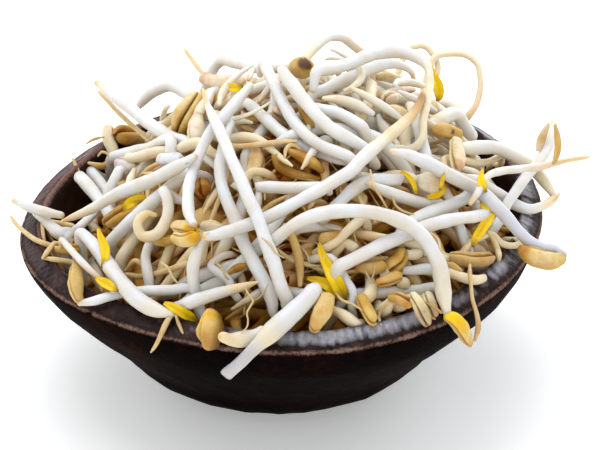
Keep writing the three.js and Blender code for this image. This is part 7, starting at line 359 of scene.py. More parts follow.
f297|-|shell|fill|e|00|0|19|398,2975,5580,150 663,2878,5425,230 941,2776,5299,230 1223,2653,5207,158 1514,2535,5142,158 1814,2446,5069,158 2113,2386,4954,158 2427,2389,4852,158 2766,2427,4798,158 3118,2443,4720,158 3476,2429,4607,158 3846,2386,4476,158 4221,2328,4346,158 4555,2254,4216,158 4739,2134,4096,144 4793,2030,4009,125 4813,1962,3956,106 4814,1913,3922,88 4813,1870,3899,69 4813,1795,3939,50
f298|-|shell|fill|e|00|0|17|-2010,445,5074,150 -1798,534,5316,230 -1556,593,5552,140 -1320,705,5826,140 -1159,790,6166,140 -1004,994,6435,140 -784,1263,6421,140 -506,1477,6383,140 -184,1583,6434,140 139,1636,6394,140 428,1713,6230,140 665,1905,6095,140 864,2151,5986,147 1070,2423,5940,126 1294,2694,5920,104 1554,2923,5863,82 1820,3130,5800,61 1951,3233,5777,50
"""
# true leaves and seed coats: kind|name|CAD node|x,y,z,half width in 0.01 mm ...
BLADES = """
leaf|lf1|sprout_front_left_thick|-3891,-2656,5042,33 -3817,-2858,4931,76 -3719,-3092,4789,109 -3710,-3311,4665,87 -3773,-3425,4505,33
leaf|lf2|sprout_front_left_rim|-3878,-3817,4486,32 -3765,-3908,4465,86 -3629,-4005,4447,108 -3494,-4118,4415,86 -3382,-4207,4394,32
leaf|lf3|sprout_front_left_tapered|-2363,-4820,4465,32 -2209,-4929,4457,85 -2019,-4970,4358,106 -1833,-4909,4195,107 -1667,-4863,4016,43
leaf|lf4|sprout_front_cut_over_rim|940,-3936,5430,32 1003,-4179,5299,85 1130,-4385,5123,117 1277,-4677,4951,149 1406,-4671,4674,128 1494,-4658,4442,43
leaf|lf5|sprout_front_cut_over_rim|683,-4246,4743,32 918,-4408,4765,96 1172,-4601,4756,128 1387,-4602,4533,107 1473,-4649,4436,43
leaf|lf6|sprout_right_long_overhang|4562,-1740,6040,22 4512,-1909,5932,66 4528,-2063,5841,99 4620,-2090,5655,33
leaf|lf7|sprout_right_long_overhang|4500,-2069,5367,22 4624,-2235,5308,66 4783,-2253,5141,66
leaf|lf8|sprout_right_long_overhang|4797,-2316,5228,44 4640,-2447,5100,110 4478,-2654,4965,110 4361,-2838,4869,88 4313,-2972,4770,33
leaf|lf9|sprout_right_rear_stub|3498,818,7304,34 3566,715,7103,91 3664,724,6820,125 3693,727,6590,91 3652,741,6455,34
leaf|lf10|sprout_top_bean_upper|-1265,914,6775,34 -1081,808,6778,91 -897,715,6799,91 -759,667,6874,34
leaf|lf11|sprout_right_inner_sag|3317,-2280,5610,33 3496,-2180,5630,99 3652,-2097,5709,88 3766,-1989,5750,33
leaf|lf12|sprout_right_inner_sag|3692,-2313,6252,22 3633,-2299,6045,44 3596,-2290,5816,33
leaf|lf13|sprout_round_pale_bean|2745,-2024,6144,33 2916,-2188,6084,55 3026,-2267,5928,55 3067,-2424,5765,33
leaf|lf14|sprout_left_split_leaf|-2881,-1695,5335,33 -3061,-1682,5277,89 -3240,-1717,5169,111 -3421,-1741,5005,44
husk|hk1|sprout_right_upright|6397,1012,5725,34 6430,787,5583,69 6440,533,5406,80 6382,296,5248,63 6305,141,5150,29
palehusk|hk2|sprout_right_upright|6313,1532,5480,35 6211,1349,5366,81 6108,1134,5218,98 6028,915,5073,46
husk|hk3|sprout_right_front_bean|3678,-4169,5070,32 3788,-4137,5002,64 3900,-4112,4912,64 4011,-4088,4823,32
husk|hk4|sprout_front_right_arch|3194,-4821,4491,27 3357,-4986,4467,42 3551,-5014,4335,32
whitehusk|hk5|sprout_left_upper_cross|-2798,660,5235,34 -2958,565,5077,69 -3121,483,4861,75 -3302,306,4643,34
goldhusk|gh1|-|-13,-2040,6550,76 74,-2069,6318,120 336,-2139,6157,120 708,-2253,6120,87 969,-2299,6095,44
goldhusk|gh2|-|271,-2004,6655,65 533,-2176,6599,131 815,-2366,6528,130 1055,-2346,6294,65
goldhusk|gh3|-|511,-1003,7269,44 599,-1142,7167,99 709,-1299,7050,99 818,-1472,6918,44
goldhusk|gh4|-|-854,-451,6486,45 -651,-456,6564,78 -449,-496,6635,78 -248,-461,6667,33
goldhusk|gh5|-|-1009,-4221,4852,43 -859,-4191,4934,86 -688,-4144,4981,86 -497,-4033,4990,32
goldhusk|gh6|-|275,-4160,4541,43 361,-4174,4373,97 468,-4190,4182,97 555,-4209,3991,43
goldhusk|gh7|-|-304,-1956,5581,33 -237,-2110,5465,77 -193,-2192,5309,77 -172,-2214,5119,33
goldhusk|gh8|-|2929,-2290,5288,44 3085,-2228,5279,99 3264,-2194,5209,99 3421,-2183,5102,44
goldhusk|gh9|-|2428,-4063,4533,43 2554,-4058,4730,97 2685,-3901,4862,97 2775,-3710,5000,43
goldhusk|gh11|-|2388,-4214,4096,43 2563,-4089,4146,108 2782,-4002,4143,108 2958,-3981,4055,43
goldhusk|gh12|-|2273,-4074,4790,32 2424,-4017,4856,75 2596,-4015,4855,75 2746,-4059,4806,32
"""
# single thin roots and root hairs: tone|x,y,z,radius in 0.01 mm ...
THREADS = """
root|2045,-2698,6535,32 2086,-2876,6435,32 2126,-3070,6321,32 2259,-3047,6086,30 2416,-3025,5777,22
tan|2246,-5379,4262,32 2210,-5102,4315,42 2271,-5099,4512,37 2394,-5132,4656,26
tan|-2099,-5106,4317,37 -2060,-5103,4166,43 -1994,-5225,4066,38 -1928,-5347,3967,21
hair|1878,-4286,5089,21 1942,-4358,4959,19 2070,-4489,4763,15
hair|2133,-4329,5090,21 2113,-4367,4939,19 2050,-4433,4780,15
hair|-630,-4978,4934,25 -544,-5122,4848,25 -458,-5242,4773,25 -520,-5376,4706,23 -581,-5514,4643,23 -559,-5657,4559,21 -578,-5808,4480,19 -701,-5962,4428,15
hair|-468,-4775,4488,21 -339,-4813,4586,21 -232,-4826,4743,19 -147,-4743,4891,15
hair|-611,-4259,3870,22 -718,-4360,3856,19 -845,-4466,3846,15
hair|-562,-3493,3553,20 -429,-3619,3527,17 -296,-3791,3454,13
root|-4240,2111,4301,30 -4146,2162,4381,35 -4052,2157,4357,35 -3982,2117,4271,24
olive|206,-2159,6564,44 228,-2010,6658,55 336,-1897,6721,55 467,-1886,6666,55 533,-1938,6570,55 489,-2032,6447,38
cream|4659,-2593,4930,55 4776,-2582,4747,66 4873,-2589,4496,72 4905,-2806,4419,66 4886,-2853,4269,44
root|-4588,2939,4183,24 -4445,2994,4262,36 -4302,3027,4299,36 -4159,3047,4315,24
root|-2493,-3670,4801,27 -2314,-3832,4746,32 -2222,-4015,4655,28 -2087,-4204,4567,21
root|533,-3654,5191,27 662,-3828,5119,32 726,-4028,5012,28 683,-4026,4786,21
root|-270,-4492,5874,25 -101,-4588,5783,27 5,-4686,5645,25 194,-4631,5466,19
root|2525,-2863,5984,26 2616,-2871,5740,28 2812,-2916,5616,24 3004,-3009,5619,17
root|1277,-4757,4701,26 1424,-4958,4624,30 1633,-5122,4625,28 1841,-5315,4595,19
root|-1291,-4015,5004,24 -1137,-4175,4949,28 -1048,-4375,4845,26 -838,-4310,4656,19
root|3325,-3653,5539,24 3489,-3863,5461,28 3546,-4087,5344,24 3746,-4043,5170,17
"""


def srgb(r, g, b):
    return np.array([((c / 255 + 0.055) / 1.055) ** 2.4 if c > 10 else c / 255 / 12.92 for c in (r, g, b)])


PALETTE = {
    "white": srgb(222, 224, 229),
    # painted shade: the bluish grey of white stems in shadow
    "painted_shade_white": srgb(196, 199, 214),
    "cream": srgb(228, 212, 178),
    "ivory": srgb(229, 221, 200),
    "tan": srgb(194, 160, 106),
    "root": srgb(214, 192, 150),
    "pinkroot": srgb(218, 194, 166),
    "brown": srgb(122, 86, 50),
    "darkbrown": srgb(52, 32, 32),
    "gold": srgb(200, 160, 76),
    "palegold": srgb(220, 192, 122),
    "yellow": srgb(232, 190, 26),
    "brightyellow": srgb(248, 210, 10),
    "olive": srgb(128, 94, 30),
    "amber": srgb(172, 114, 34),
    "beantan": srgb(198, 166, 108),
    "beanpale": srgb(222, 202, 156),
    "dry": srgb(192, 170, 138),
}
# colours along the visible part: (fraction, palette name) ...
LOOKS = {
    "white": [(0, "white"), (1, "white")],
    "whitetip": [(0, "white"), (1, "white")],
    "whitetip2": [(0, "root"), (0.25, "cream"), (0.5, "white"), (1, "white")],
    "whitetip3": [(0, "white"), (0.55, "white"), (0.8, "ivory"), (1, "pinkroot")],
    "cream": [(0, "cream"), (1, "ivory")],
    "root": [(0, "root"), (1, "root")],
    "tan": [(0, "tan"), (1, "cream")],
    "gold": [(0, "gold"), (0.5, "gold"), (1, "palegold")],
    "goldbean": [(0, "gold"), (0.6, "beantan"), (1, "gold")],
    "tanbean": [(0, "beantan"), (0.5, "beantan"), (1, "tan")],
    "brownbean": [(0, "palegold"), (0.5, "beantan"), (1, "gold")],
    "palebean": [(0, "ivory"), (0.5, "cream"), (1, "beanpale")],
    "yellowbean": [(0, "palegold"), (0.4, "palegold"), (1, "gold")],
    "olivebean": [(0, "palegold"), (0.5, "gold"), (1, "olive")],
    "creambean": [(0, "beanpale"), (0.5, "beantan"), (1, "beanpale")],
    "amber": [(0, "amber"), (0.5, "gold"), (1, "amber")],
    "yellow": [(0, "yellow"), (0.5, "palegold"), (1, "beantan")],
    "yellowpale": [(0, "palegold"), (0.5, "beanpale"), (1, "yellow")],
    "hook": [(0, "white"), (0.4, "ivory"), (0.75, "cream"), (1, "palegold")],
    "fill": [(0, "palegold"), (0.12, "cream"), (0.22, "ivory"), (0.72, "ivory"), (1, "root")],
    "shell": [(0, "palegold"), (0.12, "cream"), (0.2, "white"), (0.75, "white"), (1, "root")],
}
# sprouts with colours of their own
OWN_LOOKS = {
    "a": [(0, "root"), (0.08, "ivory"), (0.2, "white"), (1, "white")],
    "W": [(0, "white"), (0.6, "white"), (0.78, "cream"), (0.9, "tan"), (1, "brown")],
    "V": [(0, "white"), (0.42, "white"), (0.62, "pinkroot"), (0.85, "root"), (1, "tan")],
    "E": [(0, "brown"), (0.07, "tan"), (0.16, "cream"), (0.24, "ivory"), (0.34, "white"), (1, "white")],
    "M": [(0, "white"), (0.75, "white"), (1, "ivory")],
    "O": [(0, "white"), (0.55, "white"), (1, "painted_shade_white")],
    "Ha": [(0, "white"), (0.6, "white"), (0.75, "ivory"), (1, "ivory")],
    "u": [(0, "ivory"), (0.5, "white"), (1, "cream")],
    "qq": [(0, "ivory"), (0.5, "ivory"), (0.8, "pinkroot"), (1, "tan")],
    "tl": [(0, "ivory"), (1, "ivory")],
    "r2": [(0, "white"), (1, "ivory")],
    "Sh": [(0, "palegold"), (0.3, "beanpale"), (0.8, "palegold"), (1, "gold")],
    "wp1": [(0, "ivory"), (0.25, "cream"), (0.5, "dry"), (1, "dry")],
    "wp2": [(0, "ivory"), (0.3, "cream"), (0.6, "dry"), (1, "dry")],
    "dd": [(0, "palegold"), (1, "palegold")],
    "c": [(0, "cream"), (0.4, "beanpale"), (1, "palegold")],
    "pp": [(0, "brown"), (0.15, "tan"), (0.4, "root"), (0.6, "tan"), (0.8, "root"), (1, "tan")],
    "Mh": [(0, "brightyellow"), (0.35, "yellow"), (0.7, "palegold"), (1, "beantan")],
    "J2": [(0, "painted_shade_white"), (0.1, "white"), (1, "white")],
    "T": [(0, "ivory"), (0.2, "white"), (1, "ivory")],
    "U": [(0, "ivory"), (0.3, "white"), (1, "white")],
    "S": [(0, "white"), (1, "painted_shade_white")],
    "P": [(0, "white"), (0.7, "white"), (1, "ivory")],
    "R4": [(0, "ivory"), (0.5, "white"), (1, "white")],
    "rr": [(0, "white"), (1, "ivory")],
    "vv": [(0, "ivory"), (1, "white")],
    "t": [(0, "gold"), (0.4, "beantan"), (1, "gold")],
    "vb": [(0, "ivory"), (0.5, "beanpale"), (1, "cream")],
    "hole": [(0, "ivory"), (0.5, "ivory"), (1, "cream")],
    # O's lower end in painted shade
    "O": [(0, "white"), (0.42, "white"), (0.6, "ivory"), (0.74, "painted_shade_white"), (1, "painted_shade_white")],
    "Os": [(0, "white"), (0.6, "ivory"), (1, "cream")],
    "ee": [(0, "palegold"), (0.3, "yellow"), (0.6, "palegold"), (1, "gold")],
    "Qb": [(0, "beantan"), (0.5, "palegold"), (1, "beantan")],
}
# how far the slit between the two seed leaves is turned away from the viewpoint, in degrees
SLIT = {"c": 12, "hole": 20, "ee": 62, "t": 75, "dd": 88, "Qb": 60, "n": 30, "gl": 70, "vb": 50, "wb": 80, "rb": 40,
        "Sh": 65, "Mh": 40, "d": 60, "d2": 55, "wwb": 45, "uu": 70, "gb": 60, "hB": 50, "hB2": 45, "hB3": 65}
# painted shade on one side of a few seed leaves, the side turned from the light (on n a painted lighter, yellower top):
# tone, direction, from, to
SIDES = {"ee": ("olive", (0.93, 0.0, -0.36), -0.1, 0.6), "c": ("gold", (1.0, 0.0, 0.0), -0.1, 0.7), "hole": ("gold", (0.3, 0.0, -0.95), 0.2, 0.9),
         "Sh": ("gold", (0.0, 0.0, -1.0), -0.2, 0.7), "n": ("yellow", (0.4, 0.0, 0.9), 0.2, 0.9), "Mh": ("beantan", (-0.75, 0.0, -0.65), 0.05, 0.7)}
# direction from the viewpoint, radius in mm, tone, strength
SPOTS = {
    "t": [((0.00153, 0.89767, -0.44067), 1.7, "darkbrown", 1.0), ((0.00306, 0.89716, -0.44170), 1.1, "darkbrown", 1.0), ((0.00153, 0.89750, -0.44102), 2.2, "brown", 0.45)],
    "E": [((-0.03543, 0.86647, -0.49797), 0.5, "brown", 0.4)],
    "gl": [((0.05851, 0.88421, -0.46341), 0.6, "darkbrown", 0.85)],
    "d2": [((-0.02946, 0.89148, -0.45210), 0.6, "brown", 0.8), ((-0.02717, 0.89154, -0.45213), 0.6, "brown", 0.8)],
    "D": [((-0.04288, 0.87935, -0.47425), 0.35, "darkbrown", 0.6)],
    "hole": [((0.03176, 0.89107, -0.45275), 0.8, "darkbrown", 0.6)],
}
WHOLE = {"t": 2.55}  # seeds still whole, radius in mm
SPLAY = {"Qb": 0.0, "wp1": 0.12, "wp2": 0.12, "c": 0.02}  # how far the tips of the two seed leaves stand apart
BLUNT = ("Sh", "rb", "Qb")  # seed leaves with blunt ends
HEAP = (7.5, 0.7, 48.5, 53.0, 31.0, 0.92)  # the heap's outer surface: centre, half widths, height over the rim, exponent


# ------------------------------------------------------------------ numbers
def rng_for(text):
    seed = 7
    for ch in text:
        seed = (seed * 131 + ord(ch)) % 2147483629
    return np.random.default_rng(seed)


def smooth(a, b, x):
    t = np.clip((x - a) / (b - a), 0, 1)
    return t * t * (3 - 2 * t)


def heap_top(x, y):
    xc, yc, ax, ay, h, p = HEAP
    q = ((x - xc) / ax) ** 2 + ((y - yc) / ay) ** 2
    inside = 41 + h * np.clip(1 - q, 0, 1) ** p
    return np.where(q < 1, inside, 41 - 1.6 * (np.sqrt(q) - 1) * 50)


def points(text):
    return np.array([[float(v) for v in p.split(",")] for p in text.split()]) / 100.0


def resample(q, step, ends=None):
    """q (n, 4) becomes a smooth curve with a point every step mm; also returns the old parameter at each new point."""
    d = np.r_[0, np.cumsum(np.maximum(np.linalg.norm(np.diff(q[:, :3], axis=0), axis=1), 1e-3))]
    n = max(5, int(round(d[-1] / step)) + 1)
    s = np.linspace(0, d[-1], n)
    m = np.gradient(q, d, axis=0)
    i = np.clip(np.searchsorted(d, s, side="right") - 1, 0, len(d) - 2)
    h = (d[i + 1] - d[i])[:, None]
    t = ((s - d[i]) / (d[i + 1] - d[i]))[:, None]
    out = (2 * t**3 - 3 * t**2 + 1) * q[i] + (t**3 - 2 * t**2 + t) * h * m[i] + (-2 * t**3 + 3 * t**2) * q[i + 1] + (t**3 - t**2) * h * m[i + 1]
    return out, s, np.interp(s, d, np.arange(len(d)))


def frames(c, first=None):
    """tangents and two normals that turn as little as possible along the curve"""
    t = np.gradient(c, axis=0)
    t /= np.maximum(np.linalg.norm(t, axis=1), 1e-9)[:, None]
    n = np.zeros_like(t)
    v = first if first is not None else (np.array([0, 0, 1.0]) if abs(t[0, 2]) < 0.8 else np.array([1.0, 0, 0]))
    for k in range(len(t)):
        v = v - t[k] * (v @ t[k])
        v = v / max(np.linalg.norm(v), 1e-9)
        n[k] = v
    return t, n, np.cross(t, n)


def colours(stops, f):
    x = [s[0] for s in stops]
    return np.stack([np.interp(f, x, [PALETTE[s[1]][k] for s in stops]) for k in range(3)], -1)


# ------------------------------------------------------------------ mesh pieces
STEM, SEED, LEAF, FIBRE = 0, 1, 2, 3


class Builder:
    def __init__(self):
        self.v, self.c, self.w, self.quads, self.tris, self.qm, self.tm, self.n = [], [], [], [], [], [], [], 0

    def grid(self, v, col, info, mat, rows=None):
        """v (rings, sides, 3) closed round its sides; poles or flat caps close the ends"""
        rings, sides = v.shape[:2]
        base = self.n
        self.v.append(v.reshape(-1, 3))
        self.c.append(np.broadcast_to(col, v.shape).reshape(-1, 3))
        self.w.append(np.broadcast_to(info, v.shape).reshape(-1, 3))
        self.n += rings * sides
        a = base + np.arange(rings - 1)[:, None] * sides + np.arange(sides)[None]
        b = base + np.arange(rings - 1)[:, None] * sides + (np.arange(sides)[None] + 1) % sides
        q = np.stack([a, b, b + sides, a + sides], -1).reshape(-1, 4)
        self.quads.append(q)
        self.qm.append(np.full(len(q), mat) if rows is None else np.repeat(rows, sides))
        for ring, flip in ((0, True), (rings - 1, False)):
            self.v.append(v[ring].mean(0)[None])
            self.c.append(np.broadcast_to(col, v.shape)[ring].mean(0)[None])
            self.w.append(np.broadcast_to(info, v.shape)[ring].mean(0)[None])
            pole = self.n
            self.n += 1
            k = base + ring * sides + np.arange(sides)
            k2 = base + ring * sides + (np.arange(sides) + 1) % sides
            t = np.stack([k2, k, np.full(sides, pole)] if flip else [k, k2, np.full(sides, pole)], -1)
            self.tris.append(t)
            self.tm.append(np.full(len(t), mat))

    def object(self, name, materials):
        v = np.concatenate(self.v) * MM
        q, t = np.concatenate(self.quads), np.concatenate(self.tris)
        mesh = bpy.data.meshes.new(name)
        mesh.vertices.add(len(v))
        mesh.vertices.foreach_set("co", v.astype(np.float32).ravel())
        loops = np.concatenate([q.ravel(), t.ravel()]).astype(np.int32)
        starts = np.r_[np.arange(len(q)) * 4, len(q) * 4 + np.arange(len(t)) * 3].astype(np.int32)
        mesh.loops.add(len(loops))
        mesh.loops.foreach_set("vertex_index", loops)
        mesh.polygons.add(len(starts))
        mesh.polygons.foreach_set("loop_start", starts)
        mesh.polygons.foreach_set("material_index", np.concatenate(self.qm + self.tm).astype(np.int32))
        mesh.update(calc_edges=True)
        mesh.polygons.foreach_set("use_smooth", np.ones(len(starts), dtype=bool))
        for key, data in (("tone", self.c), ("trait", self.w)):
            a = mesh.attributes.new(key, "FLOAT_COLOR", "POINT")
            d = np.concatenate(data)
            a.data.foreach_set("color", np.c_[d, np.ones(len(d))].astype(np.float32).ravel())
        for m in materials:
            mesh.materials.append(m)
        mesh.validate()
        o = bpy.data.objects.new(name, mesh)
        bpy.context.scene.collection.objects.link(o)
        return o


def wobble(s, rng, lengths, amounts):
    out = np.zeros_like(s)
    for l, a in zip(lengths, amounts):
        out += a * np.sin(2 * np.pi * s / (l * rng.uniform(0.8, 1.25)) + rng.uniform(0, 6.28))
    return out


def seen_at(p):
    """where a point in mm lies in the photograph's 600 x 450 frame"""
    a = math.radians(CAMERA_TILT)
    d = p - CAMERA_AT
    away = d @ np.array([0.0, math.cos(a), -math.sin(a)])
    return 300 + 2609 * d[..., 0] / away, 225 - 2609 * (d @ np.array([0.0, math.sin(a), math.cos(a)])) / away


def brightness_zone(p):
    """painted light: where the top of the heap, most of all on its right, is lit bright down to its gaps; here painted
    shade is weakened and whiter colours are used
    """
    u, v = seen_at(p)
    right = smooth(318, 352, u) * smooth(192, 158, v)
    left = 0.6 * smooth(262, 240, u) * smooth(172, 148, v)
    front = smooth(30, 10, -p[..., 1])
    return np.maximum(right, left) * front


def shade_of_depth(p, amount):
    """painted shade: warmer and darker the deeper a point lies under the heap's surface; weaker in the brightly lit
    zone, stronger at the lower centre
    """
    d = heap_top(p[..., 0], p[..., 1]) - p[..., 2]
    rim = smooth(60, 50, np.hypot(p[..., 0], p[..., 1]))
    k = smooth(DEPTH_FROM, DEPTH_TO, d) * amount * rim * (1 - 0.92 * brightness_zone(p))
    warm = np.array([0.92, 0.55, 0.11])
    u, v = seen_at(p)
    k = np.minimum(k * (1 + 0.4 * smooth(200, 240, v) * smooth(400, 360, u)), 1.0)
    # painted golden shade in the gap at the centre, just under the surface
    gold = smooth(258, 276, u) * smooth(338, 320, u) * smooth(134, 146, v) * smooth(190, 178, v) * smooth(2.0, 5.0, d) * amount
    return ((1 - k)[..., None] + k[..., None] * warm) * ((1 - gold)[..., None] + gold[..., None] * np.array([0.95, 0.72, 0.34]))


DEPTH_FROM, DEPTH_TO = 2.2, 11.8


def lump_field(s, th, rng, amount):
    """soft random bumps along and round a strand"""
    out = np.zeros((len(s), len(th)))
    for length, around, a in ((6.5, 1, 0.5), (3.6, 2, 0.45), (2.3, 3, 0.3), (9.0, 2, 0.5)):
        k = length * rng.uniform(0.8, 1.25)
        out += a * np.sin(2 * np.pi * s[:, None] / k + around * th[None] * rng.choice((-1, 1)) + rng.uniform(0, 6.28))
    return out * amount


def stem(b, q, look, rng, i0, i1, cut=(0, 0), sides=14, step=0.75, depth=0.7, mat=STEM, rough=1.0, label="", bare=False):
    c4, s, par = resample(q, step)
    c, r = c4[:, :3], np.maximum(c4[:, 3], 0.14)
    total = s[-1]
    r = r * (1 + rough * wobble(s, rng, (17, 8, 3.7), (0.045, 0.022, 0.006)))
    if not cut[0]:
        r = r * (0.66 + 0.34 * smooth(0, 3.2 * r[0] + 0.8, s))
    if not cut[1]:
        r = r * (0.66 + 0.34 * smooth(0, 3.2 * r[-1] + 0.8, total - s))
    t, n, m = frames(c)
    th = np.linspace(0, 2 * np.pi, sides, endpoint=False)
    # ends: rings past the last point for a rounded end, or a slanted flat face for a cut one
    extra = []
    for end, flag in ((0, cut[0]), (-1, cut[1])):
        sign = -1 if end == 0 else 1
        rr = r[end]
        if flag:
            rings = [(0.05 * rr, 0.97), (0.09 * rr, 0.88), (-0.03 * rr, 0.6), (-0.1 * rr, 0.25)]
        else:
            rings = [(rr * math.sin(x), math.cos(x)) for x in (0.42, 0.85, 1.2, 1.45)]
        extra.append((end, sign, flag, rings))
    cc, rr_, tt, nn, mm_, ss, slant = [c], [r], [t], [n], [m], [s], [np.zeros(len(c))]
    for end, sign, flag, rings in extra:
        e = np.array([c[end] + t[end] * sign * a for a, _ in rings])
        er = np.array([r[end] * k for _, k in rings])
        et, en, em = (np.repeat(x[end][None], len(rings), 0) for x in (t, n, m))
        es = np.full(len(rings), s[end])
        sl = np.array([(0.35 if flag else 0.0)] * len(rings)) * sign
        if end == 0:
            for lst, val in ((cc, e), (rr_, er), (tt, et), (nn, en), (mm_, em), (ss, es), (slant, sl)):
                lst.insert(0, val[::-1])
        else:
            for lst, val in ((cc, e), (rr_, er), (tt, et), (nn, en), (mm_, em), (ss, es), (slant, sl)):
                lst.append(val)
    c, r, t, n, m, s, slant = (np.concatenate(x) for x in (cc, rr_, tt, nn, mm_, ss, slant))
    phase = rng.uniform(0, 6.28)
    oval = 0.05 * np.cos(2 * (th[None] + phase + s[:, None] * 0.02)) + 0.018 * np.cos(3 * th[None] + phase + s[:, None] * 0.11)
    lumps = lump_field(s, th, rng, 0.02 * rough) * smooth(0.5, 1.0, r)[:, None]
    ring = r[:, None] * (1 + oval + lumps)
    v = c[:, None] + ring[..., None] * (np.cos(th)[None, :, None] * n[:, None] + np.sin(th)[None, :, None] * m[:, None])
    v += (slant[:, None] * ring * np.cos(th)[None])[..., None] * t[:, None]
    # colour along the sprout
    par_all = np.interp(s, np.linspace(0, total, len(par)), par)
    f = np.clip((par_all - i0) / max(i1 - i0, 1e-6), 0, 1)
    col = colours(look, f)
    thin = smooth(0.95, 0.45, r)[:, None] * (0.0 if bare else 1.0)
    col = col * (1 - thin) + thin * PALETTE["root"] * np.array([1.0, 0.97, 0.92])
    streak = 1 + wobble(s, rng, (9, 23, 4), (0.02, 0.025, 0.012))[:, None] * np.array([0.6, 1.0, 1.6])
    col = (col * streak)[:, None] * np.ones((1, sides, 1))
    lines = 0.5 * np.sin(3 * th[None] + s[:, None] * 0.13 + phase) + 0.5 * np.sin(7 * th[None] - s[:, None] * 0.09 + 2 * phase)
    col = col * (1 + 0.022 * lines[..., None] * np.array([0.3, 1.0, 1.9]))
    # painted shade: the underside of each stem darker and warmer
    under = 0.5 - 0.5 * ((v - c[:, None])[..., 2] / np.maximum(r, 0.1)[:, None])
    col = col * (1 - 0.13 * under[..., None] * np.array([0.2, 0.8, 2.3]))
    if cut[0] or cut[1]:
        face = np.zeros(len(s))
        if cut[0]:
            face[:5] = 1
        if cut[1]:
            face[-5:] = 1
        col = col * (1 - face[:, None, None] * np.array([0.16, 0.15, 0.12]))
    col = spots(v, label, col)
    col = col * shade_of_depth(v, depth)
    info = np.zeros(v.shape)
    info[..., 0] = (s / max(total, 1e-6))[:, None]
    info[..., 1] = thin
    info[..., 2] = np.cos(th)[None]
    b.grid(v, col, info, mat)


def side_tint(v, c, r, name, col):
    """one side of a few seed leaves in another tone: painted shade on the side turned from the light, on n a painted
    lighter top
    """
    if name not in SIDES:
        return col
    tone_, way, low_, high_ = SIDES[name]
    k = ((v - c[:, None]) @ np.array(way)) / np.maximum(r, 0.3)[:, None]
    k = smooth(low_, high_, k)[..., None]
    return col * (1 - k) + k * PALETTE[tone_]


def spots(v, name, col):
    """small scars, the seed's navel: points seen from the front, radius in mm"""
    for at, radius, tone_, amount in SPOTS.get(name, ()):
        d = v - CAMERA_AT
        ray = np.array(at) / np.linalg.norm(at)
        off = np.linalg.norm(d - (d @ ray)[..., None] * ray, axis=-1)
        near = (d @ ray) < (d @ ray)[off < radius * 1.2].min() + 1.2 if (off < radius * 1.2).any() else off < 0
        k = (smooth(radius, radius * 0.55, off) * amount * near)[..., None]
        col = col * (1 - k) + k * PALETTE[tone_]
    return col


def seed_pair(b, q, look, rng, name, depth=0.7, step=0.4, sides=16, splay=None):
    """two seed leaves side by side with a slit between them; the last point of q is their tip"""
    c4, s, par = resample(q, step)
    c, r = c4[:, :3], np.maximum(c4[:, 3], 0.35)
    t, n, m = frames(c)
    total = s[-1]
    mid = c[len(c) // 2]
    view = CAMERA_AT - mid
    view /= np.linalg.norm(view)
    axis = t[len(t) // 2]
    side = np.cross(axis, view)
    side /= max(np.linalg.norm(side), 1e-6)
    toward = np.cross(side, axis)
    turn = math.radians(SLIT[name]) if name in SLIT else rng.uniform(0.5, 1.3)
    if rng.uniform() < 0.5:
        turn = -turn
    apart = math.cos(turn) * side + math.sin(turn) * toward  # from one seed leaf to the other
    t, n, m = frames(c, apart)
    th = np.linspace(0, 2 * np.pi, sides, endpoint=False)
    open_ = SPLAY.get(name, rng.uniform(0.05, 0.3)) if splay is None else splay
    for k, length in ((1, 1.0), (-1, rng.uniform(0.88, 0.97))):
        keep = s <= total * length + 1e-6
        cs, rs, ss = c[keep], r[keep], s[keep]
        ts, ns, ms = t[keep], n[keep], m[keep]
        u = ss / ss[-1]
        body = rs * (1 + wobble(ss, rng, (6, 3), (0.03, 0.02)))
        # neck and tip
        rings_c, rings_r, rings_t, rings_n, rings_m, rings_u = list(cs), list(body), list(ts), list(ns), list(ms), list(u)
        for a in (0.45, 0.9, 1.25, 1.47):
            rings_c.append(cs[-1] + ts[-1] * body[-1] * math.sin(a))
            rings_r.append(body[-1] * math.cos(a))
            rings_t.append(ts[-1]); rings_n.append(ns[-1]); rings_m.append(ms[-1]); rings_u.append(1.0)
        for a in (0.5, 1.0, 1.4):
            rings_c.insert(0, cs[0] - ts[0] * body[0] * math.sin(a) * 0.7)
            rings_r.insert(0, body[0] * math.cos(a))
            rings_t.insert(0, ts[0]); rings_n.insert(0, ns[0]); rings_m.insert(0, ms[0]); rings_u.insert(0, 0.0)
        C, Rr, N, M, U = np.array(rings_c), np.array(rings_r), np.array(rings_n), np.array(rings_m), np.array(rings_u)
        big = np.interp(U, u, body)
        sn = np.sin(th)
        flat = np.where(sn > 0, 0.62 * np.abs(sn) ** 0.85, -0.27 * np.abs(sn) ** 0.7)  # outside round, inside nearly flat
        away = k * (0.30 + open_ * U**2) * Rr
        v = C[:, None] + (Rr[:, None] * np.cos(th)[None])[..., None] * M[:, None] + (away[:, None] + k * Rr[:, None] * flat[None])[..., None] * N[:, None]
        if k < 0:
            v = v[:, ::-1]
        f = U
        col = colours(look, f)[:, None] * np.ones((1, sides, 1))
        grain = 0.5 * np.sin(5 * th[None] + 1.3 * U[:, None] + rng.uniform(0, 6)) + 0.5 * np.sin(11 * th[None] - 0.8 * U[:, None] + rng.uniform(0, 6))
        col = col * (1 + 0.06 * grain[..., None] * np.array([0.5, 1.0, 1.7]))
        # painted shade: the flat inner faces, in the slit between the two seed leaves, darker
        inner = np.clip(-sn, 0, 1)[None, :, None]
        if k < 0:
            inner = inner[:, ::-1]
        col = col * (1 - 0.22 * inner * np.array([0.6, 1.0, 1.5]))
        col = col * (rng.uniform(0.9, 1.04) * np.array([1.0, rng.uniform(0.95, 1.02), rng.uniform(0.85, 1.08)]))
        tip = smooth(0.8, 1.0, U)[:, None, None] * rng.uniform(0.1, 0.35)
        col = col * (1 - tip * np.array([0.5, 0.9, 1.2]))
        col = side_tint(v, C, Rr, name, col)
        col = spots(v, name, col)
        col = col * shade_of_depth(v, depth)
        info = np.zeros(v.shape)
        info[..., 0] = U[:, None]
        info[..., 1] = 1.0
        b.grid(v, col, info, SEED)


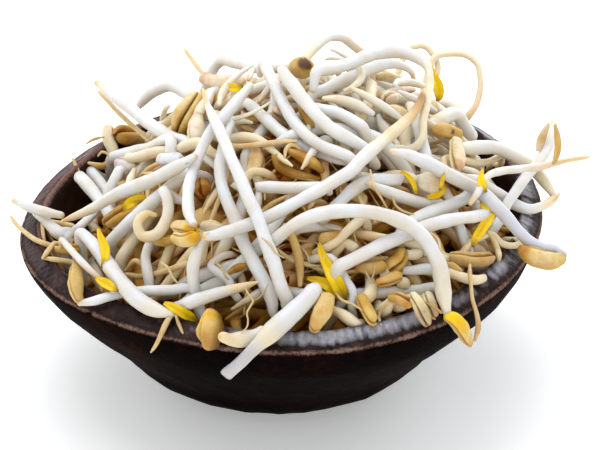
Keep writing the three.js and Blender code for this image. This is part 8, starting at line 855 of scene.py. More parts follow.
def whole_seed(b, q, look, rng, name, radius):
    """a round seed still in its coat"""
    ends = (q[0, :3], q[-1, :3])
    axis = ends[1] - ends[0]
    axis /= np.linalg.norm(axis)
    mid = q[:, :3].mean(0)
    half = radius * 1.22
    a = np.linspace(-1, 1, 25) * 1.5
    c = mid + axis * (np.sin(a) * half)[:, None]
    r = radius * np.cos(a) * (1 + 0.02 * np.sin(5 * a))
    _, n, m = frames(c)
    sides = 24
    th = np.linspace(0, 2 * np.pi, sides, endpoint=False)
    dent = 1 - 0.05 * np.exp(-(((th[None] - 2.0 + np.pi) % (2 * np.pi) - np.pi) / 0.35) ** 2)
    v = c[:, None] + (r[:, None] * dent)[..., None] * (np.cos(th)[None, :, None] * n[:, None] + np.sin(th)[None, :, None] * m[:, None])
    u = (np.sin(a) + 1) / 2
    col = colours(look, u)[:, None] * np.ones((1, sides, 1))
    streak = 0.5 * np.sin(8 * th + 0.7) + 0.5 * np.sin(13 * th + 2.1)
    col = col * (1 + 0.07 * streak[None, :, None] * np.array([0.5, 1.0, 1.6]))
    col = spots(v, name, col)
    info = np.zeros(v.shape)
    info[..., 0] = u[:, None]
    b.grid(v, col, info, SEED)


def blade(b, q, kind, rng):
    """a thin folded leaf or a piece of seed coat along the points of q, q's last column being half its width"""
    c4, s, par = resample(q, 0.35)
    c, r = c4[:, :3], np.maximum(c4[:, 3], 0.12)
    t, _, _ = frames(c)
    view = CAMERA_AT - c
    view /= np.linalg.norm(view, axis=1)[:, None]
    side = np.cross(t, view)
    side /= np.maximum(np.linalg.norm(side, axis=1), 1e-6)[:, None]
    face = np.cross(side, t)
    face *= np.sign((face * view).sum(1))[:, None]
    a = np.array([-1, -0.82, -0.5, -0.2, 0, 0.2, 0.5, 0.82, 1, 0.82, 0.5, 0.2, 0, -0.2, -0.5, -0.82])
    top = np.array([0, 1, 1, 1, 1, 1, 1, 1, 0, -1, -1, -1, -1, -1, -1, -1])
    curl = {"goldhusk": -0.8, "leaf": 0.42, "husk": -0.75, "palehusk": -0.6, "whitehusk": -0.4}[kind]
    thick = 0.11 if kind == "leaf" else 0.09
    bend = curl * (np.abs(a) ** 1.5) - (0.16 if kind == "leaf" else 0.0) * np.exp(-(a / 0.16) ** 2)
    ruffle = 0.10 * np.sin(s[:, None] * 2.3 + 2.0 * a[None] + rng.uniform(0, 6))
    h = r[:, None] * (bend[None] + ruffle * np.abs(a)[None]) + thick * top[None] * np.sqrt(np.maximum(1 - a[None] ** 2, 0.02))
    v = c[:, None] + (r[:, None] * a[None])[..., None] * side[:, None] + h[..., None] * face[:, None]
    v = v[:, ::-1]
    u = s / s[-1]
    if kind == "leaf":
        col = colours([(0, "yellow"), (0.25, "brightyellow"), (0.75, "brightyellow"), (1, "olive")], u)
    elif kind == "palehusk":
        col = colours([(0, "pinkroot"), (0.5, "tan"), (1, "pinkroot")], u)
    elif kind == "whitehusk":
        col = colours([(0, "white"), (1, "ivory")], u)
    elif kind == "goldhusk":
        col = colours([(0, "gold"), (0.3, "amber"), (0.7, "gold"), (1, "amber")], u)
    else:
        col = colours([(0, "tan"), (0.5, "gold"), (1, "tan")], u)
    col = col[:, None] * np.ones((1, len(a), 1))
    vein = np.exp(-(a[::-1] / 0.2) ** 2)[None, :, None]
    edge = (np.abs(a[::-1]) ** 4)[None, :, None]
    col = col * (1 - 0.16 * vein * np.array([0.5, 0.8, 1.0])) * (1 - 0.25 * edge * np.array([0.4, 0.8, 1.2]))
    info = np.zeros(v.shape)
    info[..., 0] = u[:, None]
    info[..., 2] = a[::-1][None]
    b.grid(v, col, info, LEAF)


# ------------------------------------------------------------------ materials
def material(name):
    m = bpy.data.materials.new(name)
    m.use_nodes = True
    nt = m.node_tree
    shader = nt.nodes["Principled BSDF"]
    return m, nt, shader


def node(nt, kind, inputs=None, **props):
    n = nt.nodes.new(kind)
    for k, v in props.items():
        setattr(n, k, v)
    for k, v in (inputs or {}).items():
        if isinstance(v, bpy.types.NodeSocket):
            nt.links.new(v, n.inputs[k])
        else:
            n.inputs[k].default_value = v
    return n


def ramp(nt, fac, stops):
    n = nt.nodes.new("ShaderNodeValToRGB")
    nt.links.new(fac, n.inputs["Fac"])
    e = n.color_ramp.elements
    while len(e) > len(stops):
        e.remove(e[-1])
    while len(e) < len(stops):
        e.new(1.0)
    for el, (x, c) in zip(e, stops):
        el.position = x
        el.color = (*c, 1) if len(c) == 3 else c
    return n.outputs["Color"]


def multiply(nt, a, b_, fac=1.0):
    n = nt.nodes.new("ShaderNodeMix")
    n.data_type = "RGBA"
    n.blend_type = "MULTIPLY"
    n.inputs["Factor"].default_value = fac
    nt.links.new(a, n.inputs["A"])
    if isinstance(b_, bpy.types.NodeSocket):
        nt.links.new(b_, n.inputs["B"])
    else:
        n.inputs["B"].default_value = (*b_, 1)
    return n.outputs["Result"]


def flesh(name, blotch, speck, rough, sss, bump, scale_mm):
    """plant tissue: colour from the mesh, broken up by soft clouds, fine fibres and specks"""
    m, nt, sh = material(name)
    tone = node(nt, "ShaderNodeAttribute", attribute_name="tone", attribute_type="GEOMETRY")
    co = node(nt, "ShaderNodeTexCoord")
    clouds = node(nt, "ShaderNodeTexNoise", {"Vector": co.outputs["Object"], "Scale": 1000 / scale_mm, "Detail": 3.0, "Roughness": 0.55})
    fine = node(nt, "ShaderNodeTexNoise", {"Vector": co.outputs["Object"], "Scale": 1000 / 0.8, "Detail": 4.0, "Roughness": 0.6})
    c1 = ramp(nt, clouds.outputs["Fac"], [(0.3, blotch), (0.55, (1, 1, 1)), (1.0, (1.0, 1.0, 1.0))])
    c2 = ramp(nt, fine.outputs["Fac"], [(0.22, speck), (0.42, (1, 1, 1)), (1.0, (1.0, 1.0, 1.0))])
    col = multiply(nt, tone.outputs["Color"], c1)
    col = multiply(nt, col, c2)
    nt.links.new(col, sh.inputs["Base Color"])
    rr = node(nt, "ShaderNodeMapRange", {"Value": fine.outputs["Fac"], "From Min": 0.3, "From Max": 0.7, "To Min": rough - 0.07, "To Max": rough + 0.1})
    nt.links.new(rr.outputs["Result"], sh.inputs["Roughness"])
    sh.inputs["Subsurface Weight"].default_value = sss
    sh.inputs["Subsurface Radius"].default_value = (1.0, 0.75, 0.5)
    sh.inputs["Subsurface Scale"].default_value = 0.0018
    sh.inputs["IOR"].default_value = 1.38
    sh.inputs["Specular IOR Level"].default_value = 0.5
    bp = node(nt, "ShaderNodeBump", {"Height": fine.outputs["Fac"], "Strength": bump, "Distance": 0.0002})
    nt.links.new(bp.outputs["Normal"], sh.inputs["Normal"])
    return m


MATERIALS = [
    flesh("stem_flesh", (0.955, 0.90, 0.79), (0.965, 0.94, 0.89), 0.33, 0.65, 0.16, 7.0),
    flesh("seed_leaf_flesh", (0.90, 0.76, 0.50), (0.84, 0.72, 0.52), 0.38, 0.4, 0.3, 2.6),
    flesh("leaf_blade", (0.92, 0.84, 0.5), (0.92, 0.86, 0.7), 0.45, 0.15, 0.35, 2.2),
    flesh("root_fibre", (0.88, 0.76, 0.58), (0.86, 0.76, 0.62), 0.55, 0.3, 0.3, 3.0),
]

# ------------------------------------------------------------------ build the sprouts
builders = {}


def builder(key):
    if key not in builders:
        builders[key] = Builder()
    return builders[key]


def group_of(name, q, kind):
    x, y = q[:, 0].mean() - HEAP[0], q[:, 1].mean() - HEAP[1]
    k = int((math.atan2(y, x) + math.pi) / (2 * math.pi) * 5) % 5
    return "%s_%d" % (kind, k)


for line in STRANDS.strip().splitlines():
    name, owner, tone, head, side, cuts, i0, i1, data = line.split("|")
    i0, i1 = int(i0), int(i1)
    q = points(data)
    rng = rng_for(name)
    fill = head == "fill"
    pale = float(brightness_zone(q[:, :3].mean(0)))
    key = owner if owner != "-" else group_of(name, q, "heap_deep" if tone == "fill" else "heap_outer" if tone == "shell" else "heap_traced")
    b = builder(key)
    look = OWN_LOOKS.get(name, LOOKS[tone])
    cut = (cuts[0] == "1", cuts[1] == "1" and name != "j1")
    if head in ("bean", "pale"):
        vis = q[i0:i1 + 1]
        if side == "e":
            vis = vis[::-1]
            rest = q[i1:]
        else:
            rest = q[: i0 + 1]
        if name in WHOLE:
            whole_seed(b, vis, look, rng, name, WHOLE[name])
        else:
            if name in BLUNT:
                vis = vis.copy()
                vis[:, 3] = np.maximum(vis[:, 3], vis[:, 3].max() * np.array([0.55 + 0.45 * min(1, 3.5 * min(i, len(vis) - 1 - i) / (len(vis) - 1)) for i in range(len(vis))]))
            seed_pair(b, vis, look, rng, name, depth=0.6)
        if len(rest) > 2:
            stem_look = [(0, "ivory"), (1, "cream")]
            rest = rest.copy()
            rest[:, 3] = np.minimum(rest[:, 3], 1.45)
            stem(b, rest, stem_look, rng, 0, len(rest) - 1, cut=(0, 0), depth=0.8)
    elif head == "leafy":
        vis = q[i0:i1 + 1]
        seed_pair(b, vis, look, rng, name, depth=0.2, splay=0.35)
    elif fill:
        warm = rng.uniform()
        if warm < 0.16:
            look = [(0, "beantan"), (0.14, "tan"), (0.3, "cream"), (0.7, "cream"), (1, "root")]
        elif warm < 0.36:
            look = [(0, "palegold"), (0.14, "palegold"), (0.24, "ivory"), (0.7, "ivory"), (1, "root")]
        elif warm < 0.75:
            look = [(0, "beanpale"), (0.14, "ivory"), (0.22, "white"), (0.8, "white"), (1, "cream")]
        # painted light: whiter looks in the brightly lit zone
        if pale > 0.35:
            look = [(0, "ivory"), (0.14, "ivory"), (0.3, "white"), (0.8, "white"), (1, "ivory")] if warm > 0.3 else [(0, "beanpale"), (0.2, "ivory"), (0.5, "ivory"), (1, "cream")]
        n_head = max(3, int(round(0.16 * len(q))))
        headq = q[: n_head + 1][::-1].copy()
        high = float(smooth(50, 60, headq[:, 2].mean()))
        headq[:, 3] *= 1 - 0.22 * high
        if high > 0.3:
            look = [(0, "ivory" if pale > 0.35 else "beanpale"), (0.14, "cream")] + look[2:]
        seed_pair(b, headq, [(0, look[1][1]), (1, look[0][1])], rng, name, depth=1.0, step=0.75, sides=10)
        body = q[n_head - 1:].copy()
        body[:, 3] *= rng.uniform(0.72, 1.0)
        body[:2, 3] = np.minimum(body[:2, 3], 1.2)
        stem(b, body, look, rng, -0.1 * len(body), len(body) - 1, sides=10, step=1.3, depth=1.0, bare=pale > 0.35)
    else:
        fibre = tone in ("root",) or float(np.median(q[i0:i1 + 1, 3])) < 0.62
        stem(b, q, look, rng, i0, i1, cut=cut, sides=10 if fibre else 16, step=0.6, depth=0.45, mat=FIBRE if fibre else STEM, label=name, rough=3.2 if name == "pp" else 1.0)

for line in BLADES.strip().splitlines():
    kind, name, owner, data = line.split("|")
    b = builder(owner if owner != "-" else "heap_traced_0")
    blade(b, points(data), kind, rng_for(name))

for k, line in enumerate(THREADS.strip().splitlines()):
    tone, data = line.split("|")
    look = {"root": [(0, "root"), (1, "tan")], "tan": [(0, "tan"), (1, "tan")], "hair": [(0, "cream"), (1, "tan")], "olive": [(0, "gold"), (1, "olive")], "cream": [(0, "cream"), (1, "ivory")]}[tone]
    q = points(data)
    stem(builder("loose_roots"), q, look, rng_for("thread%d" % k), 0, len(q) - 1, sides=8, step=0.4, depth=0.3, mat=FIBRE)

def tangle():
    """thin roots and bits of seed coat between the sprouts, just under the heap's surface"""
    rng = np.random.default_rng(4021)
    for k in range(120):
        a = rng.uniform(0, 2 * math.pi)
        ring = math.sqrt(rng.uniform(0.0, 0.86))
        x, y = HEAP[0] + HEAP[2] * ring * math.cos(a), HEAP[1] + HEAP[3] * ring * math.sin(a)
        length = rng.uniform(10, 24)
        heading = rng.uniform(0, 2 * math.pi)
        under = rng.uniform(3.0, 8.5)
        turn = rng.uniform(-0.22, 0.22)
        n = 14
        pts = []
        thick = rng.uniform(0.16, 0.34)
        wave = rng.uniform(0, 6.28)
        for i in range(n):
            u = i / (n - 1)
            z = float(heap_top(np.array(x), np.array(y))) - under + 1.5 * math.sin(wave + 3.4 * u)
            pts.append((x, y, z, thick * (1 - 0.55 * u)))
            heading += turn + rng.uniform(-0.16, 0.16)
            x += math.cos(heading) * length / (n - 1)
            y += math.sin(heading) * length / (n - 1)
        pts = np.array(pts)
        if np.hypot(pts[:, 0], pts[:, 1]).max() > 50 or pts[:, 2].min() < 38 or brightness_zone(pts[:, :3]).max() > 0.3:
            continue
        look = [[(0, "root"), (1, "tan")], [(0, "cream"), (1, "root")], [(0, "palegold"), (1, "gold")]][k % 3]
        stem(builder("loose_roots"), pts, look, rng, 0, n - 1, sides=7, step=0.7, depth=0.35, mat=FIBRE)
    for k in range(34):
        a = rng.uniform(0, 2 * math.pi)
        ring = math.sqrt(rng.uniform(0.0, 0.8))
        x, y = HEAP[0] + HEAP[2] * ring * math.cos(a), HEAP[1] + HEAP[3] * ring * math.sin(a)
        z = float(heap_top(np.array(x), np.array(y))) - rng.uniform(4.0, 9.0)
        if z < 40 or brightness_zone(np.array([x, y, z])) > 0.3:
            continue
        heading, tilt, length, half = rng.uniform(0, 6.28), rng.uniform(-0.5, 0.5), rng.uniform(4.5, 8), rng.uniform(1.1, 2.0)
        u = np.linspace(-0.5, 0.5, 7)
        pts = np.stack([x + u * length * math.cos(heading), y + u * length * math.sin(heading), z + u * length * tilt - 1.6 * u**2, half * np.sqrt(np.maximum(1 - (2 * u) ** 2, 0.05))], 1)
        blade(builder("loose_roots"), pts, "husk" if k % 3 else "palehusk", rng)


def fill_gaps():
    """thinner stems and roots in the spaces that are left between the sprouts, clear of all of them"""
    from mathutils import kdtree

    taken, radius = [], []
    for line in STRANDS.strip().splitlines():
        q = points(line.split("|")[8])
        c4, _, _ = resample(q, 0.9)
        taken.append(c4[:, :3])
        radius.append(c4[:, 3] * (1.1 if line.split("|")[3] in ("bean", "pale", "hook") else 1.0))
    rng = np.random.default_rng(977)

    def tree(parts):
        pts = np.concatenate(parts)
        kd = kdtree.KDTree(len(pts))
        for i, p in enumerate(pts):
            kd.insert(p, i)
        kd.balance()
        return kd

    kd, rad = tree(taken), np.concatenate(radius)
    added = pending = 0
    for attempt in range(9000):
        if added >= 225:
            break
        a = rng.uniform(0, 2 * math.pi)
        ring = math.sqrt(rng.uniform(0.0, 0.9))
        if attempt % 3 == 0:  # every third try where the heap shows pale gaps
            a, ring = rng.uniform(0.1, 1.9), rng.uniform(0.1, 0.95)
        x, y = HEAP[0] + HEAP[2] * ring * math.cos(a), HEAP[1] + HEAP[3] * ring * math.sin(a)
        top_zone = float(brightness_zone(np.array([x, y, float(heap_top(np.array(x), np.array(y))) - 4.0])))
        under = rng.uniform(2.2 - 2.6 * top_zone, 9.5)
        heading, turn = rng.uniform(0, 2 * math.pi), rng.uniform(-0.16, 0.16)
        length, thick, drift = rng.uniform(9, 24), rng.uniform(0.5, 1.15) + 0.3 * top_zone, rng.uniform(-0.25, 0.25)
        n = int(length / 1.2) + 1
        pts = []
        for i in range(n):
            z = float(heap_top(np.array(x), np.array(y))) - under - drift * i * 1.2
            pts.append((x, y, z))
            heading += turn
            x += math.cos(heading) * 1.2
            y += math.sin(heading) * 1.2
        pts = np.array(pts)
        u, v = seen_at(pts)
        if np.hypot(pts[:, 0], pts[:, 1]).max() > 51 or pts[:, 2].min() < 36 or ((u > 262) & (u < 340) & (v > 136) & (v < 186)).any():
            continue
        taper = np.interp(np.arange(n), [0, n * 0.3, n - 1], [0.8, 1.0, rng.uniform(0.35, 0.8)])
        r = thick * taper
        clear = True
        for p, rp in zip(pts, r):
            for _, i, dist in kd.find_n(p, 6):
                if dist < rad[i] + rp - 0.15:
                    clear = False
                    break
            if not clear:
                break
        if not clear:
            continue
        if pending and min(np.linalg.norm(taken[-k][None] - pts[:, None], axis=2).min() - radius[-k].max() for k in range(1, pending + 1)) < r.max() - 0.15:
            continue
        added += 1
        pending += 1
        taken.append(pts)
        radius.append(r)
        if pending >= 15:
            kd, rad, pending = tree(taken), np.concatenate(radius), 0
        pale = float(brightness_zone(pts.mean(0)))
        # painted light: white stems in the brightly lit zone
        if pale > 0.3:
            look = [[(0, "white"), (1, "white")], [(0, "ivory"), (1, "white")], [(0, "white"), (1, "ivory")]][attempt % 3]
        else:
            look = [[(0, "cream"), (1, "root")], [(0, "ivory"), (1, "ivory")], [(0, "palegold"), (1, "tan")], [(0, "white"), (1, "cream")], [(0, "tan"), (1, "palegold")]][attempt % 5]
        q = np.c_[pts, r]
        stem(builder(group_of("", q, "heap_deep")), q, look, rng, 0, n - 1, sides=8, step=1.3, depth=1.0, bare=pale > 0.3)
    return added


fill_gaps()
tangle()
for key, b in builders.items():
    o = b.object(key + "_detailed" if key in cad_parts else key, MATERIALS)
    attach(o, "root")
    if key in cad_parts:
        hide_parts(key)
    else:
        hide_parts("inner_sprouts")

# ------------------------------------------------------------------ bowl
RIM_CENTRE_X = 1.12
OUTSIDE = [(17.03, 0), (22.6, 0.9), (27.01, 3.19), (31.6, 5.1), (35.25, 7.45), (37.6, 10.0), (39.25, 12.77), (45.17, 19.16), (51.48, 25.54), (56.83, 31.93), (59.2, 36.6), (59.9, 39.38)]
INSIDE = [(55.3, 42.3), (54.2, 40.6), (53.4, 36.0), (49.6, 28.0), (43.2, 20.0), (35.0, 13.0), (25, 8.6), (12, 6.4), (0.4, 6.0)]


def rim_radius(t):
    return (60 - 0.12 + 1.144 * np.cos(t) - 0.331 * np.sin(t) - 0.141 * np.cos(2 * t) + 0.805 * np.sin(2 * t) - 1.12 * np.cos(3 * t) - 0.036 * np.sin(3 * t)
            + 0.039 * np.cos(4 * t) + 0.482 * np.sin(4 * t) + 0.148 * np.cos(5 * t) - 0.302 * np.sin(5 * t))


def rim_height(t):
    return 39.38 + 1.541 * np.cos(t) + 0.15 * np.sin(t) - 0.227 * np.cos(2 * t) - 0.11 * np.sin(2 * t)


def place(t, r, z):
    w = np.clip(z / 1.0643 / 37.0, 0, 1.15) ** 1.5
    rr = r * (1 + w * (rim_radius(t) / 60 - 1))
    zz = z + np.clip(w, 0, 1.1) * (rim_height(t) - 39.38) * np.where(z > 38, 1.0, 0.6 + 0.4 * np.clip((z - 31.93) / 6.5, 0, 1))
    return np.stack([RIM_CENTRE_X * np.clip(w, 0, 1) + rr * np.cos(t), rr * np.sin(t), zz], -1)


def profile(line, step):
    p = np.array(line, float)
    d = np.r_[0, np.cumsum(np.linalg.norm(np.diff(p, axis=0), axis=1))]
    s = np.linspace(0, d[-1], max(3, int(round(d[-1] / step)) + 1))
    q = np.stack([np.interp(s, d, p[:, k]) for k in range(2)], 1)
    for _ in range(3):
        q[1:-1] = 0.25 * q[:-2] + 0.5 * q[1:-1] + 0.25 * q[2:]
    return q


def ring_noise(t, rng, waves, lo, hi):
    out = np.zeros_like(t)
    for _ in range(waves):
        out = out + np.sin(t * rng.integers(lo, hi) + rng.uniform(0, 6.28)) * rng.uniform(0.5, 1)
    return out / math.sqrt(waves)


def cell_dishes(u, v, period, su, sv, rng):
    """carving facets: shallow dishes that meet at ridges. u goes round and repeats after period."""
    nu, nv = int(round(period / su)), int(math.ceil((v.max() - v.min()) / sv)) + 2
    cu = (np.arange(nu)[None] + 0.5 * (np.arange(nv) % 2)[:, None] + rng.uniform(-0.32, 0.32, (nv, nu))) * (period / nu)
    cv = v.min() + (np.arange(nv)[:, None] - 0.5 + rng.uniform(-0.3, 0.3, (nv, nu))) * sv
    best = np.full(u.shape, 1e9)
    for a, c in zip(cu.ravel(), cv.ravel()):
        du = (u - a + period / 2) % period - period / 2
        best = np.minimum(best, (du / su) ** 2 + ((v - c) / sv) ** 2)
    return best


def make_bowl():
    rng = np.random.default_rng(31)
    nt = 600
    t = np.linspace(0, 2 * np.pi, nt, endpoint=False)
    out = profile(OUTSIDE, 1.05)
    rim = np.array([(59.75, 39.75), (59.3, 40.15), (58.6, 40.6), (57.8, 41.05), (57.0, 41.5), (56.3, 41.9), (55.7, 42.2), (55.3, 42.3), (54.9, 42.05)])
    ins = profile(INSIDE[1:], 1.3)
    foot = np.array([(0.3, 0.0), (6, 0.0), (12, 0.0), (16.2, 0.0)])
    prof = np.concatenate([foot, out, rim, ins])
    zone = np.concatenate([np.zeros(len(foot)), np.full(len(out), 1), np.full(len(rim), 2), np.full(len(ins), 3)])
    T, Rr = np.meshgrid(t, prof[:, 0])
    Z = np.repeat(prof[:, 1][:, None], nt, 1)
    v = place(T, Rr, Z)
    # normals of the section
    d = np.gradient(prof, axis=0)
    d /= np.linalg.norm(d, axis=1)[:, None]
    nr, nz = d[:, 1], -d[:, 0]
    normal = np.stack([nr[:, None] * np.cos(T), nr[:, None] * np.sin(T), np.repeat(nz[:, None], nt, 1)], -1)
    arc = np.r_[0, np.cumsum(np.linalg.norm(np.diff(prof, axis=0), axis=1))]
    S = np.repeat(arc[:, None], nt, 1)
    move = np.zeros(T.shape)
    # outside: broad dishes left by the gouge, fading out at the foot and the rim edge
    m = zone == 1
    swing = 4 * ring_noise(t, rng, 4, 2, 7)[None]
    dish = cell_dishes((T[m] * 55 + swing + S[m] * 0.35) % (2 * np.pi * 55), S[m], 2 * np.pi * 55, 11.5, 12.5, rng)
    fade = smooth(0, 6, S[m] - S[m].min()) * smooth(0, 2.2, S[m].max() - S[m])
    move[m] += (np.clip(dish, 0, 0.8) - 0.35) * 0.62 * fade
    # inside: longer dishes towards the middle
    m = zone == 3
    dish = cell_dishes((T[m] * 50) % (2 * np.pi * 50), S[m], 2 * np.pi * 50, 6.5, 11.0, rng)
    move[m] += (np.clip(dish, 0, 0.8) - 0.4) * 0.4 * smooth(0, 3, S[m] - S[m].min())
    # rim: short gouge marks across it
    m = zone == 2
    marks = ring_noise(t, rng, 9, 60, 150) * 0.09 + ring_noise(t, rng, 6, 22, 50) * 0.10 + ring_noise(t, rng, 4, 8, 20) * 0.08
    cross = np.sin(np.linspace(0, np.pi, m.sum()))[:, None]
    skew = np.stack([np.interp((t + 0.012 * k) % (2 * np.pi), np.r_[t, 2 * np.pi], np.r_[marks, marks[:1]]) for k in range(m.sum())])
    move[m] += skew * (0.35 + 0.65 * cross)
    # nicks along both rim edges
    nick = np.clip(ring_noise(t, rng, 12, 30, 170) - 0.7, 0, 2)
    jag = smooth(150, 185, np.degrees(t)) * smooth(265, 235, np.degrees(t))
    nick = nick * (1 + 1.6 * jag) + 0.35 * jag
    nick2 = np.clip(ring_noise(t, rng, 12, 30, 170) - 0.8, 0, 2)
    edge_out = np.exp(-((S - arc[np.where(zone == 2)[0][0]]) / 0.7) ** 2)
    edge_in = np.exp(-((S - arc[np.where(zone == 2)[0][-2]]) / 0.7) ** 2)
    move -= edge_out * nick[None] * 0.42 + edge_in * nick2[None] * 0.3
    wavy = ring_noise(t, rng, 5, 5, 26) * 0.16
    v = v + normal * move[..., None]
    v[..., 2] += ((edge_in + edge_out) * wavy[None]) * 0.7
    v[: len(foot)] = place(T[: len(foot)], Rr[: len(foot)], Z[: len(foot)])
    v[..., 2] = np.maximum(v[..., 2], 0.0)
    # traits: rim, inside, wear and a painted highlight along the inner edge
    band = np.clip(ring_noise(t, rng, 10, 6, 60) * 0.35 + 0.55, 0, 1)[None]
    # the inner edge's pale line, strongest at the left and back: partly wear, partly a painted highlight where the edge
    # catches the light
    pale = smooth(105, 130, np.degrees(t)) * smooth(205, 180, np.degrees(t))
    wear_and_edge_highlight = np.clip(edge_out * (0.5 + 0.6 * band) + edge_in * (0.25 + 0.6 * band + 0.9 * pale[None]), 0, 1)
    rim_w = smooth(-0.9, 0.4, S - arc[np.where(zone == 2)[0][0]]) * smooth(0.6, -0.4, S - arc[np.where(zone == 2)[0][-1]])
    ins_w = smooth(-0.3, 1.0, S - arc[np.where(zone == 2)[0][-1]])
    info = np.stack([rim_w, ins_w, wear_and_edge_highlight], -1)
    # painted sheen: bluish-grey highlight patches on the rim: from, to (degrees round), strength, where across the rim
    painted_sheen = np.zeros(T.shape)
    deg = np.degrees(T)
    rim_s = (S - arc[np.where(zone == 2)[0][0]]) / (arc[np.where(zone == 2)[0][-1]] - arc[np.where(zone == 2)[0][0]])
    blotch = ring_noise(t, rng, 9, 40, 190)[None] * 0.22 + ring_noise(t, rng, 6, 9, 40)[None] * 0.25
    fine_marks = ring_noise(t, rng, 14, 90, 290)
    hatch = np.stack([np.interp((t + 0.004 * k) % (2 * np.pi), np.r_[t, 2 * np.pi], np.r_[fine_marks, fine_marks[:1]]) for k in range(len(prof))])
    for a0, a1, strength, across in ((258, 302, 1.25, 0.62), (300, 322, 0.55, 0.55), (316, 338, 0.75, 0.6), (340, 378, 0.95, 0.72), (20, 50, 0.7, 0.6),
                                     (85, 110, 0.5, 0.6), (130, 160, 0.55, 0.6), (212, 232, 0.3, 0.55), (238, 262, 0.35, 0.6)):
        for shift in (0, -360, 360):
            w = smooth(a0 + shift - 4, a0 + shift + 5, deg) * smooth(a1 + shift + 4, a1 + shift - 5, deg)
            w = w * np.exp(-((rim_s - across) / 0.34) ** 2) * np.clip(0.85 + 1.3 * blotch + 0.16 * hatch, 0, 1.4)
            painted_sheen = np.maximum(painted_sheen, w * strength)
    painted_sheen = painted_sheen * (zone == 2)[:, None]
    b = Builder()
    rows = np.where((zone[:-1] == 2) | (zone[1:] == 2), 1, np.where(zone[:-1] == 3, 2, 0))
    # the tone attribute carries the painted sheen
    b.grid(v, np.clip(painted_sheen, 0, 1)[..., None] * np.ones(3), info, 0, rows=rows)
    b.tm[-1][:] = 2
    return b


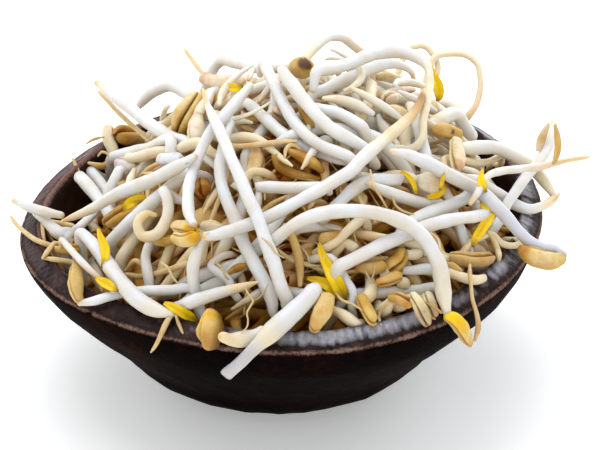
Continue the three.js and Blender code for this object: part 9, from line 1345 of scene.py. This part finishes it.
def bowl_material(name, rough, specular, coat, coat_rough, bump):
    m, nt, sh = material(name)
    trait = node(nt, "ShaderNodeAttribute", attribute_name="trait", attribute_type="GEOMETRY")
    sep = node(nt, "ShaderNodeSeparateColor", {"Color": trait.outputs["Color"]})
    co = node(nt, "ShaderNodeTexCoord")
    grain_co = node(nt, "ShaderNodeMapping", {"Vector": co.outputs["Object"], "Scale": (1.0, 0.22, 1.0), "Rotation": (0.0, 0.0, 0.35)})
    grain = node(nt, "ShaderNodeTexNoise", {"Vector": grain_co.outputs["Vector"], "Scale": 420.0, "Detail": 6.0, "Roughness": 0.62, "Distortion": 0.3})
    broad = node(nt, "ShaderNodeTexNoise", {"Vector": co.outputs["Object"], "Scale": 38.0, "Detail": 3.0})
    fine = node(nt, "ShaderNodeTexNoise", {"Vector": co.outputs["Object"], "Scale": 1500.0, "Detail": 3.0, "Roughness": 0.6})
    pits = node(nt, "ShaderNodeTexVoronoi", {"Vector": co.outputs["Object"], "Scale": 900.0})
    outer = ramp(nt, grain.outputs["Fac"], [(0.28, (0.0012, 0.0006, 0.0005)), (0.5, (0.0028, 0.0014, 0.0010)), (0.68, (0.0075, 0.0034, 0.0022)), (0.85, (0.02, 0.0088, 0.0057))])
    patches = ramp(nt, broad.outputs["Fac"], [(0.35, (0.45, 0.36, 0.32)), (0.55, (0.9, 0.68, 0.58)), (0.75, (2.8, 1.8, 1.4))])
    outer = multiply(nt, outer, patches)
    inner = ramp(nt, grain.outputs["Fac"], [(0.28, (0.008, 0.0034, 0.0024)), (0.55, (0.022, 0.0085, 0.0052)), (0.8, (0.055, 0.023, 0.0135))])
    rim = ramp(nt, grain.outputs["Fac"], [(0.3, (0.0075, 0.0040, 0.0034)), (0.55, (0.021, 0.0115, 0.0100)), (0.8, (0.058, 0.034, 0.028))])
    # the left part of the rim is redder, most of all towards the back
    where = node(nt, "ShaderNodeSeparateXYZ", {"Vector": co.outputs["Object"]})
    leftness = node(nt, "ShaderNodeMapRange", {"Value": where.outputs["X"], "From Min": -0.02, "From Max": -0.052, "To Min": 0.0, "To Max": 1.0})
    backness = node(nt, "ShaderNodeMapRange", {"Value": where.outputs["Y"], "From Min": -0.012, "From Max": 0.012, "To Min": 0.25, "To Max": 1.0})
    leftness = node(nt, "ShaderNodeMath", {0: leftness.outputs["Result"], 1: backness.outputs["Result"]}, operation="MULTIPLY")
    rim_red = multiply(nt, rim, (3.3, 2.0, 2.3))
    blots = node(nt, "ShaderNodeTexNoise", {"Vector": co.outputs["Object"], "Scale": 210.0, "Detail": 5.0, "Roughness": 0.7})
    mottle = ramp(nt, blots.outputs["Fac"], [(0.40, (0.55, 0.5, 0.5)), (0.52, (1.0, 1.0, 1.0)), (0.60, (2.1, 1.8, 1.7)), (0.72, (3.6, 3.0, 2.8))])
    rim = multiply(nt, rim, mottle)

    def mix(fac, a, b_):
        n = nt.nodes.new("ShaderNodeMix")
        n.data_type = "RGBA"
        nt.links.new(fac, n.inputs["Factor"])
        nt.links.new(a, n.inputs["A"])
        if isinstance(b_, bpy.types.NodeSocket):
            nt.links.new(b_, n.inputs["B"])
        else:
            n.inputs["B"].default_value = (*b_, 1)
        return n.outputs["Result"]

    rim = mix(leftness.outputs["Value"], rim, rim_red)
    col = mix(sep.outputs["Green"], outer, inner)
    col = mix(sep.outputs["Red"], col, rim)
    # painted sheen on the rim: the tone attribute, broken by fine hatching, mixes in a bluish-grey highlight
    shine = node(nt, "ShaderNodeAttribute", attribute_name="tone", attribute_type="GEOMETRY")
    hatch = node(nt, "ShaderNodeTexNoise", {"Vector": grain_co.outputs["Vector"], "Scale": 900.0, "Detail": 4.0, "Roughness": 0.7})
    softer = node(nt, "ShaderNodeMath", {0: hatch.outputs["Fac"], 1: 0.62, 2: 0.21}, operation="MULTIPLY_ADD")
    patch = node(nt, "ShaderNodeMath", {0: shine.outputs["Fac"], 1: softer.outputs["Value"]}, operation="MULTIPLY")
    painted_sheen_mask = node(nt, "ShaderNodeMapRange", {"Value": patch.outputs["Value"], "From Min": 0.17, "From Max": 0.62, "To Min": 0.0, "To Max": 1.0})
    col = mix(painted_sheen_mask.outputs["Result"], col, (0.43, 0.43, 0.485))
    # pale chipped edges: wear, and along the inner edge at the left and back partly a painted highlight
    chip = node(nt, "ShaderNodeMath", {0: sep.outputs["Blue"], 1: fine.outputs["Fac"]}, operation="MULTIPLY")
    chip_mask = node(nt, "ShaderNodeMapRange", {"Value": chip.outputs["Value"], "From Min": 0.2, "From Max": 0.46, "To Min": 0.0, "To Max": 0.85})
    col = mix(chip_mask.outputs["Result"], col, (0.24, 0.145, 0.115))
    nt.links.new(col, sh.inputs["Base Color"])
    rr = node(nt, "ShaderNodeMapRange", {"Value": grain.outputs["Fac"], "From Min": 0.25, "From Max": 0.8, "To Min": rough - 0.08, "To Max": rough + 0.12})
    rr2 = node(nt, "ShaderNodeMath", {0: rr.outputs["Result"], 1: sep.outputs["Blue"]}, operation="ADD", use_clamp=True)
    nt.links.new(rr2.outputs["Value"], sh.inputs["Roughness"])
    sh.inputs["Specular IOR Level"].default_value = specular
    sh.inputs["Coat Weight"].default_value = coat
    sh.inputs["Coat Roughness"].default_value = coat_rough
    h1 = node(nt, "ShaderNodeMath", {0: grain.outputs["Fac"], 1: 0.6}, operation="MULTIPLY")
    h2 = node(nt, "ShaderNodeMath", {0: pits.outputs["Distance"], 1: 0.35}, operation="MULTIPLY")
    h3 = node(nt, "ShaderNodeMath", {0: h1.outputs["Value"], 1: h2.outputs["Value"]}, operation="ADD")
    bp = node(nt, "ShaderNodeBump", {"Height": h3.outputs["Value"], "Strength": bump, "Distance": 0.0004})
    nt.links.new(bp.outputs["Normal"], sh.inputs["Normal"])
    return m


WOOD = [
    bowl_material("carved_wood_outside", 0.66, 0.010, 0.0, 0.3, 0.7),
    bowl_material("carved_wood_rim", 0.36, 0.11, 0.0, 0.25, 0.85),
    bowl_material("carved_wood_inside", 0.45, 0.09, 0.0, 0.3, 0.5),
]
bowl = make_bowl().object("bowl_carved", WOOD)
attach(bowl, "root")
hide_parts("bowl")

# ------------------------------------------------------------------ floor, light, camera
floor_mesh = bpy.data.meshes.new("floor")
floor_mesh.from_pydata([(-4, -4, 0), (4, -4, 0), (4, 4, 0), (-4, 4, 0)], [], [(0, 1, 2, 3)])
floor = bpy.data.objects.new("floor", floor_mesh)
bpy.context.scene.collection.objects.link(floor)
fm, fnt, fsh = material("floor_paint")
fn = node(fnt, "ShaderNodeTexNoise", {"Scale": 3.0})
fnt.links.new(ramp(fnt, fn.outputs["Fac"], [(0.0, (0.90, 0.90, 0.90)), (1.0, (0.94, 0.94, 0.94))]), fsh.inputs["Base Color"])
fsh.inputs["Roughness"].default_value = 0.85
fsh.inputs["Emission Color"].default_value = (1.0, 1.0, 1.0, 1)
fsh.inputs["Emission Strength"].default_value = 0.27
fsh.inputs["Specular IOR Level"].default_value = 0.1
floor_mesh.materials.append(fm)
floor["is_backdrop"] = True


def area(name, at, target, size, power, colour):
    light = bpy.data.lights.new(name, "AREA")
    light.shape = "RECTANGLE"
    light.size, light.size_y = size
    light.energy = power
    light.color = colour
    o = bpy.data.objects.new(name, light)
    o.location = at
    d = np.array(target) - np.array(at)
    from mathutils import Vector
    o.rotation_euler = Vector(d).to_track_quat("-Z", "Y").to_euler()
    bpy.context.scene.collection.objects.link(o)
    return o


area("overhead", (-0.10, 0.16, 0.95), (0, 0, 0.04), (0.8, 0.65), 4.4, (0.98, 0.99, 1.0))
area("back_right", (0.55, 0.95, 0.38), (0, 0, 0.05), (0.9, 0.55), 4.6, (0.95, 0.975, 1.0))
area("back_left", (-0.75, 0.75, 0.55), (0, 0, 0.05), (0.6, 0.6), 2.2, (1.0, 0.98, 0.96))
area("front_fill", (-0.45, -1.1, 0.75), (0, 0, 0.04), (0.9, 0.7), 1.3, (1.0, 0.975, 0.94))
# a narrow soft light on the top right of the heap, which is the palest part of the photograph
top_right = area("top_right", (0.14, -0.52, 0.56), (0.029, 0.022, 0.077), (0.1, 0.1), 19.0, (1.0, 0.985, 0.95))
top_right.data = bpy.data.lights.new("top_right_cone", "SPOT")
top_right.data.energy = 19.0
top_right.data.spot_size = math.radians(5.4)
top_right.data.spot_blend = 1.0
top_right.data.shadow_soft_size = 0.07
top_right.data.color = (1.0, 0.985, 0.95)

world = bpy.data.worlds.new("studio")
bpy.context.scene.world = world
world.use_nodes = True
world.node_tree.nodes["Background"].inputs["Color"].default_value = (0.965, 0.98, 1.0, 1)
world.node_tree.nodes["Background"].inputs["Strength"].default_value = 0.8

bpy.context.scene.view_settings.view_transform = "Standard"
bpy.context.scene.view_settings.look = "None"
bpy.context.scene.view_settings.exposure = 0.0

cam = bpy.data.cameras.new("camera")
cam.lens = 2609 / 600 * 36
cam.sensor_width = 36
cam.clip_start, cam.clip_end = 0.05, 20
camera = bpy.data.objects.new("camera", cam)
camera.location = tuple(CAMERA_AT * MM)
camera.rotation_euler = (math.radians(90 - CAMERA_TILT), 0, 0)
bpy.context.scene.collection.objects.link(camera)
bpy.context.scene.camera = camera

low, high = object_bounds()
